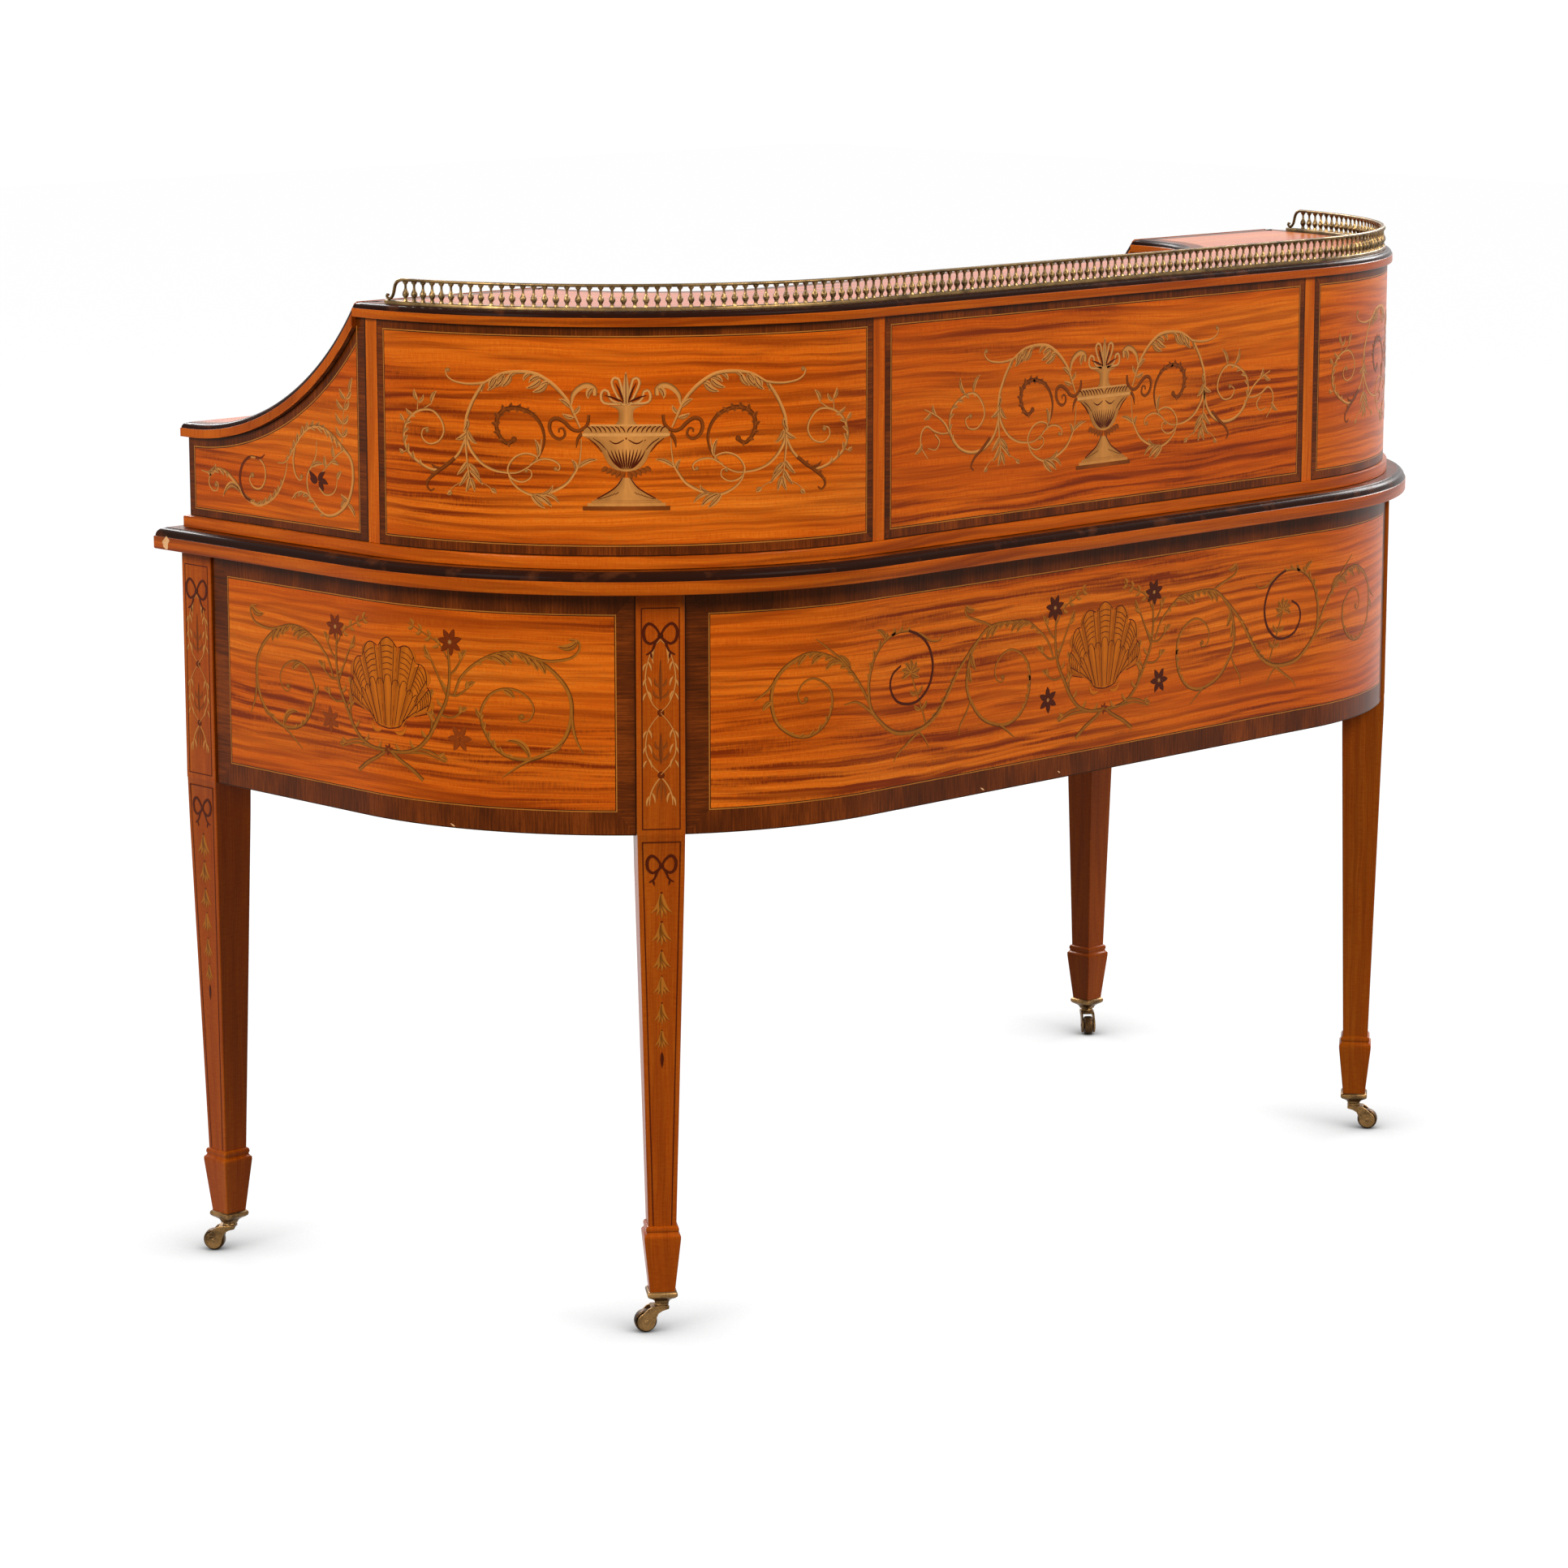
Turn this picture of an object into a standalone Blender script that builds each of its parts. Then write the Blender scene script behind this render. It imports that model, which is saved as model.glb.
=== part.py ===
"""Carlton House desk: a D-shaped satinwood writing table on casters with a raised, galleried back.

Metres, +Z up. The writer sits on the -Y side; the curved back is on the +Y side.
"""

from math import acos, asin, cos, pi, radians, sin, sqrt

import bmesh
import bpy
from mathutils import Vector

# Driving dimensions
TABLE_WIDTH = 1.340
TABLE_DEPTH = 0.635
TABLE_OVERHANG = 0.019
CORNER_RADIUS = 0.329
CORNER_STEPS = 16
GAP = 0.0003

# The outline that the friezes follow: straight sides, two round corners and a straight back
FRIEZE_X = TABLE_WIDTH / 2 - TABLE_OVERHANG
FRIEZE_BACK = TABLE_DEPTH / 2 - TABLE_OVERHANG
TABLE_FRONT = -TABLE_DEPTH / 2
CORNER_X = FRIEZE_X - CORNER_RADIUS
CORNER_Y = FRIEZE_BACK - CORNER_RADIUS
FRIEZE_THICK = 0.018

# Casters, from the floor up
WHEEL_RADIUS = 0.0105
WHEEL_HALF = 0.0048
WHEEL_BEVEL = 0.0011
AXLE_RADIUS = 0.0018
AXLE_PROUD = 0.0006
TRAIL = 0.015
HORN_BACK = 0.0060
HORN_REACH = 0.0110
BOSS_RADIUS = 0.0042
CHEEK_INNER = 0.0055
CHEEK_OUTER = 0.0077
BRIDGE_BOTTOM = 2 * WHEEL_RADIUS + 0.0012
BRIDGE_TOP = BRIDGE_BOTTOM + 0.0028
CUP_BOTTOM = BRIDGE_TOP + 0.0028
CUP_NECK = 0.0092
CUP_LIP = 0.0030
CUP_NECK_HALF = 0.0092
CUP_WALL = 0.0012
SWIVEL_COLLAR = 0.0066
PIN_RADIUS = 0.0025
PIN_TOP = CUP_BOTTOM + 0.0067
PIN_CLEARANCE = 0.0004

# Heights, each standing on the one before
LEG_BOTTOM = CUP_BOTTOM + CUP_NECK
CUP_RIM = LEG_BOTTOM + CUP_LIP
LEG_LENGTH = 0.434
FRIEZE_HEIGHT = 0.221
TABLE_THICK = 0.0205
PLINTH_HEIGHT = 0.0115
PANEL_HEIGHT = 0.205
UPPER_THICK = 0.0135
STRIP_HEIGHT = 0.0035
BALUSTER_HEIGHT = 0.0175
RAIL_HEIGHT = 0.0030
FRIEZE_BOTTOM = LEG_BOTTOM + LEG_LENGTH
TABLE_BOTTOM = FRIEZE_BOTTOM + FRIEZE_HEIGHT
TABLE_TOP = TABLE_BOTTOM + TABLE_THICK
PLINTH_TOP = TABLE_TOP + PLINTH_HEIGHT
PANEL_TOP = PLINTH_TOP + PANEL_HEIGHT
UPPER_TOP = PANEL_TOP + UPPER_THICK
STRIP_TOP = UPPER_TOP + STRIP_HEIGHT
RAIL_BOTTOM = STRIP_TOP + BALUSTER_HEIGHT
RAIL_TOP = RAIL_BOTTOM + RAIL_HEIGHT

# Legs
LEG_HALF = 0.022
LEG_PROUD = 0.0025
LEG_SETBACK = 0.021
FRONT_LEG_X = FRIEZE_X + LEG_PROUD - LEG_HALF
FRONT_LEG_Y = TABLE_FRONT + LEG_SETBACK + LEG_HALF
REAR_LEG_ANGLE = radians(52.2)
REAR_LEG_RADIUS = CORNER_RADIUS + LEG_PROUD - LEG_HALF
SPADE_HEIGHT = 0.054
SPADE_TOP = LEG_BOTTOM + SPADE_HEIGHT
SPADE_HALF = 0.0168
SPADE_EASE = 0.0035
FOOT_HALF = 0.0113
ANKLE_HEIGHT = SPADE_TOP + 0.012
ANKLE_HALF = 0.0130
COLLAR_PROUD = 0.0022
COLLAR_HEIGHT = 0.0055

# Drawers in the frieze
BOARD = 0.012
DIVIDER = 0.016
SIDE_BAY = 0.316
KNEEHOLE_HALF = FRIEZE_X - SIDE_BAY
CENTRE_BAY_HEIGHT = 0.112
KNEEHOLE_TOP = TABLE_BOTTOM - CENTRE_BAY_HEIGHT
CASE_SETBACK = 0.0275
CASE_FRONT = TABLE_FRONT + CASE_SETBACK
DRAWER_PROUD = 0.0025
DRAWER_FRONT = CASE_FRONT - DRAWER_PROUD
DRAWER_PLAY = 0.0015
CENTRE_DRAWER_DEPTH = 0.420
SIDE_DRAWER_DEPTH = 0.340
DRAWER_WALL = 0.009
DRAWER_FRONT_WALL = 0.018
DRAWER_FLOOR = 0.007
BAY_DEPTH = 0.350
BAY_BACK = CASE_FRONT + BAY_DEPTH

# Drawer handles
PLATE_HALF_WIDTH = 0.039
PLATE_HALF_HEIGHT = 0.023
PLATE_THICK = 0.0012
POST_X = 0.030
POST_RADIUS = 0.004
POST_LENGTH = 0.011
BAIL_OUT = 0.0085
BAIL_ROD = 0.0013
BAIL_DROP = 0.0235
BAIL_PIN = 0.0030
BAIL_NECK = 0.0110
HANDLE_MARGIN = 0.135
HANDLE_X = KNEEHOLE_HALF - HANDLE_MARGIN

# Raised back: the writer's side has wings, concave cupboards and a straight bank of drawers
UPPER_INSET = 0.005
PANEL_THICK = 0.012
PANEL_BACK = FRIEZE_BACK - UPPER_INSET
WING_WIDTH = 0.226
WING_INNER_X = FRIEZE_X - WING_WIDTH
BANK_DEPTH = 0.1875
BANK_FRONT = FRIEZE_BACK - BANK_DEPTH
DOOR_RADIUS = 0.140
DOOR_THICK = 0.010
DOOR_PLAY = 0.0020
DOOR_STEPS = 10
DOOR_X = WING_INNER_X - DOOR_RADIUS
DOOR_Y = BANK_FRONT - DOOR_RADIUS
THIN = 0.010
WING_SETBACK = 0.027
WING_FRONT = TABLE_FRONT + WING_SETBACK
PLINTH_SETBACK = 0.021
PLINTH_FRONT = TABLE_FRONT + PLINTH_SETBACK
PLINTH_INSET = 0.001
PLINTH_LEDGE = 0.004
PLINTH_BREAK = DOOR_Y - 3 * GAP
STILE_Y = DOOR_Y + 0.0017
STILE_WIDTH = 0.0205
BACK_PANEL_HALF = CORNER_X - STILE_WIDTH
TOP_FRONT = DOOR_Y - 0.011
TOP_LEDGE = 0.005

# Edges of the tops: a satinwood band with an ebonised ovolo set back above it
EDGE_BAND = 0.6
EDGE_STEP = 0.0012
EDGE_DEPTH = 0.0088
UPPER_EDGE = 0.7

# Swept wing lids
LID_SETBACK = 0.0205
LID_FRONT = TABLE_FRONT + LID_SETBACK
LID_FLAT = 0.014
LID_SWEEP_START = LID_FRONT + LID_FLAT
LID_RISE = 0.1295
LID_LOW = UPPER_TOP - LID_RISE
LID_THICK = 0.0135
LID_STEPS = 14

# Small drawers and pigeonholes
SHELF = 0.008
SMALL_BAY_HEIGHT = 0.0795
SHELF_BOTTOM = PLINTH_TOP + SMALL_BAY_HEIGHT
SMALL_DRAWERS = 3
SMALL_DRAWER_BACK_ROOM = 0.0105
SMALL_WALL = 0.005
SMALL_FRONT_WALL = 0.010
SMALL_FLOOR = 0.004
UPRIGHT = 0.008
BANK_RECESS = 0.0015

# Brass gallery
GALLERY_INSET = 0.0105
GALLERY_START = radians(8.0)
STRIP_HALF = 0.0030
RAIL_HALF = 0.0020
BALUSTER_PITCH = 0.010
BALUSTER_FOOT = 0.0019
BALUSTER_BELLY = 0.0029
BALUSTER_NECK = 0.0012
SCROLL_REACH = 0.013
SCROLL_LAP = 0.004
SCROLL_THICK = 0.0014
SCROLL_STEPS = 10

# Leather
LEATHER_MARGIN = 0.039
LEATHER_HALF_WIDTH = WING_INNER_X - LEATHER_MARGIN
LEATHER_SETBACK = 0.0295
LEATHER_FRONT = TABLE_FRONT + LEATHER_SETBACK
LEATHER_BACK_MARGIN = 0.055
LEATHER_BACK = BANK_FRONT - LEATHER_BACK_MARGIN
LEATHER_THICK = 0.0012
POCKET = 0.0015


def clear_scene():
    for obj in list(bpy.data.objects):
        bpy.data.objects.remove(obj, do_unlink=True)


def new_collection(name, hidden=False):
    collection = bpy.data.collections.new(name)
    bpy.context.scene.collection.children.link(collection)
    collection.hide_render = hidden
    return collection


def new_material(name, colour, roughness, metallic=0.0):
    material = bpy.data.materials.new(name)
    material.use_nodes = True
    shader = material.node_tree.nodes["Principled BSDF"]
    shader.inputs["Base Color"].default_value = (*colour, 1.0)
    shader.inputs["Roughness"].default_value = roughness
    shader.inputs["Metallic"].default_value = metallic
    return material


clear_scene()
DESK = new_collection("carlton_house_desk")
CUTTERS = new_collection("cutters", hidden=True)
SATINWOOD = new_material("satinwood", (0.55, 0.20, 0.05), 0.30)
LEATHER = new_material("leather", (0.03, 0.09, 0.05), 0.50)
DRAWER_WOOD = new_material("drawer_wood", (0.55, 0.30, 0.13), 0.40)
BRASS = new_material("brass", (0.55, 0.38, 0.14), 0.32, 1.0)


def add_object(name, data, material, location=(0, 0, 0), parent=None):
    obj = bpy.data.objects.new(name, data)
    data.materials.append(material)
    obj.location = location
    obj.parent = parent
    DESK.objects.link(obj)
    return obj


def add_helper(name, data, location=(0, 0, 0), parent=None):
    """A shape that a Boolean joins or cuts away. It is not a part itself."""
    obj = bpy.data.objects.new(name, data)
    obj.location = location
    obj.parent = parent
    obj.hide_render = True
    obj.display_type = "WIRE"
    CUTTERS.objects.link(obj)
    return obj


def add_empty(name, location, turn=0.0, parent=None):
    empty = bpy.data.objects.new(name, None)
    empty.location = location
    empty.rotation_euler = (0, 0, turn)
    empty.parent = parent
    DESK.objects.link(empty)
    return empty


def boolean(obj, helper, operation):
    modifier = obj.modifiers.new(f"{operation.lower()}_{helper.name}", "BOOLEAN")
    modifier.operation = operation
    modifier.solver = "EXACT"
    modifier.object = helper


def finish_mesh(name, bm):
    bmesh.ops.recalc_face_normals(bm, faces=bm.faces)
    mesh = bpy.data.meshes.new(name)
    bm.to_mesh(mesh)
    bm.free()
    return mesh


def stacked_mesh(name, levels):
    """A face extruded from one level to the next. Every level has the same number of points."""
    bm = bmesh.new()
    corner = bm.verts.layers.int.new("corner")
    verts = []
    for number, point in enumerate(levels[0]):
        vert = bm.verts.new(point)
        vert[corner] = number
        verts.append(vert)
    face = bm.faces.new(verts)
    inside = []
    for level in levels[1:]:
        made = bmesh.ops.extrude_face_region(bm, geom=[face])["geom"]
        face = next(item for item in made if isinstance(item, bmesh.types.BMFace))
        inside.append(face)
        for vert in face.verts:
            vert.co = level[vert[corner]]
    bmesh.ops.delete(bm, geom=inside[:-1], context="FACES_ONLY")
    return finish_mesh(name, bm)


def flat(outline, z):
    return [Vector((x, y, z)) for x, y in outline]


def board_mesh(name, outline, bottom, top):
    return stacked_mesh(name, [flat(outline, bottom), flat(outline, top)])


def side_mesh(name, outline, x0, x1):
    """An outline drawn in (y, z) and extruded along X."""
    return stacked_mesh(name, [[Vector((x, y, z)) for y, z in outline] for x in (x0, x1)])


def front_mesh(name, outline, y0, y1):
    """An outline drawn in (x, z) and extruded along Y."""
    return stacked_mesh(name, [[Vector((x, y, z)) for x, z in outline] for y in (y0, y1)])


def rectangle(x0, x1, y0, y1):
    return [(x0, y0), (x1, y0), (x1, y1), (x0, y1)]


def square(half):
    return rectangle(-half, half, -half, half)


def arc(centre, radius, start, end, steps=CORNER_STEPS):
    angles = [start + (end - start) * step / steps for step in range(steps + 1)]
    return [(centre[0] + radius * cos(a), centre[1] + radius * sin(a)) for a in angles]


def mirrored(outline):
    return [(-x, y) for x, y in reversed(outline)]


def for_side(outline, side):
    return outline if side > 0 else mirrored(outline)


def box_mesh(name, x0, x1, y0, y1, z0, z1):
    return board_mesh(name, rectangle(x0, x1, y0, y1), z0, z1)


def cylinder_mesh(name, radius, bottom, top, steps=16):
    return board_mesh(name, arc((0, 0), radius, 0, 2 * pi * (steps - 1) / steps, steps - 1), bottom, top)


def turned_mesh(name, profile, steps):
    """A profile of (radius, height), run down its outer side, turned about Z with a Screw modifier."""
    bm = bmesh.new()
    verts = [bm.verts.new((radius, 0, height)) for radius, height in profile]
    for first, second in zip(verts, verts[1:]):
        bm.edges.new((first, second))
    if profile[0][0] > 0:
        bm.edges.new((verts[-1], verts[0]))
    mesh = bpy.data.meshes.new(f"{name}_profile")
    bm.to_mesh(mesh)
    bm.free()
    spinner = add_helper(f"{name}_spinner", mesh)
    screw = spinner.modifiers.new("turn", "SCREW")
    screw.steps = steps
    screw.render_steps = steps
    screw.use_merge_vertices = True
    screw.merge_threshold = 0.00005
    bpy.context.view_layer.update()
    made = bpy.data.meshes.new_from_object(spinner.evaluated_get(bpy.context.evaluated_depsgraph_get()))
    bpy.data.objects.remove(spinner, do_unlink=True)
    made.shade_smooth()
    made.set_sharp_from_angle(angle=radians(40))
    return made


def d_outline(offset, front):
    """The D of the desk, moved outwards by offset, from the right front corner round to the left."""
    radius = CORNER_RADIUS + offset
    start = asin(max(0.0, front - CORNER_Y) / radius)
    half = arc((CORNER_X, CORNER_Y), radius, start, pi / 2)
    if start == 0:
        half.insert(0, (FRIEZE_X + offset, front))
    return half + mirrored(half)


def u_outline(offset, front, inner_radius):
    """The U of the raised back: the D outside, and the wings, cupboards and bank inside."""
    inner = [(DOOR_X + inner_radius, front)] + arc((DOOR_X, DOOR_Y), inner_radius, 0, pi / 2, DOOR_STEPS)
    return d_outline(offset, front) + list(reversed(inner + mirrored(inner)))


def moulded_mesh(name, outline_at, profile):
    """A board whose edge steps in by each inset of the profile of (inset, height)."""
    return stacked_mesh(name, [flat(outline_at(inset), z) for inset, z in profile])


def tray_mesh(name, width, depth, height, wall, front_wall, floor):
    """A drawer: a box open at the top. Its origin is the middle of the foot of its front."""
    outer = rectangle(-width / 2, width / 2, 0, depth)
    inner = rectangle(-width / 2 + wall, width / 2 - wall, front_wall, depth - wall)
    return stacked_mesh(name, [flat(outer, 0), flat(outer, height), flat(inner, height), flat(inner, floor)])


# Legs

def leg_mesh():
    sections = [
        (LEG_HALF, TABLE_BOTTOM - GAP),
        (LEG_HALF, FRIEZE_BOTTOM),
        (ANKLE_HALF, ANKLE_HEIGHT),
        (ANKLE_HALF + COLLAR_PROUD, ANKLE_HEIGHT - COLLAR_HEIGHT / 2),
        (ANKLE_HALF + COLLAR_PROUD, ANKLE_HEIGHT - COLLAR_HEIGHT),
        (SPADE_HALF, SPADE_TOP + SPADE_EASE),
        (SPADE_HALF, SPADE_TOP),
        (FOOT_HALF, LEG_BOTTOM),
    ]
    return stacked_mesh("leg", [flat(square(half), z) for half, z in sections])


def leg_place(side, rear):
    """Where a leg stands, and how far it is turned."""
    if not rear:
        return (side * FRONT_LEG_X, FRONT_LEG_Y), 0.0
    x = CORNER_X + REAR_LEG_RADIUS * cos(REAR_LEG_ANGLE)
    y = CORNER_Y + REAR_LEG_RADIUS * sin(REAR_LEG_ANGLE)
    turn = REAR_LEG_ANGLE - pi / 2
    return (side * x, y), side * turn


def cup_mesh():
    recess = FOOT_HALF + (CUP_RIM - LEG_BOTTOM) * (SPADE_HALF - FOOT_HALF) / (SPADE_TOP - LEG_BOTTOM) + GAP
    sections = [
        (CUP_NECK_HALF, CUP_BOTTOM),
        (CUP_NECK_HALF + CUP_WALL, CUP_BOTTOM + 2 * CUP_WALL),
        (FOOT_HALF, LEG_BOTTOM - CUP_WALL),
        (recess + CUP_WALL, LEG_BOTTOM + CUP_WALL),
        (recess + CUP_WALL, CUP_RIM),
        (recess, CUP_RIM),
        (recess, LEG_BOTTOM - GAP),
    ]
    return stacked_mesh("caster_cup", [flat(square(half), z) for half, z in sections])


def horn_cheek_outline():
    boss = arc((TRAIL, WHEEL_RADIUS), BOSS_RADIUS, radians(25), radians(-150), 8)
    return [(-HORN_BACK, BRIDGE_TOP), (HORN_REACH, BRIDGE_TOP)] + boss


def add_caster(label, place, swivel):
    """Cup on the foot, horn that swivels on its pin in the cup, and wheel on the horn's axle."""
    post = add_empty(f"caster_{label}", (*place, 0), swivel)
    bore = add_helper(f"cup_bore_{label}", cylinder_mesh(
        "bore", PIN_RADIUS + PIN_CLEARANCE, BRIDGE_TOP, PIN_TOP + PIN_CLEARANCE), (*place, 0))
    leg_turn = bpy.data.objects[f"leg_{label}"].rotation_euler[2]
    cup = add_object(f"caster_cup_{label}", cup_mesh(), BRASS, (*place, 0))
    cup.rotation_euler[2] = leg_turn
    boolean(cup, bore, "DIFFERENCE")

    horn = add_object(f"caster_horn_{label}", box_mesh(
        "horn", -HORN_BACK, HORN_REACH, -CHEEK_OUTER, CHEEK_OUTER, BRIDGE_BOTTOM, BRIDGE_TOP), BRASS, parent=post)
    for sign in (-1, 1):
        near, far = sorted((sign * CHEEK_INNER, sign * (CHEEK_OUTER + GAP)))
        cheek = front_mesh("cheek", horn_cheek_outline(), near, far)
        boolean(horn, add_helper(f"horn_cheek_{sign}_{label}", cheek, parent=post), "UNION")
    bridge = (BRIDGE_BOTTOM + BRIDGE_TOP) / 2
    pin_profile = [
        (0, PIN_TOP), (PIN_RADIUS, PIN_TOP), (PIN_RADIUS, CUP_BOTTOM - GAP),
        (SWIVEL_COLLAR, CUP_BOTTOM - GAP), (SWIVEL_COLLAR, bridge), (0, bridge),
    ]
    boolean(horn, add_helper(f"horn_pin_{label}", turned_mesh("pin", pin_profile, 12), parent=post), "UNION")
    axle_half = CHEEK_OUTER + AXLE_PROUD
    axle = add_helper(f"horn_axle_{label}", cylinder_mesh(
        "axle", AXLE_RADIUS, -axle_half, axle_half, 10), (TRAIL, 0, WHEEL_RADIUS), post)
    axle.rotation_euler[0] = pi / 2
    boolean(horn, axle, "UNION")

    bore_radius = AXLE_RADIUS + PIN_CLEARANCE
    rim = WHEEL_RADIUS - WHEEL_BEVEL
    tread = WHEEL_HALF - WHEEL_BEVEL
    wheel_profile = [
        (bore_radius, WHEEL_HALF), (rim, WHEEL_HALF), (WHEEL_RADIUS, tread),
        (WHEEL_RADIUS, -tread), (rim, -WHEEL_HALF), (bore_radius, -WHEEL_HALF),
    ]
    wheel = add_object(f"caster_wheel_{label}", turned_mesh("wheel", wheel_profile, 20), BRASS,
                       (TRAIL, 0, WHEEL_RADIUS), post)
    wheel.rotation_euler[0] = pi / 2


# Which way each caster trails, as the photograph shows them
CASTER_TURNS = {
    "front_right": radians(-50), "back_right": radians(-35),
    "back_left": radians(125), "front_left": radians(48),
}


def add_legs():
    for side, hand in ((1, "right"), (-1, "left")):
        for rear, end in ((False, "front"), (True, "back")):
            label = f"{end}_{hand}"
            place, turn = leg_place(side, rear)
            leg = add_object(f"leg_{label}", leg_mesh(), SATINWOOD, (*place, 0))
            leg.rotation_euler[2] = turn
            add_caster(label, place, CASTER_TURNS[label])


# Table carcase

def add_friezes():
    inner_radius = CORNER_RADIUS - FRIEZE_THICK
    centre = (CORNER_X, CORNER_Y)
    half_joint = LEG_HALF + GAP
    outer_turn = asin(half_joint / CORNER_RADIUS)
    inner_turn = asin(half_joint / inner_radius)
    front = FRONT_LEG_Y + LEG_HALF + GAP
    side_outline = (
        [(FRIEZE_X, front)]
        + arc(centre, CORNER_RADIUS, 0, REAR_LEG_ANGLE - outer_turn)
        + arc(centre, inner_radius, REAR_LEG_ANGLE - inner_turn, 0)
        + [(FRIEZE_X - FRIEZE_THICK, front)]
    )
    bottom, top = FRIEZE_BOTTOM, TABLE_BOTTOM - GAP
    for side, hand in ((1, "right"), (-1, "left")):
        mesh = board_mesh("side_frieze", for_side(side_outline, side), bottom, top)
        add_object(f"{hand}_frieze", mesh, SATINWOOD)
    outer = arc(centre, CORNER_RADIUS, REAR_LEG_ANGLE + outer_turn, pi / 2)
    inner = arc(centre, inner_radius, pi / 2, REAR_LEG_ANGLE + inner_turn)
    back_outline = outer + mirrored(outer) + mirrored(inner) + inner
    add_object("back_frieze", board_mesh("back_frieze", back_outline, bottom, top), SATINWOOD)


def add_bays():
    """Each bay frame is the kneehole side and the floor that its drawer slides on."""
    inner_radius = CORNER_RADIUS - FRIEZE_THICK - GAP
    leg_inner_x = FRONT_LEG_X - LEG_HALF - GAP
    leg_back_y = FRONT_LEG_Y + LEG_HALF + GAP
    inner_x = FRIEZE_X - FRIEZE_THICK - GAP
    floor = (
        [(KNEEHOLE_HALF, CASE_FRONT), (leg_inner_x, CASE_FRONT), (leg_inner_x, leg_back_y), (inner_x, leg_back_y)]
        + arc((CORNER_X, CORNER_Y), inner_radius - GAP, 0, asin((BAY_BACK - CORNER_Y) / inner_radius), 6)
        + [(KNEEHOLE_HALF, BAY_BACK)]
    )
    divider_back = CORNER_Y + sqrt(inner_radius**2 - (KNEEHOLE_HALF + DIVIDER - CORNER_X) ** 2) - 2 * GAP
    divider = rectangle(KNEEHOLE_HALF, KNEEHOLE_HALF + DIVIDER, CASE_FRONT, divider_back)
    for side, hand in ((1, "right"), (-1, "left")):
        frame = add_object(f"{hand}_bay_frame", board_mesh(
            "bay_floor", for_side(floor, side), FRIEZE_BOTTOM, FRIEZE_BOTTOM + BOARD), SATINWOOD)
        wall = board_mesh("kneehole_side", for_side(divider, side), FRIEZE_BOTTOM, TABLE_BOTTOM - GAP)
        boolean(frame, add_helper(f"kneehole_side_{hand}", wall), "UNION")
    half = KNEEHOLE_HALF - GAP
    back = FRIEZE_BACK - FRIEZE_THICK - 4 * GAP
    add_object("kneehole_board", box_mesh(
        "kneehole_board", -half, half, CASE_FRONT, back, KNEEHOLE_TOP, KNEEHOLE_TOP + BOARD), SATINWOOD)


def table_outline(inset):
    return d_outline(TABLE_OVERHANG - inset, TABLE_FRONT + inset)


def edge_profile(bottom, top):
    """A satinwood band below an ebonised ovolo, as (inset, height)."""
    band_top = bottom + EDGE_BAND * (top - bottom)
    ovolo = top - band_top
    return [
        (EDGE_STEP, bottom), (0.0, bottom + EDGE_STEP), (0.0, band_top), (EDGE_STEP, band_top + 0.05 * ovolo),
        (0.23 * EDGE_DEPTH, band_top + 0.4 * ovolo), (0.51 * EDGE_DEPTH, band_top + 0.8 * ovolo),
        (0.91 * EDGE_DEPTH, band_top + 0.93 * ovolo), (EDGE_DEPTH, top),
    ]


def add_table_top():
    top = add_object("table_top", moulded_mesh(
        "table_top", table_outline, edge_profile(TABLE_BOTTOM, TABLE_TOP)), SATINWOOD)
    pocket = add_helper("leather_pocket", box_mesh(
        "pocket", -LEATHER_HALF_WIDTH, LEATHER_HALF_WIDTH, LEATHER_FRONT, LEATHER_BACK,
        TABLE_TOP - POCKET, TABLE_TOP + POCKET))
    boolean(top, pocket, "DIFFERENCE")
    half = LEATHER_HALF_WIDTH - GAP
    bottom = TABLE_TOP - POCKET + GAP
    add_object("writing_leather", box_mesh(
        "leather", -half, half, LEATHER_FRONT + GAP, LEATHER_BACK - GAP, bottom, bottom + LEATHER_THICK), LEATHER)


# Frieze drawers and their handles

def ellipse(half_width, half_height, steps=16):
    angles = [2 * pi * step / steps for step in range(steps)]
    return [(half_width * cos(a), half_height * sin(a)) for a in angles]


def bail_curve():
    """A swan-neck rod in the XZ plane. Its ends are the pins that turn in the posts."""
    arm = POST_X - POST_RADIUS - BAIL_ROD - PIN_CLEARANCE
    half = [(POST_X + BAIL_PIN, 0.0), (arm - BAIL_ROD, 0.0), (arm - 2 * BAIL_ROD, -2 * BAIL_ROD),
            (arm - 3 * BAIL_ROD, -BAIL_NECK), (0.74 * arm, -0.8 * BAIL_DROP), (0.4 * arm, -0.97 * BAIL_DROP)]
    points = half + [(0.0, -BAIL_DROP)] + mirrored(half)
    curve = bpy.data.curves.new("bail", "CURVE")
    curve.dimensions = "3D"
    curve.bevel_depth = BAIL_ROD
    curve.bevel_resolution = 1
    curve.use_fill_caps = True
    spline = curve.splines.new("POLY")
    spline.points.add(len(points) - 1)
    for point, (x, z) in zip(spline.points, points):
        point.co = (x, 0, z, 1)
    return curve


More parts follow.
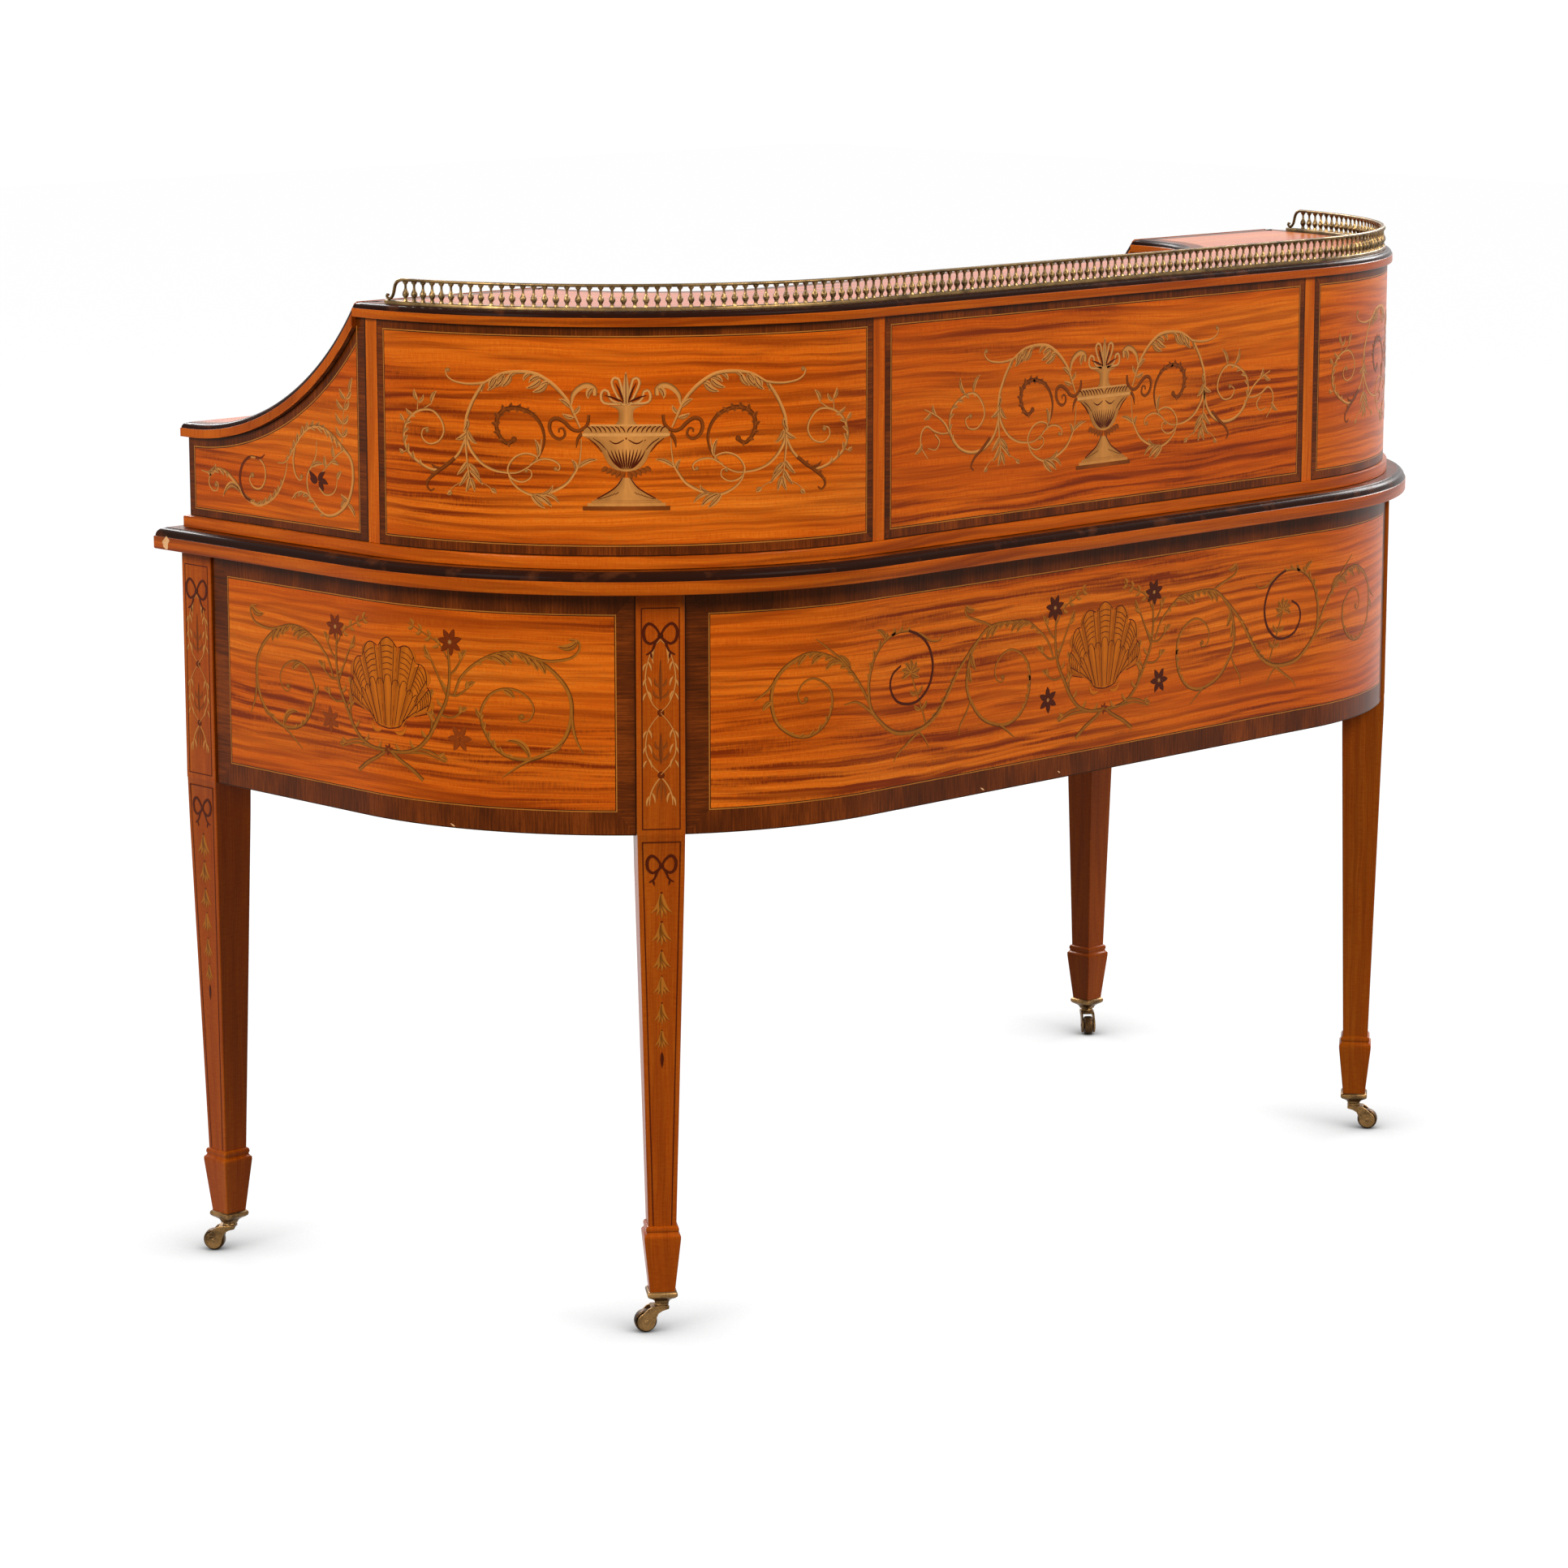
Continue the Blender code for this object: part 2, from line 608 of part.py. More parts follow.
def add_handle(label, drawer, x, z):
    """An oval plate with two posts, and a bail that swings in them."""
    face = -GAP
    plate = add_object(f"handle_plate_{label}", front_mesh(
        "plate", ellipse(PLATE_HALF_WIDTH, PLATE_HALF_HEIGHT), face - PLATE_THICK, face), BRASS, (x, 0, z), drawer)
    axis_y = face - PLATE_THICK - BAIL_OUT
    for sign in (-1, 1):
        post = add_helper(f"post_{label}_{sign}", cylinder_mesh(
            "post", POST_RADIUS, 0, POST_LENGTH + PLATE_THICK / 2, 10),
            (x + sign * POST_X, face - PLATE_THICK / 2, z), drawer)
        post.rotation_euler[0] = pi / 2
        boolean(plate, post, "UNION")
    hole_half = POST_X + 2 * POST_RADIUS
    hole = add_helper(f"pivot_{label}", cylinder_mesh(
        "pivot", BAIL_ROD + PIN_CLEARANCE, -hole_half, hole_half, 8), (x, axis_y, z), drawer)
    hole.rotation_euler[1] = pi / 2
    boolean(plate, hole, "DIFFERENCE")
    add_object(f"handle_bail_{label}", bail_curve(), BRASS, (x, axis_y, z), drawer)


def add_frieze_drawers():
    side_left = KNEEHOLE_HALF + DIVIDER + DRAWER_PLAY
    side_right = FRONT_LEG_X - LEG_HALF - DRAWER_PLAY
    side_bottom = FRIEZE_BOTTOM + BOARD + GAP
    side_height = TABLE_BOTTOM - DRAWER_PLAY - side_bottom
    side_x = (side_left + side_right) / 2
    centre_bottom = KNEEHOLE_TOP + BOARD + GAP
    centre_height = TABLE_BOTTOM - DRAWER_PLAY - centre_bottom
    drawers = (
        ("centre_drawer", 0.0, 2 * (KNEEHOLE_HALF - DRAWER_PLAY), CENTRE_DRAWER_DEPTH, centre_bottom, centre_height),
        ("right_drawer", side_x, side_right - side_left, SIDE_DRAWER_DEPTH, side_bottom, side_height),
        ("left_drawer", -side_x, side_right - side_left, SIDE_DRAWER_DEPTH, side_bottom, side_height),
    )
    for name, x, width, depth, bottom, height in drawers:
        mesh = tray_mesh(name, width, depth, height, DRAWER_WALL, DRAWER_FRONT_WALL, DRAWER_FLOOR)
        drawer = add_object(name, mesh, DRAWER_WOOD, (x, DRAWER_FRONT, bottom))
        handles = {"centre_left": -HANDLE_X, "centre_right": HANDLE_X} if x == 0 else {name.split("_")[0]: 0.0}
        for label, handle_x in handles.items():
            add_handle(label, drawer, handle_x, height / 2 + BAIL_DROP / 3)


# Raised back

def lid_curve(depth):
    """The swept top of a wing as (y, z), from its front end, lowered by depth at right angles to it."""
    rise = UPPER_TOP - LID_LOW
    run = TOP_FRONT - GAP - LID_SWEEP_START
    radius = (run**2 + rise**2) / (2 * rise)
    lowered = radius + depth
    centre_z = LID_LOW + radius
    end = acos(run / lowered)
    swept = arc((LID_SWEEP_START, centre_z), lowered, -pi / 2, -end, LID_STEPS)
    return [(LID_FRONT, LID_LOW - depth)] + swept


def wing_wall(corners):
    """A wall under a lid as (y, z): its foot at the front, then along under the lid, then the corners given."""
    under = [point for point in lid_curve(LID_THICK + GAP) if point[0] > WING_FRONT]
    foot = (WING_FRONT, PLINTH_TOP + GAP)
    front_top = (WING_FRONT, LID_LOW - LID_THICK - GAP)
    return [foot, front_top] + under + corners


def add_wings():
    panel_outer = FRIEZE_X - UPPER_INSET
    panel_inner = panel_outer - PANEL_THICK
    cheek_back = DOOR_Y - GAP
    cheek_front = cheek_back - THIN
    lid_end = lid_curve(LID_THICK + GAP)[-1][1]
    bottom, top = PLINTH_TOP + GAP, PANEL_TOP - GAP
    panel = wing_wall([(TOP_FRONT, lid_end), (TOP_FRONT, top), (STILE_Y, top), (STILE_Y, bottom)])
    lap = cheek_front + THIN / 2
    inside = wing_wall([(lap, lid_end), (lap, bottom)])
    for side, hand in ((1, "right"), (-1, "left")):
        add_object(f"{hand}_wing_side", side_mesh(
            "wing_side", panel, side * panel_inner, side * panel_outer), SATINWOOD)
        case = add_object(f"{hand}_wing_case", side_mesh(
            "wing_inside", inside, side * WING_INNER_X, side * (WING_INNER_X + THIN)), SATINWOOD)
        x_range = sorted((side * WING_INNER_X, side * (panel_inner - GAP)))
        front = box_mesh("wing_front", *x_range, WING_FRONT, WING_FRONT + THIN, bottom, LID_LOW - LID_THICK - GAP)
        boolean(case, add_helper(f"wing_front_{hand}", front), "UNION")
        cheek = box_mesh("cheek", *x_range, cheek_front, cheek_back, bottom, top)
        boolean(case, add_helper(f"wing_cheek_{hand}", cheek), "UNION")
        add_lid(side, hand)


def add_lid(side, hand):
    """A swept lid with the same band and ovolo along its sides. It hinges at its upper end."""
    outer_x = FRIEZE_X
    inner_x = WING_INNER_X - TOP_LEDGE
    profile = edge_profile(-LID_THICK, 0.0)[2:]
    steps = [(UPPER_EDGE * inset, -height) for inset, height in profile]
    stations = [(inner_x + inset, depth) for inset, depth in steps]
    stations += [(outer_x - inset, depth) for inset, depth in reversed(steps)]
    axis = Vector((0, TOP_FRONT, UPPER_TOP))
    low = lid_curve(LID_THICK)
    levels = []
    for x, depth in stations:
        section = lid_curve(depth) + list(reversed(low))
        levels.append([Vector((side * x, y, z)) - axis for y, z in section])
    add_object(f"{hand}_wing_lid", stacked_mesh("wing_lid", levels), SATINWOOD, axis)


def add_upper_panels():
    bottom, top = PLINTH_TOP + GAP, PANEL_TOP - GAP
    outer = PANEL_BACK - CORNER_Y
    inner = outer - PANEL_THICK
    centre = (CORNER_X, CORNER_Y)
    start_outer = asin((STILE_Y + GAP - CORNER_Y) / outer)
    start_inner = asin((STILE_Y + GAP - CORNER_Y) / inner)
    corner = (
        arc(centre, outer, start_outer, pi / 2)
        + [(BACK_PANEL_HALF + GAP, PANEL_BACK), (BACK_PANEL_HALF + GAP, PANEL_BACK - PANEL_THICK)]
        + arc(centre, inner, pi / 2, start_inner)
    )
    for side, hand in ((1, "right"), (-1, "left")):
        add_object(f"{hand}_corner_panel", board_mesh("corner_panel", for_side(corner, side), bottom, top), SATINWOOD)
    add_object("upper_back_panel", box_mesh(
        "upper_back_panel", -BACK_PANEL_HALF, BACK_PANEL_HALF, PANEL_BACK - PANEL_THICK, PANEL_BACK, bottom, top),
        SATINWOOD)


def add_plinth_and_top():
    plinth = u_outline(-PLINTH_INSET, PLINTH_BREAK, DOOR_RADIUS - PLINTH_LEDGE)
    add_object("upper_plinth", board_mesh("upper_plinth", plinth, TABLE_TOP + GAP, PLINTH_TOP), SATINWOOD)
    for side, hand in ((1, "right"), (-1, "left")):
        x_range = sorted((side * (WING_INNER_X - PLINTH_LEDGE), side * (FRIEZE_X - PLINTH_INSET)))
        add_object(f"{hand}_wing_plinth", box_mesh(
            "wing_plinth", *x_range, PLINTH_FRONT, PLINTH_BREAK - GAP, TABLE_TOP + GAP, PLINTH_TOP), SATINWOOD)

    def top_outline(inset):
        return u_outline(-inset, TOP_FRONT + inset, DOOR_RADIUS - TOP_LEDGE + inset)

    profile = [(UPPER_EDGE * inset, z) for inset, z in edge_profile(PANEL_TOP, UPPER_TOP)]
    add_object("upper_top", moulded_mesh("upper_top", top_outline, profile), SATINWOOD)


KNOB_PROFILE = [(0, 0.0125), (0.0030, 0.0122), (0.0052, 0.0105), (0.0055, 0.0090), (0.0040, 0.0068),
                (0.0024, 0.0052), (0.0026, 0.0018), (0.0042, 0.0008), (0.0042, 0.0), (0, 0.0)]


def add_knob(name, parent, location, turn):
    knob = add_object(name, turned_mesh("knob", KNOB_PROFILE, 10), BRASS, location, parent)
    knob.rotation_euler = (pi / 2, 0, turn)


def add_cupboards():
    """Concave doors. Each turns about an upright axis at its wing end."""
    bottom, top = PLINTH_TOP + DOOR_PLAY, PANEL_TOP - DOOR_PLAY
    start = asin(GAP / DOOR_RADIUS)
    end = pi / 2 - asin(DOOR_PLAY / DOOR_RADIUS)
    half_step = (end - start) / DOOR_STEPS / 2
    knob_turn = end - 3 * half_step
    reach = DOOR_RADIUS * cos(half_step) - GAP
    for side, hand in ((1, "right"), (-1, "left")):
        axis = Vector((side * WING_INNER_X, DOOR_Y + GAP, 0))
        outline = (arc((DOOR_X, DOOR_Y), DOOR_RADIUS, start, end, DOOR_STEPS)
                   + arc((DOOR_X, DOOR_Y), DOOR_RADIUS + DOOR_THICK, end, start, DOOR_STEPS))
        outline = [(x - axis.x, y - axis.y) for x, y in for_side(outline, side)]
        door = add_object(f"{hand}_cupboard_door", board_mesh("door", outline, bottom, top), SATINWOOD, axis)
        place = Vector((side * (DOOR_X + reach * cos(knob_turn)), DOOR_Y + reach * sin(knob_turn),
                        (bottom + top) / 2)) - axis
        add_knob(f"{hand}_door_knob", door, place, side * (knob_turn - pi / 2))


def add_bank():
    """The straight bank behind the writer's paper: small drawers below, pigeonholes above."""
    inner_back = PANEL_BACK - PANEL_THICK - GAP
    drawer_depth = inner_back - SMALL_DRAWER_BACK_ROOM - BANK_FRONT
    bay_half = DOOR_X - THIN
    bottom, top = PLINTH_TOP + GAP, PANEL_TOP - GAP
    bay = 2 * bay_half
    cell = (bay - (SMALL_DRAWERS - 1) * UPRIGHT) / SMALL_DRAWERS
    frame_front = BANK_FRONT + BANK_RECESS
    shelf_half = bay_half + THIN / 2
    shelf = add_object("pigeonhole_frame", box_mesh(
        "shelf", -shelf_half, shelf_half, frame_front, inner_back - GAP, SHELF_BOTTOM, SHELF_BOTTOM + SHELF),
        SATINWOOD)
    for side, hand in ((1, "right"), (-1, "left")):
        x_range = sorted((side * bay_half, side * (DOOR_X - GAP)))
        partition = box_mesh("partition", *x_range, BANK_FRONT, inner_back, bottom, top)
        boolean(shelf, add_helper(f"{hand}_partition", partition), "UNION")
    for number in range(1, SMALL_DRAWERS):
        x = -bay / 2 + number * cell + (number - 0.5) * UPRIGHT
        upright = box_mesh("upright", x - UPRIGHT / 2, x + UPRIGHT / 2, frame_front + GAP, inner_back - 2 * GAP,
                           bottom, top)
        boolean(shelf, add_helper(f"upright_{number}", upright), "UNION")

    height = SHELF_BOTTOM - DRAWER_PLAY - bottom - GAP
    for number in range(SMALL_DRAWERS):
        x = -bay / 2 + (number + 0.5) * cell + number * UPRIGHT
        mesh = tray_mesh("small_drawer", cell - 2 * DRAWER_PLAY, drawer_depth, height,
                         SMALL_WALL, SMALL_FRONT_WALL, SMALL_FLOOR)
        drawer = add_object(f"small_drawer_{number + 1}", mesh, DRAWER_WOOD, (x, BANK_FRONT, bottom + GAP))
        add_knob(f"small_knob_{number + 1}", drawer, (0, -GAP, height / 2), 0)


# Brass gallery

def gallery_path(offset, start, steps):
    """The line of the gallery, from the right end round the back to the left end."""
    half = arc((CORNER_X, CORNER_Y), CORNER_RADIUS - GALLERY_INSET + offset, start, pi / 2, steps)
    return half + mirrored(half)


def band_mesh(name, half_width, bottom, top, start):
    outline = gallery_path(half_width, start, CORNER_STEPS) + list(
        reversed(gallery_path(-half_width, start, CORNER_STEPS)))
    return board_mesh(name, outline, bottom, top)


def gallery_places():
    """Where each baluster stands, and the turn of the gallery there, at even steps along it."""
    radius = CORNER_RADIUS - GALLERY_INSET
    curved = radius * (pi / 2 - GALLERY_START)
    straight = 2 * CORNER_X
    total = 2 * curved + straight
    count = round(total / BALUSTER_PITCH)
    for number in range(count):
        along = (number + 0.5) * total / count
        if along < curved:
            turn = GALLERY_START + along / radius
            yield CORNER_X + radius * cos(turn), CORNER_Y + radius * sin(turn), turn
        elif along < curved + straight:
            yield CORNER_X + curved - along, CORNER_Y + radius, pi / 2
        else:
            turn = pi / 2 + (along - curved - straight) / radius
            yield -CORNER_X + radius * cos(turn), CORNER_Y + radius * sin(turn), turn


def balusters_mesh():
    """Every baluster in one mesh, each an upright of four square sections, from foot to cap."""
    height = RAIL_BOTTOM - STRIP_TOP
    sections = [(BALUSTER_FOOT, STRIP_TOP - 2 * GAP), (BALUSTER_BELLY, STRIP_TOP + 0.34 * height),
                (BALUSTER_NECK, STRIP_TOP + 0.72 * height), (BALUSTER_FOOT, RAIL_BOTTOM + 2 * GAP)]
    bm = bmesh.new()
    for x, y, turn in gallery_places():
        rings = [[Vector((x + r * cos(a), y + r * sin(a), z))
                  for a in (turn, turn + pi / 2, turn + pi, turn - pi / 2)] for r, z in sections]
        piece = stacked_mesh("baluster", rings)
        bm.from_mesh(piece)
        bpy.data.meshes.remove(piece)
    return finish_mesh("balusters", bm)


def scroll_mesh(side):
    """The end of the rail, swept down and out to the foot of the gallery."""
    radius = CORNER_RADIUS - GALLERY_INSET
    rail = (RAIL_BOTTOM + RAIL_TOP) / 2
    foot = STRIP_TOP - 3 * GAP
    line = []
    for step in range(SCROLL_STEPS + 1):
        t = step / SCROLL_STEPS
        ease = t * t * (3 - 2 * t)
        swept = 0.25 * t + 0.75 * t**1.6
        line.append((SCROLL_LAP - (SCROLL_REACH + SCROLL_LAP) * swept, rail + (foot - rail) * ease))
    upper, lower = [], []
    for number, (s, z) in enumerate(line):
        before, after = line[max(number - 1, 0)], line[min(number + 1, SCROLL_STEPS)]
        along = Vector((after[0] - before[0], after[1] - before[1])).normalized() * SCROLL_THICK
        upper.append((s + along.y, z - along.x))
        lower.append((s - along.y, z + along.x))
    levels = []
    for across in (GAP - RAIL_HALF, RAIL_HALF - GAP):
        level = []
        for s, z in upper + list(reversed(lower)):
            turn = GALLERY_START + s / radius
            level.append(Vector((side * (CORNER_X + (radius + across) * cos(turn)),
                                 CORNER_Y + (radius + across) * sin(turn), z)))
        levels.append(level)
    return stacked_mesh("scroll", levels)


def add_gallery():
    radius = CORNER_RADIUS - GALLERY_INSET
    strip_start = GALLERY_START - (SCROLL_REACH + SCROLL_THICK) / radius
    gallery = add_object("gallery", band_mesh(
        "strip", STRIP_HALF, UPPER_TOP + GAP, STRIP_TOP, strip_start), BRASS)
    boolean(gallery, add_helper("gallery_balusters", balusters_mesh()), "UNION")
    rail = band_mesh("rail", RAIL_HALF, RAIL_BOTTOM, RAIL_TOP, GALLERY_START)
    boolean(gallery, add_helper("gallery_rail", rail), "UNION")
    for side, hand in ((1, "right"), (-1, "left")):
        boolean(gallery, add_helper(f"gallery_scroll_{hand}", scroll_mesh(side)), "UNION")


add_legs()
add_friezes()
add_bays()
add_table_top()
add_frieze_drawers()
add_plinth_and_top()
add_upper_panels()
add_wings()
add_cupboards()
add_bank()
add_gallery()
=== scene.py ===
"""Looks of the Carlton House desk: veneers, marquetry, gallery and fittings on the frame."""

from math import acos, asin, ceil, cos, pi, radians, sin, sqrt

import bmesh
import bpy
from mathutils import Matrix, Vector


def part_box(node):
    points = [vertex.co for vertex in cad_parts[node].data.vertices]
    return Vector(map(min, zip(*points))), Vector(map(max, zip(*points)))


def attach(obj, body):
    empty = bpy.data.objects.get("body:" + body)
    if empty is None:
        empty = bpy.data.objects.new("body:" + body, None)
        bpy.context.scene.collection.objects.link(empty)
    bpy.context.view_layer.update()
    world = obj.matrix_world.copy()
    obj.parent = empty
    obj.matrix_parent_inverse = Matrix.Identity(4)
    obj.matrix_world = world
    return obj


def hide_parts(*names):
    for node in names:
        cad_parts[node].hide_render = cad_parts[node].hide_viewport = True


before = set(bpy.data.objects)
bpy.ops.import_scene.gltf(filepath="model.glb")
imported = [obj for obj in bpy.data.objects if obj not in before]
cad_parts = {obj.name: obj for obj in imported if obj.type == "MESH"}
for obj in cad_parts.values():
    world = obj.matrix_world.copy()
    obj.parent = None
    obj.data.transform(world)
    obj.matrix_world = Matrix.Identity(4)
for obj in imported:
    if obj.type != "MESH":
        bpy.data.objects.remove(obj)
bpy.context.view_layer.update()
HANDS = ((1, "right"), (-1, "left"))
MM = 0.001
GAP = 0.0003

# Sizes that the frame gives
TABLE_LOW, TABLE_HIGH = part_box("table_top")
FRIEZE_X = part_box("right_frieze")[1].x
FRIEZE_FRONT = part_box("right_frieze")[0].y
FRIEZE_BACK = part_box("back_frieze")[1].y
FRIEZE_BOTTOM, FRIEZE_TOP = (corner.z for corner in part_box("back_frieze"))
PANEL_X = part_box("right_wing_side")[1].x
PANEL_BOTTOM, PANEL_TOP = (corner.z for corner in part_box("upper_back_panel"))
BACK_PANEL_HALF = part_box("upper_back_panel")[1].x
STILE_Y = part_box("right_wing_side")[1].y
UPPER_LOW, UPPER_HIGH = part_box("upper_top")
PLINTH_LOW, PLINTH_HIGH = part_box("upper_plinth")
PLINTH_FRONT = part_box("right_wing_plinth")[0].y
WING_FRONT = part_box("right_wing_side")[0].y
LID_LOW_CORNER, LID_HIGH_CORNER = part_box("right_wing_lid")
LEATHER_LOW, LEATHER_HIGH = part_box("writing_leather")
GALLERY_LOW, GALLERY_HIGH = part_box("gallery")
LEG_BOTTOM, LEG_TOP = (corner.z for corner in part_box("leg_front_right"))

# Sizes of the design
CORNER_RADIUS = 0.329
CORNER_X = FRIEZE_X - CORNER_RADIUS
CORNER_Y = FRIEZE_BACK - CORNER_RADIUS
OVERHANG = TABLE_HIGH.x - FRIEZE_X
FRIEZE_THICK = 0.018
PANEL_THICK = 0.012
PANEL_INSET = FRIEZE_X - PANEL_X
DOOR_RADIUS = 0.140
DOOR_THICK = 0.010
DOOR_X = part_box("right_wing_case")[0].x - DOOR_RADIUS
DOOR_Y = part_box("right_cupboard_door")[0].y
EDGE_BAND, EDGE_STEP, EDGE_DEPTH, UPPER_EDGE = 0.6, 0.0012, 0.0088, 0.7
LEG_HALF = 0.022
REAR_LEG_ANGLE = radians(52.2)
STRING, LINE, JOINT = 0.0009, 0.0008, 0.0010
CURVED_PITCH, WING_PITCH, FLAT_PITCH, DRAWER_PITCH = 0.008, 0.005, 0.03, 0.05
INLAY_PROUD, INLAY_SUNK, INLAY_STEP, INK_PROUD = 0.00012, 0.0002, 0.000004, 0.00011


# Nodes

class Wire:
    """A node's output. A sum on it adds Math nodes."""

    def __init__(self, tree, socket):
        self.tree, self.socket = tree, socket

    def sum(self, operation, *terms):
        return self.tree.add("ShaderNodeMath", {"operation": operation}, dict(enumerate(terms)))

    def __add__(self, other): return self.sum("ADD", self, other)
    def __radd__(self, other): return self.sum("ADD", other, self)
    def __sub__(self, other): return self.sum("SUBTRACT", self, other)
    def __rsub__(self, other): return self.sum("SUBTRACT", other, self)
    def __mul__(self, other): return self.sum("MULTIPLY", self, other)
    def __rmul__(self, other): return self.sum("MULTIPLY", other, self)
    def __abs__(self): return self.sum("ABSOLUTE", self)
    def __gt__(self, other): return self.sum("GREATER_THAN", self, other)

    def clamp(self, low=0.0, high=1.0):
        return self.sum("MINIMUM", self.sum("MAXIMUM", self, low), high)

    def floor(self):
        return self.sum("FLOOR", self)


def fill_ramp(ramp, stops):
    while len(ramp.elements) < len(stops):
        ramp.elements.new(1.0)
    for element, (place, tint) in zip(ramp.elements, stops):
        element.position, element.color = place, (*tint, 1.0)


def fill_curve(mapping, spots):
    points = mapping.curves[0].points
    while len(points) < len(spots):
        points.new(0.5, 0.5)
    for point, spot in zip(points, spots):
        point.location = spot
    mapping.update()


class Tree:
    """A node tree and the one way its nodes are added."""

    def __init__(self, nodes):
        self.nodes = nodes

    @staticmethod
    def socket(sockets, key):
        if isinstance(key, int):
            return sockets[key]
        return next(s for s in sockets if s.enabled and key in (s.identifier, s.name))

    def join(self, end, value):
        """Gives an input its value, its wire, or each wire of a list."""
        for part in value if isinstance(value, list) else [value]:
            if isinstance(part, Wire):
                self.nodes.links.new(part.socket, end)
            else:
                end.default_value = part

    def add(self, kind, settings=None, sockets=None, out=0):
        """A node of that kind: its settings, then the values or wires of its sockets.

        Returns the output that out names, or an output for each name in a tuple."""
        node = self.nodes.nodes.new(kind)
        for name, value in (settings or {}).items():
            if name == "stops":
                fill_ramp(node.color_ramp, value)
            elif name == "curve":
                fill_curve(node.mapping, value)
            else:
                setattr(node, name, value)
        for key, value in (sockets or {}).items():
            self.join(self.socket(node.inputs, key), value)
        if isinstance(out, tuple):
            return [Wire(self, self.socket(node.outputs, key)) for key in out]
        return Wire(self, self.socket(node.outputs, out)) if len(node.outputs) else node

    def looked_at(self):
        """1 where the camera, a gloss or a clear piece looks, and 0 for the light itself."""
        rays = ("Is Camera Ray", "Is Glossy Ray", "Is Transmission Ray")
        camera, gloss, clear = self.add("ShaderNodeLightPath", out=rays)
        return (camera + gloss + clear).clamp()


def colour(red, green, blue):
    """A colour as the eye reads it, 0 to 255, made linear."""
    return tuple((c / 255 / 12.92) if c < 10.3 else ((c / 255 + 0.055) / 1.055) ** 2.4
                 for c in (red, green, blue))


def toned(tint, share):
    return tuple(share * c for c in tint)


class Finish(Tree):
    """A material under way, with the few moves that its recipe repeats."""

    def __init__(self, name):
        self.material = bpy.data.materials.new(name)
        self.material.use_nodes = True
        super().__init__(self.material.node_tree)
        self.shader = self.nodes.nodes["Principled BSDF"]

    def parts(self, vector):
        return self.add("ShaderNodeSeparateXYZ", None, {0: vector}, (0, 1, 2))

    def grain_map(self, on_body):
        """Along and across the grain: by the veneer's own map, or by the faces of a plain board.

        On a board the grain runs along X, or along Y where a face looks along X."""
        if not on_body:
            return self.parts(self.add("ShaderNodeUVMap", {"uv_map": "veneer"}))[:2]
        x, y, z = self.parts(self.add("ShaderNodeTexCoord", out="Object"))
        look = self.parts(self.add("ShaderNodeNewGeometry", out="Normal"))
        sideways, level = (abs(look[i]) > 0.6 for i in (0, 2))
        return x + (y - x) * sideways, z + (y - z) * level

    def noise(self, along, across, steps_along, steps_across, detail=2.0, roughness=0.5):
        spot = self.add("ShaderNodeCombineXYZ", None,
                        {0: along * steps_along, 1: across * steps_across})
        return self.add("ShaderNodeTexNoise", {"noise_dimensions": "2D"},
                        {"Vector": spot, "Scale": 1.0, "Detail": detail, "Roughness": roughness})

    def solid_noise(self, scale, detail=2.0):
        place = self.add("ShaderNodeTexCoord", out="Object")
        return self.add("ShaderNodeTexNoise", None,
                        {"Vector": place, "Scale": scale, "Detail": detail})

    def ramp(self, value, *stops):
        return self.add("ShaderNodeValToRGB", {"stops": stops}, {0: value})

    def mix(self, share, first, second):
        first, second = (c if isinstance(c, Wire) else (*c, 1.0) for c in (first, second))
        return self.add("ShaderNodeMix", {"data_type": "RGBA"},
                        {"Factor_Float": share, "A_Color": first, "B_Color": second},
                        "Result_Color")

    def bump(self, height, strength, distance):
        return self.add("ShaderNodeBump", None,
                        {"Height": height, "Strength": strength, "Distance": distance})

    def finished(self, **sockets):
        for name, value in sockets.items():
            if isinstance(value, tuple):
                value = (*value, 1.0)
            self.join(self.shader.inputs[name.replace("_", " ")], value)
        return self.material


VARNISH = (0.85, 0.45, 0.15)
TOP_POLISH = (1.0, 0.8, 0.6)
STREAKS = 74.0  # dark streaks to the metre across the grain


